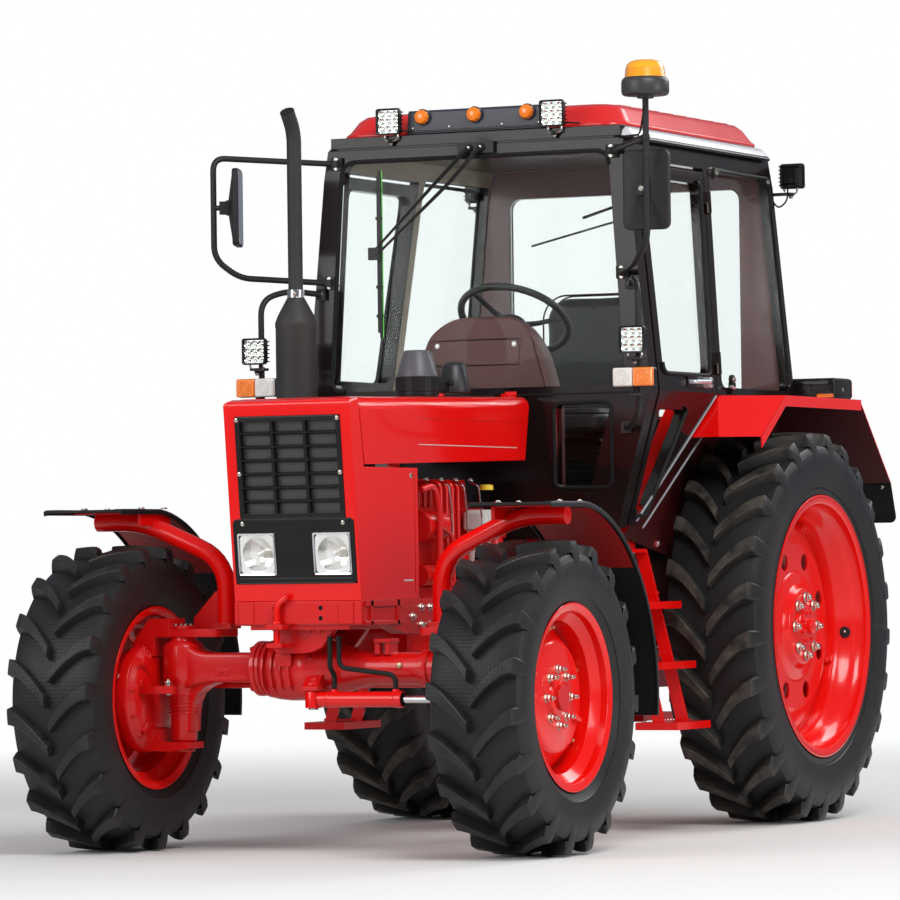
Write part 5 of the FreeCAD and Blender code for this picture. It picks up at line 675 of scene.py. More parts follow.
def rear_rim(hand, side):
    """The rear rim: twice-stepped barrel, disc with hand holes, raised hub and domed nuts."""
    build = Build()
    half = [(0.184, 0.506), (0.1828, 0.5078), (0.178, 0.506), (0.176, 0.500), (0.1755, 0.489),
            (0.171, 0.4827), (0.146, 0.4812), (0.132, 0.468), (0.118, 0.455), (0.098, 0.450),
            (0.080, 0.436), (0.064, 0.428), (0.0, 0.427)]
    outer = half + [(-y, r) for y, r in reversed(half[:-1])]
    inner = [(y + (0.006 if y > 0 else -0.006) * (y > 0.14 or y < -0.14), r - 0.008)
             for y, r in outer]
    inner = [(max(-0.1845, min(0.1845, y)), r) for y, r in inner]
    build.lathe(outer + inner[::-1] + outer[:1], (0, 0, 0), rim_paint, 160)
    cone = [(0.018, 0.420), (0.026, 0.421), (0.036, 0.404), (0.048, 0.372), (0.058, 0.345),
            (0.064, 0.330), (0.066, 0.318)]
    build.lathe(cone + [(y - 0.009, r - 0.004) for y, r in reversed(cone)] + cone[:1], (0, 0, 0),
                rim_paint, 144)
    pierced_disc(build, 0.214, 0.320, 0.066, 0.057, 8, rim_paint, 0.268, 0.033, 192)
    hub = [(0.057, 0.215), (0.066, 0.215), (0.071, 0.211), (0.074, 0.203), (0.074, 0.168),
           (0.078, 0.160), (0.098, 0.150), (0.103, 0.145), (0.105, 0.136), (0.105, 0.090),
           (0.112, 0.082), (0.118, 0.080), (0.118, 0.062), (0.121, 0.060), (0.121, 0.001)]
    build.lathe(hub + [(0.090, 0.001), (0.090, 0.130), (0.060, 0.150), (0.057, 0.215)], (0, 0, 0),
                rim_paint, 112)
    for turn, x, z in ring_of(8, 0.113, 0):
        build.drum((x, 0.1045, z), (0, 1, 0), 0.0195, 0.004, rim_paint, 20)
        build.nut((x, 0.108, z), (0, 1, 0), 0.030, bright_nut, height=0.017)
        build.drum((x, 0.124, z), (0, 1, 0), 0.0125, 0.012, bright_nut, 16, 0.008)
    for turn, x, z in ring_of(8, 0.055, 22.5):
        build.nut((x, 0.121, z), (0, 1, 0), 0.014, rim_paint, height=0.010)
    build.drum((0, 0.121, 0), (0, 1, 0), 0.030, 0.022, rim_paint, 28, 0.006)
    for turn, x, z in ring_of(4, 0.418, 20):
        out = Matrix.Rotation(-turn, 3, "Y")
        build.block((0.392, -0.010, -0.050), (0.430, 0.030, 0.050), rim_paint, out, (0, 0, 0))
        spot = out @ Vector((0.404, 0.030, 0))
        build.nut(spot, (0, 1, 0), 0.026, rim_paint, stud=0.010)
    # A black disc round the valve: painted shade of its recess in the barrel.
    valve = Matrix.Rotation(math.radians(176), 3, "Y")
    build.drum(valve @ Vector((0.440, 0.100, 0)), valve @ Vector((-1, 0.25, 0)), 0.022, 0.006,
               painted_hole_shade, 24)
    build.drum(valve @ Vector((0.436, 0.101, 0)), valve @ Vector((-1, 0.35, 0)), 0.0045, 0.040,
               bright_nut, 10, 0.002)
    return build.finish("rear_rim_shape_" + hand, "rear_wheel_" + hand, sharp=38)


for side, hand in ((1, "left"), (-1, "right")):
    for maker, part, centre in ((front_rim, "front", (REAR_AXLE + 2.45, 0.819 * side, 0.548)),
                                (rear_rim, "rear", (REAR_AXLE, 0.7465 * side, 0.755))):
        item = maker(hand, side)
        item.data.transform(Matrix.Translation(Vector(centre)) @ Matrix.Scale(side, 4, (0, 1, 0)))
        if side < 0:
            item.data.flip_normals()
        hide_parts(part + "_rim_" + hand)


# Grille and lamp panel
# Two moulded black panels fill the hood's leaning nose: a grille of three by seven openings with
# wire mesh behind it, and below it the panel with both headlamps. Zinc-plated screws hold them.
NOSE_LOW, NOSE_HIGH = Vector((2.640, 0, 0.8923)), Vector((2.713, 0, 1.590))
nose_slope = (NOSE_HIGH.x - NOSE_LOW.x) / (NOSE_HIGH.z - NOSE_LOW.z)


def on_nose(point):
    """From a flat nose, x being how far out, to the leaning one."""
    return at(NOSE_LOW.x + nose_slope * (point.z - NOSE_LOW.z) + point.x, point.y, point.z)


def rounded(low, high, radius, steps=5):
    """A rectangle's outline with rounded corners; radius is one number or one for each corner."""
    radii = radius if isinstance(radius, (list, tuple)) else [radius] * 4
    outline = []
    corners = [(low[0], low[1], 180), (high[0], low[1], 270), (high[0], high[1], 0), (low[0], high[1], 90)]
    for (u, v, start), r in zip(corners, radii):
        if not r:
            outline.append((u, v))
            continue
        middle_u = u + (r if u == low[0] else -r)
        middle_v = v + (r if v == low[1] else -r)
        for k in range(steps + 1):
            turn = math.radians(start + 90 * k / steps)
            outline.append((middle_u + r * math.cos(turn), middle_v + r * math.sin(turn)))
    return outline


def frame_ring(build, outer, inner, back, front, look, lip=0.0):
    """A flat ring between two outlines of as many points, with its inner and outer walls."""
    rows = [[(back, u, v) for u, v in outer], [(front, u, v) for u, v in outer],
            [(front + lip, u + (a - u) * 0.25, v + (b - v) * 0.25) for (u, v), (a, b) in zip(outer, inner)],
            [(front, u, v) for u, v in inner], [(back, u, v) for u, v in inner]]
    build.grid(rows, look, closed=True)


mesh_look = finish("grille_mesh", (0.010, 0.010, 0.010), 0.5, dirt=0.3, relief=0.1, edge=0.0)
mesh_tree = mesh_look.node_tree
mesh_place = mesh_tree.nodes.new("ShaderNodeTexCoord")
mesh_parts = mesh_tree.nodes.new("ShaderNodeSeparateXYZ")
mesh_tree.links.new(mesh_place.outputs["Object"], mesh_parts.inputs[0])
wires = []
for socket in ("Y", "Z"):
    wire = mesh_tree.nodes.new("ShaderNodeMath")
    wire.operation = "PINGPONG"
    wire.inputs[1].default_value = 0.0018
    mesh_tree.links.new(mesh_parts.outputs[socket], wire.inputs[0])
    wires.append(wire)
nearest = mesh_tree.nodes.new("ShaderNodeMath")
nearest.operation = "MINIMUM"
mesh_tree.links.new(wires[0].outputs[0], nearest.inputs[0])
mesh_tree.links.new(wires[1].outputs[0], nearest.inputs[1])
wire_mask = mesh_tree.nodes.new("ShaderNodeMapRange")
wire_mask.inputs["From Min"].default_value = 0.0003
wire_mask.inputs["From Max"].default_value = 0.0007
wire_mask.inputs["To Min"].default_value = 1.0
wire_mask.inputs["To Max"].default_value = 0.0
mesh_tree.links.new(nearest.outputs[0], wire_mask.inputs["Value"])
wire_tone = mesh_tree.nodes.new("ShaderNodeMix")
wire_tone.data_type = "RGBA"
wire_tone.inputs["A"].default_value = (0.008, 0.008, 0.008, 1)
wire_tone.inputs["B"].default_value = (0.11, 0.11, 0.11, 1)
mesh_tree.links.new(wire_mask.outputs["Result"], wire_tone.inputs["Factor"])
mesh_tree.links.new(wire_tone.outputs["Result"], mesh_tree.nodes["Principled BSDF"].inputs["Base Color"])
nose_black = finish("nose_black", (0.008, 0.007, 0.007), 0.22, dirt=0.1, grain=200, relief=0.08,
                    edge=0.0015, shine=0.3, dirt_colour=(0.05, 0.045, 0.04))

GRILLE_HALF, GRILLE_LOW, GRILLE_TOP = 0.2065, 1.1805, 1.5395
BORDER, BAR, ROWS, COLUMNS = 0.018, 0.011, 7, 3
row_pitch = (GRILLE_TOP - GRILLE_LOW - 2 * BORDER + BAR) / ROWS
column_pitch = (2 * GRILLE_HALF - 2 * BORDER + BAR) / COLUMNS
grille = Build()
outer_edge = rounded((-GRILLE_HALF, GRILLE_LOW), (GRILLE_HALF, GRILLE_TOP), 0.012)
inner_edge = rounded((-GRILLE_HALF + BORDER, GRILLE_LOW + BORDER),
                     (GRILLE_HALF - BORDER, GRILLE_TOP - BORDER), 0.003)
frame_ring(grille, outer_edge, inner_edge, -0.034, 0.003, nose_black, 0.002)
for row in range(1, ROWS):
    z = GRILLE_LOW + BORDER + row_pitch * row - BAR
    blade = [(-0.020, z + 0.001), (-0.006, z), (0.0028, z + 0.004), (0.0028, z + 0.0075),
             (-0.004, z + BAR), (-0.020, z + BAR + 0.003)]
    grille.prism(blade, "Y", -GRILLE_HALF + BORDER / 2, GRILLE_HALF - BORDER / 2, nose_black)
for column in range(1, COLUMNS):
    y = -GRILLE_HALF + BORDER + column_pitch * column - BAR
    grille.prism([(-0.022, y), (0.001, y), (0.0035, y + 0.003), (0.0035, y + BAR - 0.003), (0.001, y + BAR),
                  (-0.022, y + BAR)], "Z", GRILLE_LOW + BORDER / 2, GRILLE_TOP - BORDER / 2, nose_black)
grille.grid([[(-0.020, -GRILLE_HALF + 0.01, z), (-0.020, GRILLE_HALF - 0.01, z)]
             for z in (GRILLE_LOW + 0.01, GRILLE_TOP - 0.01)], mesh_look)

PANEL_HALF, PANEL_LOW, PANEL_TOP = 0.2375, 0.9525, 1.1805
HEAD_HALF, HEAD_Y, HEAD_Z = 0.0745, 0.148, 1.056
for low, high, radii in (((-PANEL_HALF, HEAD_Z + HEAD_HALF), (PANEL_HALF, PANEL_TOP), (0, 0, 0.018, 0.018)),
                         ((-PANEL_HALF, PANEL_LOW), (PANEL_HALF, HEAD_Z - HEAD_HALF), (0.014, 0.014, 0, 0)),
                         ((-PANEL_HALF, HEAD_Z - HEAD_HALF), (-HEAD_Y - HEAD_HALF, HEAD_Z + HEAD_HALF), 0),
                         ((HEAD_Y + HEAD_HALF, HEAD_Z - HEAD_HALF), (PANEL_HALF, HEAD_Z + HEAD_HALF), 0),
                         ((HEAD_HALF - HEAD_Y, HEAD_Z - HEAD_HALF),
                          (HEAD_Y - HEAD_HALF, HEAD_Z + HEAD_HALF), 0)):
    back = 0.0003 if high[1] == PANEL_TOP else -0.034
    grille.prism(rounded(low, high, radii), "X", back, 0.0015, nose_black)
panel_edge = rounded((-PANEL_HALF + 0.002, PANEL_LOW + 0.002), (PANEL_HALF - 0.002, PANEL_TOP - 0.002),
                     0.017)
grille.tube([(0.0005, y, z) for y, z in panel_edge], 0.0028, nose_black, 8, closed=True)
grille.prism([(0.001, PANEL_TOP - 0.032), (0.0038, PANEL_TOP - 0.028), (0.0038, PANEL_TOP - 0.006),
              (0.001, PANEL_TOP - 0.002)], "Y", -PANEL_HALF + 0.016, PANEL_HALF - 0.016, nose_black)
grille.prism([(0.001, PANEL_LOW + 0.004), (0.0038, PANEL_LOW + 0.007), (0.0038, PANEL_LOW + 0.016),
              (0.001, PANEL_LOW + 0.020)], "Y", -PANEL_HALF + 0.016, PANEL_HALF - 0.016, nose_black)
SCREW_Y = GRILLE_HALF - 0.009
for z in (GRILLE_TOP - 0.012, GRILLE_LOW + (GRILLE_TOP - GRILLE_LOW) * 0.44):
    for y in (-SCREW_Y, SCREW_Y):
        grille.drum((0.003, y, z), (1, 0, 0), 0.0085, 0.006, bright_nut, 18, 0.0035)
for y in (-SCREW_Y, SCREW_Y):
    grille.drum((0.0035, y, PANEL_TOP - 0.017), (1, 0, 0), 0.0085, 0.006, bright_nut, 18, 0.0035)
grille.reshape(on_nose)
grille_piece = grille.finish("grille_shape", "chassis", sharp=30)
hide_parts("grille")


# Headlamps
# Square halogen headlamps: a chromed bezel, a round reflector with its bulb and a fluted glass.
chrome = finish("chrome", (0.78, 0.78, 0.79), 0.07, dirt=0.03, metallic=1.0, edge=0.001)
reflector = finish("reflector", (0.86, 0.85, 0.83), 0.10, dirt=0.05, metallic=1.0, edge=0.0)
bulb_look = finish("bulb_glass", (0.75, 0.72, 0.68), 0.08, dirt=0.05, metallic=0.6, edge=0.0)
fluted = bpy.data.materials.new("fluted_glass")
fluted.use_nodes = True
fluted_shader = fluted.node_tree.nodes["Principled BSDF"]
fluted_shader.inputs["Base Color"].default_value = (0.97, 0.98, 0.98, 1)
fluted_shader.inputs["Roughness"].default_value = 0.06
fluted_shader.inputs["Transmission Weight"].default_value = 1.0
fluted_shader.inputs["IOR"].default_value = 1.12
flutes = fluted.node_tree.nodes.new("ShaderNodeTexWave")
flutes.bands_direction = "Y"
flutes.inputs["Scale"].default_value = 42.0
flute_place = fluted.node_tree.nodes.new("ShaderNodeTexCoord")
fluted.node_tree.links.new(flute_place.outputs["Object"], flutes.inputs["Vector"])
flute_bump = fluted.node_tree.nodes.new("ShaderNodeBump")
flute_bump.inputs["Strength"].default_value = 0.35
flute_bump.inputs["Distance"].default_value = 0.002
fluted.node_tree.links.new(flutes.outputs["Fac"], flute_bump.inputs["Height"])
fluted.node_tree.links.new(flute_bump.outputs["Normal"], fluted_shader.inputs["Normal"])


def bowl_lamp(build, middle, half, bowl, depth, proud, bezel, corner=0.008):
    """A square lamp facing +x: bezel, flat surround, round bowl with its bulb, and its glass."""
    start = len(build.points)
    outline = rounded((-half, -half), (half, half), corner, 6)
    rim = rounded((-half + 0.007, -half + 0.007), (half - 0.007, half - 0.007), corner * 0.7, 6)
    frame_ring(build, outline, rim, -0.030, proud, bezel, 0.0015)
    turns = [2 * math.pi * (n + 0.5) / 32 for n in range(32)]
    square = [(half - 0.006) / max(abs(math.cos(turn)), abs(math.sin(turn))) for turn in turns]
    build.grid([[(proud - 0.006, r * math.cos(turn), r * math.sin(turn)) for r, turn in zip(square, turns)],
                [(proud - 0.008, bowl * math.cos(turn), bowl * math.sin(turn)) for turn in turns]],
               reflector, closed=True)
    rows = []
    for k in range(7):
        share = k / 6
        r = bowl * (1 - share * 0.86)
        rows.append([(proud - 0.008 - depth * (1 - (r / bowl) ** 2), r * math.cos(turn),
                      r * math.sin(turn)) for turn in turns])
    build.grid(rows, reflector, closed=True)
    build.drum((proud - 0.008 - depth, 0, 0), (1, 0, 0), bowl * 0.15, depth * 0.5, bulb_look, 14,
               bowl * 0.06)
    build.drum((proud - 0.008 - depth * 0.45, 0, 0), (1, 0, 0), bowl * 0.10, depth * 0.22, chrome, 14,
               0.002)
    build.prism(rim, "X", proud - 0.005, proud - 0.0015, fluted)
    build.reshape(lambda point: point + Vector(middle), start)


headlamps = Build()
for y in (-HEAD_Y, HEAD_Y):
    bowl_lamp(headlamps, (0, y, HEAD_Z), HEAD_HALF, 0.060, 0.040, 0.0065, chrome)
headlamps.reshape(on_nose)
headlamp_pieces = headlamps.finish("headlamps", "chassis", sharp=32)
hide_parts("lamps")


# Hood details
# The hood's pressed panels: a pale line along the bonnet's side with a thin darker red line above it,
# painted shade along the recessed strip's edge; the side panel's slot and its pressed groove, the groove
# drawn as a darker red line of painted shade; a latch, and the small notch at the bonnet's rear corner.
pale_line = finish("pale_line", (0.62, 0.56, 0.50), 0.3, dirt=0.2)
HOOD_HALF = 0.249
bonnet_marks, panel_marks = Build(), Build()
for side in (1, -1):
    face = HOOD_HALF * side

    def raised(build, low, high, corner, out, look):
        """A thin raised or painted mark on the hood's side."""
        levels = sorted((face - 0.001 * side, face + out * side))
        build.prism(rounded(low, high, corner, 3), "Y", levels[0], levels[1], look)

    raised(bonnet_marks, (1.335, 1.4400), (2.170, 1.4432), 0.0015, 0.0012, pale_line)
    # Darker red line: painted shade along the recessed strip's upper edge.
    raised(bonnet_marks, (1.335, 1.5350), (2.170, 1.5368), 0.0008, 0.0010, red_casting)
    raised(panel_marks, (2.225, 0.955), (2.300, 0.962), 0.003, 0.0015, pale_line)
    # Darker red line: painted shade standing for the pressed groove.
    raised(panel_marks, (2.205, 0.915), (2.208, 1.345), 0.0012, 0.0015, red_casting)
    panel_marks.drum((2.235, face - 0.001 * side, 1.330), (0, side, 0), 0.010, 0.005, bright_nut, 16, 0.003)
for build, name, body in ((bonnet_marks, "bonnet_marks", "bonnet_body"),
                          (panel_marks, "panel_marks", "chassis")):
    build.reshape(lambda point: at(*point))
    build.finish(name, body, sharp=30)


# Front axle
# A cast driven axle: the offset differential housing, a box-like arm on one side and a round one on
# the other, and upright heads that carry the kingpins; painted all over, with plated bolts.
def bent(points, radius, steps=7):
    """A route with its corners rounded."""
    points = [Vector(point) for point in points]
    path = [points[0]]
    for before, corner, after in zip(points, points[1:], points[2:]):
        back, on = (before - corner), (after - corner)
        reach = min(radius, back.length * 0.49, on.length * 0.49)
        start, end = corner + back.normalized() * reach, corner + on.normalized() * reach
        for k in range(steps + 1):
            share = k / steps
            path.append(start * (1 - share) ** 2 + corner * 2 * share * (1 - share) + end * share ** 2)
    return path + [points[-1]]


def oblong(y, middle, half_x, low, high, corner, steps=4):
    """A rounded ring round the axle at one place across the tractor."""
    outline = rounded((middle - half_x, low), (middle + half_x, high), corner, steps)
    return [(x, y, z) for x, z in outline]


AXLE_X, AXLE_Z, KINGPIN = 2.450, 0.658, 0.560
# Near-black: the dashboard cover's dark seams, and painted shade in the beam's tapped holes and the ram's
# gland.
seam_and_hole_shade = finish("seam_and_hole_shade", (0.004, 0.003, 0.003), 0.8, dirt=0.1, edge=0.0, shine=0.1)
axle = Build()
housing = [(-0.215, 0.060), (-0.214, 0.088), (-0.205, 0.100), (-0.165, 0.108), (-0.120, 0.112),
           (-0.060, 0.112),
           (-0.045, 0.118), (-0.020, 0.118), (-0.008, 0.110), (0.030, 0.102), (0.100, 0.084), (0.160,
                                                                                               0.066),
           (0.190, 0.0585), (0.200, 0.0575), (0.520, 0.0575)]
axle.lathe(housing, (AXLE_X, 0, AXLE_Z - 0.008), red_casting, 64)
flange = [(-0.252, 0.050), (-0.252, 0.094), (-0.248, 0.098), (-0.232, 0.098), (-0.229, 0.094),
          (-0.229, 0.091),
          (-0.226, 0.097), (-0.214, 0.097), (-0.211, 0.092), (-0.211, 0.050)]
axle.lathe(flange, (AXLE_X, 0, AXLE_Z - 0.006), red_casting, 64)
axle.loft([oblong(-0.236, AXLE_X, 0.062, 0.598, 0.714, 0.020),
           oblong(-0.262, AXLE_X, 0.056, 0.604, 0.709, 0.014),
           oblong(-0.440, AXLE_X, 0.056, 0.604, 0.709, 0.014), oblong(-0.480, AXLE_X, 0.060, 0.596, 0.718,
                                                                      0.016),
           oblong(-0.520, AXLE_X, 0.060, 0.582, 0.742, 0.020), oblong(-0.560, AXLE_X, 0.055, 0.582, 0.745,
                                                                      0.020)],
          red_casting)
axle.prism(rounded((-0.400, 0.628), (-0.345, 0.652), 0.004), "X", AXLE_X + 0.050, AXLE_X + 0.058,
           red_casting)
for y in (-0.372, -0.315):
    axle.drum((AXLE_X + 0.054, y, 0.640), (1, 0, 0), 0.005, 0.004, red_casting, 12, 0.002)
for turn, x, z in ring_of(10, 0.086, 18):
    axle.nut((AXLE_X + x, -0.252, AXLE_Z - 0.006 + z), (0, -1, 0), 0.016, red_casting, height=0.011)
    axle.nut((AXLE_X + x, -0.211, AXLE_Z - 0.006 + z), (0, 1, 0), 0.015, red_casting, height=0.010)
for turn, x, z in ring_of(8, 0.106, 22):
    axle.nut((AXLE_X + x, -0.006, AXLE_Z - 0.008 + z), (0, 1, 0), 0.014, red_casting, height=0.010)
for y in (-0.185, -0.150, -0.115, -0.080):
    axle.prism([(AXLE_X + 0.060, 0.560), (AXLE_X + 0.112, 0.590), (AXLE_X + 0.122, 0.640),
                (AXLE_X + 0.112, 0.700),
                (AXLE_X + 0.060, 0.750)], "Y", y - 0.004, y + 0.004, red_casting)
axle.prism(rounded((-0.130, 0.660), (-0.066, 0.706), 0.006), "X", AXLE_X + 0.090, AXLE_X + 0.121,
           red_casting)
axle.drum((AXLE_X + 0.055, 0.329, 0.662), (1, 0, 0), 0.010, 0.010, gold_bolt, 14, 0.003)
for y in (0.235, 0.275):
    axle.block((AXLE_X - 0.02, y - 0.010, 0.700), (AXLE_X + 0.045, y + 0.010, 0.752), red_casting)
axle.block((AXLE_X - 0.02, 0.225, 0.742), (AXLE_X + 0.050, 0.290, 0.756), red_casting)
for side in (1, -1):
    head = [(0.3925, 0.001), (0.3925, 0.040), (0.400, 0.046), (0.560, 0.050), (0.585, 0.060),
            (0.604, 0.070),
            (0.620, 0.0745), (0.728, 0.0745), (0.740, 0.070), (0.752, 0.052), (0.7650, 0.048), (0.7650,
                                                                                                0.001)]
    axle.lathe(head, (AXLE_X, KINGPIN * side, 0), red_casting, 48, axis="Z")
    web = [(0.400, 0.620), (0.420, 0.600), (0.455, 0.588), (0.486, 0.566), (0.504, 0.532), (0.512, 0.480),
           (0.514, 0.430), (0.560, 0.420), (0.560, 0.640)]
    axle.prism([(y * side, z) for y, z in web], "X", AXLE_X - 0.036, AXLE_X + 0.036, red_casting)
    if side > 0:
        axle.loft([oblong(0.450, AXLE_X, 0.052, 0.606, 0.708, 0.045),
                   oblong(0.500, AXLE_X, 0.060, 0.592, 0.728, 0.03),
                   oblong(0.560, AXLE_X, 0.055, 0.582, 0.745, 0.020)], red_casting)
        axle.drum((AXLE_X, 0.400, AXLE_Z - 0.008), (0, 1, 0), 0.066, 0.030, red_casting, 32, 0.004)
    for level in range(6):
        z = 0.492 + 0.013 * level
        axle.drum((AXLE_X, KINGPIN * side, z), (0, 0, 1), 0.0545, 0.005, red_casting, 32, 0.001)
DRIVE_Y, DRIVE_Z = -0.120, 0.640
axle.tube([(1.350, DRIVE_Y, DRIVE_Z), (1.450, DRIVE_Y, DRIVE_Z), (1.451, DRIVE_Y, DRIVE_Z),
           (2.230, DRIVE_Y, DRIVE_Z),
           (2.231, DRIVE_Y, DRIVE_Z), (2.300, DRIVE_Y, DRIVE_Z), (2.360, DRIVE_Y, DRIVE_Z)],
          [0.045, 0.045, 0.026, 0.026, 0.042, 0.044, 0.060], red_casting, 20)
axle.block((AXLE_X + 0.06, -0.006, 0.528), (2.538, 0.046, 0.640), red_casting)
axle.prism([(2.500, 0.576), (2.598, 0.576), (2.600, 0.590), (2.560, 0.625), (2.500, 0.660)], "Y", -0.010,
           0.050,
           red_casting)
axle.drum((2.568, 0.020, 0.590), (0, 0, 1), 0.024, 0.016, red_casting, 24, 0.004)
axle.nut((2.568, 0.020, 0.604), (0, 0, 1), 0.026, red_casting, height=0.016)
axle.reshape(lambda point: at(*point))
axle_piece = axle.finish("front_axle_shape", "chassis", bevel=0.0022, sharp=38)
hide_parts("front_axle")


# Knuckles
# Each knuckle swings on its kingpin: a round hub-gear housing, fork plates above and below the
# axle's head, both steering arms, and the bar that carries the mudguard.
amber_plug = finish("amber_plug", (0.80, 0.26, 0.02), 0.35, dirt=0.1, edge=0.001)
STAY_X, STAY_Y, FENDER_TOP, FENDER_IN, FENDER_OUT = 2.364, 0.428, 1.226, 0.680, 1.000
for side, hand in ((1, "left"), (-1, "right")):
    knuckle = Build()
    drum_side = [(0.646, 0.001), (0.646, 0.088), (0.650, 0.112), (0.660, 0.150), (0.676, 0.176),
                 (0.690, 0.184),
                 (0.694, 0.192), (0.712, 0.197), (0.730, 0.196), (0.734, 0.188), (0.760, 0.180), (0.785,
                                                                                                  0.158),
                 (0.800, 0.130), (0.812, 0.108), (0.840, 0.094), (0.858, 0.090), (0.870, 0.050), (0.933,
                                                                                                  0.044),
                 (0.933, 0.001)]
    knuckle.lathe(drum_side, (AXLE_X, 0, 0.548), red_casting, 72)
    for turn, x, z in ring_of(12, 0.172, 10):
        knuckle.nut((AXLE_X + x, 0.682, 0.548 + z), (0, -1, 0), 0.015, red_casting, height=0.012)
    for turn, x, z in ring_of(4, 0.130, 45):
        knuckle.block((AXLE_X + x - 0.006, 0.652, 0.548 + z - 0.040),
                      (AXLE_X + x + 0.006, 0.690, 0.548 + z + 0.040),
                      red_casting, Matrix.Rotation(-turn + math.pi / 2, 3, "Y"))
    knuckle.prism([(0.588, 0.7655), (0.588, 0.832), (0.668, 0.832), (0.682, 0.820), (0.742, 0.742),
                   (0.700, 0.680),
                   (0.652, 0.700), (0.650, 0.7655)], "X", AXLE_X - 0.066, AXLE_X + 0.052, red_casting)
    knuckle.prism(rounded((2.330, 0.394), (AXLE_X + 0.050, 0.640), (0.02, 0.03, 0.004, 0.004)), "Z", 0.7655,
                  0.794,
                  red_casting)
    knuckle.prism([(0.455, 0.793), (0.455, 0.928), (0.470, 0.928), (0.560, 0.832), (0.560, 0.793)], "X",
                  STAY_X - 0.006, STAY_X + 0.006, red_casting)
    knuckle.prism([(0.392, 0.793), (0.392, 0.812), (0.464, 0.812), (0.464, 0.793)], "X", STAY_X - 0.040,
                  STAY_X + 0.040, red_casting)
    knuckle.drum((AXLE_X, KINGPIN, 0.794), (0, 0, 1), 0.040, 0.012, red_casting, 32, 0.003)
    for turn, x, y in ring_of(4, 0.028, 45):
        knuckle.nut((AXLE_X + x, KINGPIN + y, 0.805), (0, 0, 1), 0.012, bright_nut, height=0.008)
    knuckle.prism([(0.512, 0.3917), (0.512, 0.368), (0.600, 0.356), (0.700, 0.362), (0.728, 0.400),
                   (0.668, 0.430),
                   (0.640, 0.440), (0.634, 0.3917)], "X", AXLE_X - 0.055, AXLE_X + 0.055, red_casting)
    knuckle.drum((AXLE_X, KINGPIN, 0.364), (0, 0, -1), 0.038, 0.008, red_casting, 28, 0.003)
    knuckle.prism([(2.520, 0.700), (2.598, 0.690), (2.606, 0.640), (2.604, 0.556), (2.590, 0.536),
                   (2.568, 0.530),
                   (2.548, 0.538), (2.541, 0.560), (2.541, 0.625), (2.520,
                                                                    0.660)], "Z", 0.566, 0.594, red_casting)
    knuckle.block((2.515, 0.655, 0.545), (2.585, 0.700, 0.615), red_casting)
    knuckle.nut((2.568, KINGPIN, 0.594), (0, 0, 1), 0.024, bright_nut, height=0.018, stud=0.006)
    knuckle.drum((2.568, KINGPIN, 0.561), (0, 0, 1), 0.014, 0.006, bright_nut, 18)
    knuckle.prism([(2.278, 0.560), (2.284, 0.543), (2.300, 0.5375), (2.318, 0.545), (2.330, 0.570),
                   (2.360, 0.640),
                   (2.395, 0.690), (2.300, 0.690), (2.284, 0.640)], "Z", 0.6073, 0.6353, red_casting)
    knuckle.nut((2.300, KINGPIN, 0.6353), (0, 0, 1), 0.022, bright_nut, height=0.016, stud=0.006)
    stay = bent([(STAY_X, STAY_Y, 0.795), (STAY_X, STAY_Y, FENDER_TOP - 0.187),
                 (STAY_X + 0.034, FENDER_IN + 0.068, FENDER_TOP - 0.0465),
                 (STAY_X + 0.034, FENDER_OUT - 0.068, FENDER_TOP - 0.0465)], 0.110)
    knuckle.tube(stay, 0.033, red_enamel, 22)
    knuckle.prism([(STAY_X - 0.070, FENDER_IN + 0.012), (STAY_X + 0.150, FENDER_IN + 0.012),
                   (STAY_X + 0.150, FENDER_IN + 0.026), (STAY_X - 0.070, FENDER_IN + 0.026)], "Z",
                  FENDER_TOP - 0.060, FENDER_TOP - 0.0125, red_enamel)
    knuckle.block((STAY_X - 0.090, FENDER_IN + 0.020, FENDER_TOP - 0.018),
                  (STAY_X + 0.160, FENDER_OUT - 0.040, FENDER_TOP - 0.0125), red_enamel)
    spot = Vector((AXLE_X + 0.172, 0.752, 0.482))
    knuckle.drum(spot, (1, 0.25, -0.35), 0.0125, 0.016, amber_plug, 16, 0.004)
    knuckle.drum((AXLE_X + 0.168, 0.735, 0.628), (1, 0, 0.4), 0.011, 0.014, bright_nut, 6, 0.002)
    knuckle.reshape(lambda point: at(point.x, point.y * side, point.z))
    piece = knuckle.finish("knuckle_shape_" + hand, "knuckle_%s_body" % hand, bevel=0.0025, sharp=38)
    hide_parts("knuckle_" + hand)


# Steering cylinder
# The double-acting ram between the axle and the left steering arm: a painted barrel with its gland,
# ports and banjo fittings, a chromed rod, and the track rod behind the axle with its ball joints.
ram = Build()
RAM_X, RAM_Z, RAM_ROOT, RAM_END = 2.568, 0.545, 0.020, 0.372
ram.tube([(RAM_X, RAM_ROOT + 0.026, RAM_Z), (RAM_X, RAM_END - 0.030, RAM_Z),
          (RAM_X, RAM_END - 0.029, RAM_Z),
          (RAM_X, RAM_END - 0.002, RAM_Z), (RAM_X, RAM_END, RAM_Z)], [0.0275, 0.0275, 0.0295, 0.0295,
                                                                      0.027],
         red_enamel, 32, ends=False)
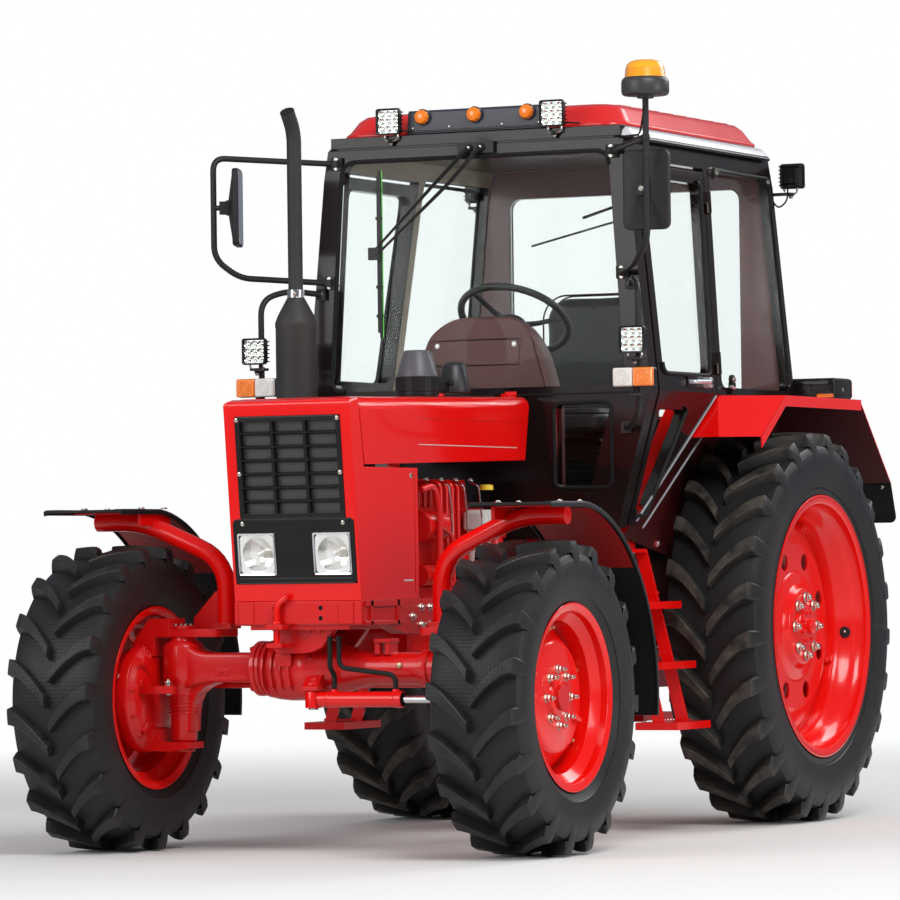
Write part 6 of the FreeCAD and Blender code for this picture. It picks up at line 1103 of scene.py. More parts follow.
# The gland's dark ring: black wiper rubber, and painted shade where the rod goes in.
ram.tube([(RAM_X, RAM_END, RAM_Z), (RAM_X, RAM_END - 0.004, RAM_Z), (RAM_X, RAM_END - 0.012, RAM_Z)],
         [0.027, 0.0165, 0.0145], seam_and_hole_shade, 32, ends=False)
ram.tube([(RAM_X, RAM_ROOT + 0.055, RAM_Z), (RAM_X, RAM_ROOT + 0.056, RAM_Z),
          (RAM_X, RAM_ROOT + 0.064, RAM_Z),
          (RAM_X, RAM_ROOT + 0.065, RAM_Z)], [0.0275, 0.0293, 0.0293, 0.0275], red_enamel, 32, ends=False)
ram.drum((RAM_X, RAM_ROOT, RAM_Z - 0.0295), (0, 0, 1), 0.0295, 0.059, red_enamel, 28, 0.004)
ram.drum((RAM_X, RAM_ROOT, RAM_Z - 0.036), (0, 0, 1), 0.018, 0.070, bright_nut, 20, 0.003)
for y in (0.103, 0.342):
    ram.drum((RAM_X, y, RAM_Z + 0.024), (0, 0, 1), 0.013, 0.012, red_enamel, 20, 0.002)
    ram.nut((RAM_X, y, RAM_Z + 0.034), (0, 0, 1), 0.016, bright_nut, height=0.012)
ram.reshape(lambda point: at(*point))
ram_piece = ram.finish("steering_cylinder_shape", "chassis", bevel=0.001, sharp=35)
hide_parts("steering_cylinder")


# Front beam
# The cast beam that carries the radiator and hood and, on its saddle, the axle's pivot: a nose plate with
# four tapped holes for weights, drawn as dark discs of painted shade, side rails with a rough cast face, a
# tow pin with a bent top.
beam = Build()
BEAM_NOSE, BEAM_LOW, BEAM_TOP, BEAM_HALF, RAIL_IN = 2.642, 0.806, 0.892, 0.250, 0.195
rough_casting = finish("rough_casting", (0.56, 0.004, 0.004), 0.38, dirt=0.3, grain=45, relief=1.0,
                       coat=0.2,
                       shine=0.35, edge=0.005, dirt_colour=(0.2, 0.01, 0.01))
beam.prism([(BEAM_NOSE - 0.055, BEAM_LOW), (BEAM_NOSE - 0.006, BEAM_LOW), (BEAM_NOSE, BEAM_LOW + 0.006),
            (BEAM_NOSE, BEAM_TOP - 0.004), (BEAM_NOSE - 0.004, BEAM_TOP), (BEAM_NOSE - 0.055,
                                                                           BEAM_TOP)], "Y",
           -BEAM_HALF, BEAM_HALF, red_casting)
for y in (-0.232, 0.160):
    beam.prism(rounded((y, BEAM_LOW + 0.004), (y + 0.060, BEAM_TOP - 0.004), 0.004), "X", BEAM_NOSE - 0.01,
               BEAM_NOSE + 0.004, red_casting)
for side in (1, -1):
    inner, outer = sorted((RAIL_IN * side, BEAM_HALF * side))
    rail = [(2.045, 0.770), (2.300, 0.770), (2.420, 0.800), (BEAM_NOSE - 0.040, 0.806),
            (BEAM_NOSE - 0.040, BEAM_TOP),
            (2.045, BEAM_TOP)]
    beam.prism(rail, "Y", inner, outer, rough_casting)
    face = (BEAM_HALF * side, (BEAM_HALF + 0.006) * side)
    for low, high in ((0.8700, 0.892), (0.806, 0.820)):
        beam.prism([(2.330, low), (BEAM_NOSE - 0.02, low), (BEAM_NOSE - 0.02, high), (2.330, high)], "Y",
                   min(face), max(face), red_casting)
    for x in (2.350, 2.560):
        beam.prism([(x, 0.806), (x + 0.018, 0.806), (x + 0.018, 0.892), (x, 0.892)], "Y", min(face),
                   max(face),
                   red_casting)
    for x, z in ((2.100, 0.800), (2.100, 0.862), (2.170, 0.800), (2.170, 0.862), (2.240, 0.830)):
        beam.nut((x, BEAM_HALF * side, z), (0, side, 0), 0.020, bright_nut, height=0.013, stud=0.004)
    # The tapped holes: near-black discs, painted shade.
    for z in (0.840, 0.858):
        beam.drum((BEAM_NOSE - 0.004, 0.090 * side, z - 0.009 + (z - 0.840)), (1, 0, 0), 0.0085, 0.0045,
                  seam_and_hole_shade, 18)
beam.block((2.045, -BEAM_HALF, 0.768), (2.100, BEAM_HALF, BEAM_TOP), red_casting)
beam.block((AXLE_X - 0.176, -RAIL_IN, 0.790), (AXLE_X + 0.176, RAIL_IN, BEAM_TOP), red_casting)
saddle = [(-0.122, 0.812), (-0.122, 0.722), (-0.108, 0.707), (-0.006, 0.707), (0.030, 0.712),
          (0.069, 0.728),
          (0.104, 0.771), (0.128, 0.812)]
for low, high in ((AXLE_X + 0.1125, AXLE_X + 0.146), (AXLE_X - 0.145, AXLE_X - 0.1125)):
    beam.prism(saddle, "X", low, high, red_casting)
beam.prism([(-0.034, 0.790), (0.030, 0.790), (0.030, 0.778), (0.0, 0.756)], "X", AXLE_X + 0.140,
           AXLE_X + 0.150,
           rough_casting)
beam.drum((AXLE_X - 0.145, 0, 0.755), (1, 0, 0), 0.030, 0.290, red_casting, 28, 0.003)
for y, z in ((-0.090, 0.735), (0.060, 0.790)):
    beam.nut((AXLE_X + 0.146, y, z), (1, 0, 0), 0.022, red_casting, height=0.014)
PIN_X, PIN_Y = 2.664, -0.072
beam.block((AXLE_X + 0.130, PIN_Y - 0.034, 0.792), (PIN_X + 0.024, PIN_Y + 0.034, 0.810), red_casting)
beam.block((AXLE_X + 0.130, PIN_Y - 0.030, 0.728), (PIN_X + 0.024, PIN_Y + 0.030, 0.744), red_casting)
beam.tube(bent([(PIN_X, PIN_Y, 0.722), (PIN_X, PIN_Y, 0.880), (PIN_X - 0.004, PIN_Y + 0.040, 0.908)],
               0.022), 0.0115,
          red_enamel, 16)
beam.drum((PIN_X, PIN_Y, 0.810), (0, 0, 1), 0.016, 0.010, red_enamel, 20, 0.002)
beam.reshape(lambda point: at(*point))
beam_piece = beam.finish("front_beam_shape", "chassis", bevel=0.0025, sharp=38)
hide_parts("front_beam")


# Front mudguards
# Bent black plastic bands on the knuckles' bars, with a rolled edge and pale bolts along the bar.
guard_red = finish("guard_red", (0.30, 0.004, 0.004), 0.4, dirt=0.2, grain=120, relief=0.1, shine=0.3,
                   dirt_colour=(0.10, 0.01, 0.01))
for side, hand in ((1, "left"), (-1, "right")):
    guard = Build()
    arc_r, wall = 0.682, 0.010
    centre = Vector((AXLE_X, 0, 0.548))
    top, tail, nose_x = FENDER_TOP, 0.465, 2.680
    start = math.asin(min(1.0, (top - 0.548) / arc_r))
    end = math.asin((tail - 0.548) / arc_r)
    line = [(nose_x, top - 0.004), (nose_x - 0.01, top - 0.001)]
    line += [(nose_x - (nose_x - AXLE_X + 0.05) * k / 6, top) for k in range(1, 6)]
    for k in range(27):
        turn = start + (end - start) * k / 26
        line.append((AXLE_X - arc_r * math.cos(turn), 0.548 + arc_r * math.sin(turn)))
    rows = []
    for i, (x, z) in enumerate(line):
        before, after = line[max(i - 1, 0)], line[min(i + 1, len(line) - 1)]
        along = Vector((after[0] - before[0], 0, after[1] - before[1])).normalized()
        inward = Vector((along.z, 0, -along.x))
        if inward.z > 0 and i < 8:
            inward = -inward
        if i >= 8 and inward.dot(centre - Vector((x, 0, z))) < 0:
            inward = -inward
        low, high = FENDER_IN + 0.001, FENDER_OUT - 0.001
        section = [(low, 0.0, 0.020), (low, 0.0, 0.006), (low + 0.003, 0.0, 0.001), (low + 0.010, 0.0, 0.0),
                   (low + 0.035, 0.0, 0.0), (low + 0.040, 0.0, 0.002), (high - 0.040, 0.0, 0.002),
                   (high - 0.035, 0.0, 0.0), (high - 0.010, 0.0, 0.0), (high - 0.003, 0.0, 0.001),
                   (high, 0.0, 0.006), (high, 0.0, 0.020), (high - 0.004, 0.0, 0.020),
                   (high - 0.006, 0.0, wall), (low + 0.006, 0.0, wall), (low + 0.004, 0.0, 0.020)]
        rows.append([Vector((x, y, z)) + inward * depth for y, _, depth in section])
    guard.loft(rows, moulded_black)
    for x in (STAY_X - 0.050, STAY_X + 0.120):
        for y in (FENDER_IN + 0.026, FENDER_OUT - 0.060):
            guard.drum((x, y, top), (0, 0, 1), 0.0125, 0.003, bright_nut, 18)
            guard.drum((x, y, top + 0.002), (0, 0, 1), 0.0085, 0.0055, bright_nut, 18, 0.003)
    under = []
    for k in range(14):
        turn = start + (end - start) * (0.04 + 0.42 * k / 13)
        r = arc_r - wall - 0.006
        under.append([(AXLE_X - r * math.cos(turn), y, 0.548 + r * math.sin(turn))
                      for y in (FENDER_IN + 0.016, FENDER_OUT - 0.016)])
    guard.grid(under, guard_red)
    guard.reshape(lambda point: at(point.x, point.y * side, point.z))
    piece = guard.finish("front_fender_shape_" + hand, "knuckle_%s_body" % hand, sharp=40)
    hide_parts("front_fender_" + hand)


# Roof
# A pressed red panel with cross ribs over a pale curved rim, a black gutter rail along each side and
# a dark band in front that carries three amber marker lamps.
roof_pale = finish("roof_pale", (0.50, 0.50, 0.53), 0.28, dirt=0.2, coat=0.3, dirt_colour=(0.3, 0.29, 0.28))
roof_red = finish("roof_red", (0.62, 0.010, 0.010), 0.22, dirt=0.12, relief=0.03, coat=0.3, shine=0.4,
                  dirt_colour=(0.55, 0.20, 0.18), edge=0.004)
band_dark = finish("band_dark", (0.030, 0.033, 0.045), 0.3, dirt=0.2, shine=0.4,
                   dirt_colour=(0.09, 0.09, 0.1))
ROOF_FRONT, ROOF_BACK, ROOF_HALF, ROOF_LOW = 1.104, -0.268, 0.592, 2.6405


def roof_level(inset, z, corner):
    """One closed level of the roof's panel."""
    return [(x, y, z) for x, y in rounded((ROOF_BACK + inset, -ROOF_HALF + inset),
                                          (ROOF_FRONT - inset, ROOF_HALF - inset), corner, 8)]


roof = Build()
roof.loft([roof_level(0.002, ROOF_LOW, 0.09), roof_level(0.0, 2.644, 0.09), roof_level(0.001, 2.652, 0.09),
           roof_level(0.012, 2.662, 0.09), roof_level(0.040, 2.706, 0.085), roof_level(0.062, 2.724, 0.08),
           roof_level(0.110, 2.7325, 0.07), roof_level(0.300, 2.7345, 0.05)], roof_red)
for number in range(8):
    x = -0.120 + 0.135 * number
    rib = [(-0.530, 2.7180), (-0.505, 2.7320), (-0.470, 2.7385), (0.470, 2.7385), (0.505, 2.7320),
           (0.530, 2.7180)]
    roof.prism(rib, "X", x, x + 0.030, roof_red)
roof.reshape(lambda point: at(*point))
roof_piece = roof.finish("roof_shape", "chassis", bevel=0.0015, sharp=38)
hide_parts("roof")

rim = Build()
RIM_BACK, RIM_FRONT, RIM_HALF = -0.280, 1.146, 0.632


def rim_level(inset, z, corner):
    """One closed level of the roof's rim."""
    return [(x, y, z) for x, y in rounded((RIM_BACK + inset, -RIM_HALF + inset),
                                          (RIM_FRONT - inset, RIM_HALF - inset), corner, 8)]


rim.loft([rim_level(0.0, 2.5905, 0.06), rim_level(0.0, 2.598, 0.06)], cab_black)
rim.loft([rim_level(0.002, 2.598, 0.06), rim_level(0.006, 2.616, 0.06), rim_level(0.020, 2.632, 0.06),
          rim_level(0.045, 2.6395, 0.06)], roof_pale)
rim.block((1.060, -RIM_HALF + 0.03, 2.5985), (RIM_FRONT - 0.001, RIM_HALF - 0.03, 2.6385), cab_black)
for side in (1, -1):
    rim.tube([(RIM_BACK + 0.04, 0.630 * side, 2.592), (RIM_FRONT - 0.05, 0.630 * side, 2.592)], 0.0075,
             cab_black, 12)
    rim.tube([(RIM_BACK + 0.04, 0.628 * side, 2.6005), (RIM_FRONT - 0.05, 0.628 * side, 2.6005)], 0.0035,
             cab_black, 8)
band = [(1.100, 2.642), (1.131, 2.642), (1.132, 2.650), (1.128, 2.722), (1.120, 2.731), (1.098, 2.732)]
rim.prism(band, "Y", -0.282, 0.282, band_dark)
rim.block((1.126, -0.270, 2.648), (1.1335, 0.270, 2.654), cab_black)
for y in (-0.262, -0.110, 0.110, 0.262):
    rim.drum((1.128, y, 2.664), (1, 0, 0), 0.005, 0.005, bright_nut, 12, 0.002)
rim.reshape(lambda point: at(*point))
rim_piece = rim.finish("roof_rim_shape", "chassis", bevel=0.001, sharp=38)
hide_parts("roof_rim")


# Roof, side, turn and rear lamps
# Square work lamps with ribbed black housings and clustered reflectors on U brackets, amber roof
# markers with faceted caps, two-coloured turn lamps, and the tail lamps on the rear fenders.
clear_cap = finish("clear_cap", (0.70, 0.68, 0.64), 0.12, dirt=0.05, coat=0.5, edge=0.001)
amber_cap = finish("amber_cap", (0.86, 0.20, 0.006), 0.12, dirt=0.05, coat=0.6, edge=0.001)
red_cap = finish("red_cap", (0.60, 0.006, 0.004), 0.12, dirt=0.05, coat=0.6, edge=0.001)
lamp_white = finish("lamp_white", (0.80, 0.82, 0.84), 0.12, dirt=0.05, metallic=0.55, edge=0.0)


def work_lamp(build, middle, facing=1, half=0.050, depth=0.052):
    """A square work lamp: rim, nine small bowls behind clear glass, cooling ribs and its bracket."""
    start = len(build.points)
    rim_line = rounded((-half, -half), (half, half), 0.010, 4)
    inner_line = rounded((-half + 0.007, -half + 0.007), (half - 0.007, half - 0.007), 0.006, 4)
    frame_ring(build, rim_line, inner_line, -0.014, 0.0, nose_black, 0.001)
    body = rounded((-half * 0.94, -half * 0.94), (half * 0.94, half * 0.94), 0.010, 4)
    tail = rounded((-half * 0.6, -half * 0.6), (half * 0.6, half * 0.6), 0.008, 4)
    build.loft([[(-0.0135, u, v) for u, v in body], [(-0.026, u, v) for u, v in body],
                [(-depth, u, v) for u, v in tail]], nose_black)
    for rib in range(6):
        v = (rib - 2.5) * half * 0.3
        build.block((-depth + 0.002, -half * 0.85, v - 0.0022), (-0.016, half * 0.85, v + 0.0022),
                    nose_black)
    build.prism(inner_line, "X", -0.013, -0.010, lamp_white)
    pitch = half * 0.56
    for row in (-1, 0, 1):
        for column in (-1, 0, 1):
            spot = (column * pitch, row * pitch)
            cup = [[(-0.010 + 0.006 * share ** 2,
                     spot[0] + pitch * 0.47 * share * math.cos(2 * math.pi * n / 14),
                     spot[1] + pitch * 0.47 * share * math.sin(2 * math.pi * n / 14)) for n in range(14)]
                   for share in (0.15, 0.5, 0.8, 1.0)]
            build.grid(cup, reflector, closed=True)
            build.drum((-0.010, *spot), (1, 0, 0), pitch * 0.13, 0.004, bulb_look, 10, 0.001)
    build.prism(inner_line, "X", -0.003, -0.0015, pane)
    for v in (-half * 0.55, half * 0.55):
        build.drum((-0.028, v, -half * 0.96), (0, 0, -1), 0.005, 0.010, bright_nut, 10)
    build.tube(bent([(-0.028, -half * 0.55, -half - 0.004), (-0.028, -half * 0.5, -half - 0.020),
                     (-0.028, half * 0.5, -half - 0.020), (-0.028, half * 0.55, -half - 0.004)], 0.012, 4),
               0.0035, bright_nut, 8)
    build.drum((-0.028, 0, -half - 0.016), (0, 0, -1), 0.010, 0.016, nose_black, 16, 0.002)
    build.nut((-0.028, 0, -half - 0.032), (0, 0, -1), 0.013, bright_nut, height=0.008)
    build.reshape(lambda point: Vector((point.x * facing, point.y * facing, point.z)) + Vector(middle),
                  start)


lamps = Build()
for side in (1, -1):
    work_lamp(lamps, (1.188, 0.340 * side, 2.690))
    work_lamp(lamps, (1.470, 0.776 * side, 1.824))
    work_lamp(lamps, (-0.351, 0.690 * side, 2.530), facing=-1)
    lamps.block((1.128, 0.340 * side - 0.012, 2.610), (1.165, 0.340 * side + 0.012, 2.626), nose_black)
    lamps.tube(bent([(1.140, 0.340 * side + 0.020, 2.66), (1.142, 0.340 * side + 0.052, 2.655),
                     (1.128, 0.340 * side + 0.090, 2.652)], 0.02, 4), 0.003, rubber_black, 8)
    low_y, high_y = sorted((0.600 * side, 0.704 * side))
    lamps.block((-0.330, low_y, 2.452), (-0.281, high_y, 2.462), nose_black)
    lamps.tube(bent([(-0.320, 0.680 * side, 2.50), (-0.318, 0.676 * side, 2.430),
                     (-0.290, 0.650 * side, 2.400),
                     (-0.272, 0.632 * side, 2.430)], 0.02, 4), 0.0035, rubber_black, 8)
    # Two-coloured turn lamp: clear half towards the middle
    middle_y, z, face = 0.776 * side, 1.687, 1.470
    inner, outer = middle_y - 0.078 * side, middle_y + 0.078 * side
    lamps.prism(rounded((min(inner, outer), z - 0.035), (max(inner, outer), z + 0.035), 0.008), "X",
                face - 0.051,
                face - 0.022, nose_black)
    for edge, look in ((inner, clear_cap), (outer, amber_cap)):
        near = middle_y - 0.001 * side if edge == inner else middle_y + 0.001 * side
        low, high = min(edge, near), max(edge, near)
        cap = rounded((low, z - 0.034), (high, z + 0.034), 0.007)
        top = rounded((low + 0.004, z - 0.030), (high - 0.004, z + 0.030), 0.006)
        lamps.loft([[(face - 0.022, u, v) for u, v in cap], [(face - 0.006, u, v) for u, v in cap],
                    [(face - 0.001, u, v) for u, v in top]], look)
        mid = (low + high) / 2
        for ring_number in range(3):
            r = 0.026 - 0.008 * ring_number
            lamps.tube([(face - 0.0012, mid + r * math.cos(2 * math.pi * n / 28),
                         z + r * math.sin(2 * math.pi * n / 28))
                        for n in range(28)], 0.0018, look, 6, closed=True)
    lamps.tube([(face - 0.030, 0.776 * side, z - 0.036), (face - 0.030, 0.776 * side, z - 0.062)], 0.008,
               nose_black)
    # Tail lamp behind the fender's box
    low_y, high_y = sorted((0.672 * side, 0.868 * side))
    lamps.prism(rounded((low_y, 1.646), (high_y, 1.726), 0.010), "X", -0.496, -0.4705, nose_black)
    for k, look in enumerate((red_cap, amber_cap, red_cap)):
        width = (high_y - low_y - 0.012) / 3
        start_y = low_y + 0.006 + width * k
        plate = rounded((start_y + 0.001, 1.652), (start_y + width - 0.001, 1.720), 0.006)
        lamps.loft([[(-0.495, u, v) for u, v in plate], [(-0.516, u, v) for u, v in plate],
                    [(-0.521, u * 0.98 + 0.02 * (start_y + width / 2), v * 0.98 + 0.02 * 1.686) for u,
                     v in plate]], look)
for y in (-0.218, 0.0, 0.218):
    lamps.drum((1.1325, y, 2.704), (1, 0, 0), 0.0315, 0.008, band_dark, 28, 0.002)
    rings = []
    for r, x in ((0.0285, 1.140), (0.0275, 1.152), (0.0225, 1.160), (0.0120, 1.1635)):
        rings.append([(x, y + r * math.cos(2 * math.pi * n / 10),
                       2.704 + r * math.sin(2 * math.pi * n / 10))
                      for n in range(10)])
    lamps.loft(rings, amber_cap)
lamps.reshape(lambda point: at(*point))
lamps_piece = lamps.finish("lamps_shape", "chassis", sharp=25)
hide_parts("lamps")


# Mirrors, their arms and the lamp stalks
# Bent steel tube, painted black, bolted to the cab's front posts; moulded mirror housings with a
# stepped back and a clamp; the lamps' stalks rise from the bulkhead and turn in to the post.
mirror_black = finish("mirror_black", (0.014, 0.014, 0.015), 0.42, dirt=0.12, grain=300, relief=0.25,
                      shine=0.35,
                      dirt_colour=(0.06, 0.055, 0.05), edge=0.002)
mirror_silver = finish("mirror_silver", (0.85, 0.87, 0.88), 0.03, dirt=0.02, metallic=1.0, edge=0.0)
arms = Build()
ARM_X, ARM_Y, ARM_LOW, ARM_TOP, BAR = 1.566, 0.887, 2.112, 2.552, 0.0115


def mirror_head(build, centre, turn):
    """A mirror head: rim, back drawn to a clamp block in front, and its glass behind."""
    start = len(build.points)
    half_y, half_z = 0.088, 0.146
    back = rounded((-half_y, -half_z), (half_y, half_z), 0.026, 5)
    lip = rounded((-half_y + 0.004, -half_z + 0.004), (half_y - 0.004, half_z - 0.004), 0.022, 5)
    step = rounded((-half_y + 0.012, -half_z + 0.014), (half_y - 0.012, half_z - 0.014), 0.016, 5)
    boss = rounded((-0.026, -0.028), (0.026, 0.028), 0.002, 5)
    build.loft([[(-0.052, u, v) for u, v in lip], [(-0.049, u, v) for u, v in back],
                [(-0.032, u, v) for u, v in back],
                [(-0.028, u, v) for u, v in lip], [(-0.028, u, v) for u, v in step],
                [(-0.009, u, v) for u, v in boss], [(0.0, u, v) for u, v in boss]], mirror_black)
    build.prism(rounded((-half_y + 0.008, -half_z + 0.008), (half_y - 0.008, half_z - 0.008), 0.018, 5),
                "X", -0.0535,
                -0.051, mirror_silver)
    build.block((-0.002, -0.022, -0.024), (0.026, 0.022, 0.024), mirror_black)
    build.drum((0.026, 0, 0), (1, 0, 0), 0.010, 0.003, bright_nut, 16)
    build.nut((0.027, 0, 0), (1, 0, 0), 0.014, bright_nut, height=0.008)
    spin = Matrix.Rotation(math.radians(turn), 3, "Z")
    build.reshape(lambda point: spin @ point + Vector(centre), start)


for side in (1, -1):
    foot_low = (1.163, 0.607 * side, 2.088)
    foot_top = (1.163, 0.571 * side, 2.540)
    arms.tube(bent([foot_low, (ARM_X - 0.060, ARM_Y * side - 0.075 * side, ARM_LOW - 0.012),
                    (ARM_X, ARM_Y * side, ARM_LOW + 0.060), (ARM_X, ARM_Y * side, ARM_TOP),
                    foot_top], 0.050), BAR, mirror_black, 16)
    for x, y, z in (foot_low, foot_top):
        arms.block((1.1508, y - 0.022, z - 0.024), (1.166, y + 0.022, z + 0.024), mirror_black)
        for dz in (-0.015, 0.015):
            arms.nut((1.166, y, z + dz), (1, 0, 0), 0.012, bright_nut, height=0.007)
        arms.drum((x + 0.012, y, z - 0.014), (0, 0, 1), 0.015, 0.028, mirror_black, 18, 0.002)
    stalk_x, stalk_y = 1.404, 0.776
    arms.tube(bent([(1.163, 0.642 * side, 2.046), (1.300, 0.716 * side, 2.058),
                    (stalk_x, stalk_y * side, 2.020),
                    (stalk_x, stalk_y * side, 1.560), (1.300, 0.700 * side, 1.515), (1.163, 0.615 * side,
                                                                                     1.512)],
                   0.060), BAR, mirror_black, 16)
    for y, z in ((0.642 * side, 2.046), (0.615 * side, 1.512)):
        arms.block((1.1508, y - 0.018, z - 0.022), (1.168, y + 0.018, z + 0.022), mirror_black)
        arms.nut((1.168, y, z), (1, 0, 0), 0.014, bright_nut, height=0.008)
    arms.block((stalk_x, (stalk_y - 0.016) * side if side > 0 else (stalk_y + 0.016) * side, 1.618),
               (1.452, (stalk_y + 0.016) * side if side > 0 else (stalk_y - 0.016) * side,
                1.628), mirror_black)
    arms.block((stalk_x - 0.008, min(0.750 * side, 0.802 * side), 1.752),
               (1.452, max(0.750 * side, 0.802 * side), 1.762),
               mirror_black)
mirror_head(arms, (ARM_X - 0.026, ARM_Y - 0.024, 2.364), 6)
mirror_head(arms, (ARM_X - 0.030, -ARM_Y + 0.040, 2.364), -68)
arms.tube([(ARM_X, -ARM_Y, 2.364), (ARM_X - 0.020, -ARM_Y + 0.035, 2.364)], 0.010, mirror_black, 12)
arms.tube([(ARM_X, ARM_Y, 2.30), (ARM_X, ARM_Y, 2.692)], BAR, mirror_black, 16)
for z in (2.470, 2.540):
    arms.tube([(ARM_X, ARM_Y, z), (ARM_X, ARM_Y, z + 0.020)], 0.0145, mirror_black, 16)
arms.tube(bent([(ARM_X + 0.012, ARM_Y, 2.66), (ARM_X + 0.004, ARM_Y - 0.020, 2.56), (1.36, 0.72, 2.575),
                (1.150, 0.60, 2.590)], 0.05), 0.0035, rubber_black, 8)
arms.reshape(lambda point: at(*point))
arms_piece = arms.finish("mirrors_shape", "chassis", sharp=30)
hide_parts("mirrors")


# Beacon
# A rotating warning lamp on the mirror arm's post: a grey rubber foot and an amber dome with rings.
beacon = Build()
amber_dome = finish("amber_dome", (0.92, 0.36, 0.008), 0.14, dirt=0.04, coat=0.7, edge=0.001)
foot = [(2.700, 0.001), (2.700, 0.078), (2.704, 0.084), (2.714, 0.087), (2.748, 0.087), (2.758, 0.084),
        (2.764, 0.078), (2.766, 0.070), (2.766, 0.001)]
beacon.lathe(foot, (ARM_X, ARM_Y, 0), dark_paint, 48, axis="Z")
beacon.drum((ARM_X, ARM_Y, 2.690), (0, 0, 1), 0.030, 0.012, dark_paint, 24)
dome = [(2.766, 0.001), (2.766, 0.0745)]
for k in range(6):
    z = 2.768 + 0.0052 * k
    dome += [(z, 0.0745 - 0.0006 * k), (z + 0.0022, 0.0728 - 0.0006 * k), (z + 0.0042, 0.0742 - 0.0006 * k)]
dome += [(2.800, 0.0700), (2.812, 0.0660), (2.822, 0.0560), (2.828, 0.0380), (2.830, 0.0180),
         (2.830, 0.001)]
beacon.lathe(dome, (ARM_X, ARM_Y, 0), amber_dome, 48, axis="Z")
beacon.reshape(lambda point: at(*point))
beacon_piece = beacon.finish("beacon_shape", "chassis", sharp=45)
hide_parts("beacon")


# Cab fittings
# What is screwed to the glossy cab frame: window rubbers, the windshield's wiper with its two arms, the
# rear wiper, hinges and door handles; and a silver line along the door's edge, a painted highlight where
# its gasket catches the light.
wiper_black = finish("wiper_black", (0.008, 0.008, 0.008), 0.35, dirt=0.1, shine=0.3, edge=0.001)
green_edge = finish("green_edge", (0.10, 0.55, 0.07), 0.4, dirt=0.1, edge=0.0)
silver_trim = finish("silver_trim", (0.62, 0.63, 0.66), 0.25, dirt=0.15, metallic=0.7, edge=0.001)
fittings = Build()
FRONT = 1.1505


shield = [(-0.609, 1.672), (0.609, 1.672), (0.552, 2.545), (-0.552, 2.545)]
ring = bent([(0, *shield[0]), (0, *shield[1]), (0, *shield[2]), (0, *shield[3]), (0, *shield[0]),
             (0, *shield[1])],
            0.055, 6)
ring = ring[8:-1]
fittings.tube([(FRONT, p.y, p.z) for p in ring], 0.0085, rubber_black, 8, ends=False)
for side in (1, -1):
    pane_line = rounded((0.318, 1.292), (0.552, 1.608), 0.030)
    fittings.tube([(FRONT, u * side, v) for u, v in pane_line], 0.0075, rubber_black, 8, closed=True)
    near, far = sorted((0.02 * side, 0.66 * side))
    fittings.block((FRONT - 0.004, near, 1.640), (FRONT + 0.004, far, 1.646), rubber_black)
for y, z in ((-0.009, 2.576), (0.041, 2.578)):
    fittings.drum((FRONT - 0.002, y, z), (1, 0, 0), 0.014, 0.030, wiper_black, 20, 0.004)
    fittings.nut((FRONT + 0.026, y, z), (1, 0, 0), 0.012, bright_nut, height=0.007)
fittings.block((FRONT - 0.002, -0.060, 2.556), (FRONT + 0.016, 0.090, 2.598), wiper_black)
knee = (FRONT + 0.040, -0.405, 2.200)
fittings.tube([(FRONT + 0.030, -0.009, 2.576), (FRONT + 0.042, -0.150, 2.440), knee],
              [0.009, 0.007, 0.0045],
              wiper_black, 10)
fittings.tube([(FRONT + 0.030, 0.041, 2.578), (FRONT + 0.044, -0.090, 2.440),
               (FRONT + 0.042, -0.392, 2.185)],
              [0.009, 0.0075, 0.0045], wiper_black, 10)
fittings.block((FRONT + 0.020, -0.425, 2.168), (FRONT + 0.046, -0.382, 2.215), wiper_black)
BLADE_LOW, BLADE_HIGH = 1.873, 2.509
fittings.block((FRONT + 0.008, -0.394, BLADE_LOW), (FRONT + 0.014, -0.386, BLADE_HIGH), wiper_black)
fittings.block((FRONT + 0.014, -0.399, BLADE_LOW + 0.02), (FRONT + 0.021, -0.381, BLADE_HIGH - 0.02),
               wiper_black)
fittings.block((FRONT + 0.0145, -0.3805, BLADE_LOW), (FRONT + 0.0165, -0.3765, BLADE_HIGH), green_edge)
for z in (1.95, 2.06, 2.32, 2.43):
    fittings.block((FRONT + 0.016, -0.402, z), (FRONT + 0.026, -0.378, z + 0.012), wiper_black)
fittings.tube([(-0.300, 0.02, 2.500), (-0.302, -0.055, 2.440), (-0.300, -0.200, 2.398)], 0.006, wiper_black,
              8)
fittings.block((-0.296, -0.430, 2.330), (-0.290, -0.055, 2.338), wiper_black,
               Matrix.Rotation(math.radians(13), 3, "X"))
fittings.block((-0.312, -0.030, 2.484), (-0.281, 0.060, 2.530), wiper_black)


def side_y(z, side):
    """The cab's outer face at a height."""
    if z < 1.650:
        return (0.573 + (0.712 - 0.573) * (z - 1.140) / 0.510) * side
    return (0.712 + (0.631 - 0.712) * (z - 1.650) / 0.826) * side


def on_side(x, z, out, side):
    """A place on the cab's side, so far outside its face."""
    return (x, side_y(z, side) + out * side, z)


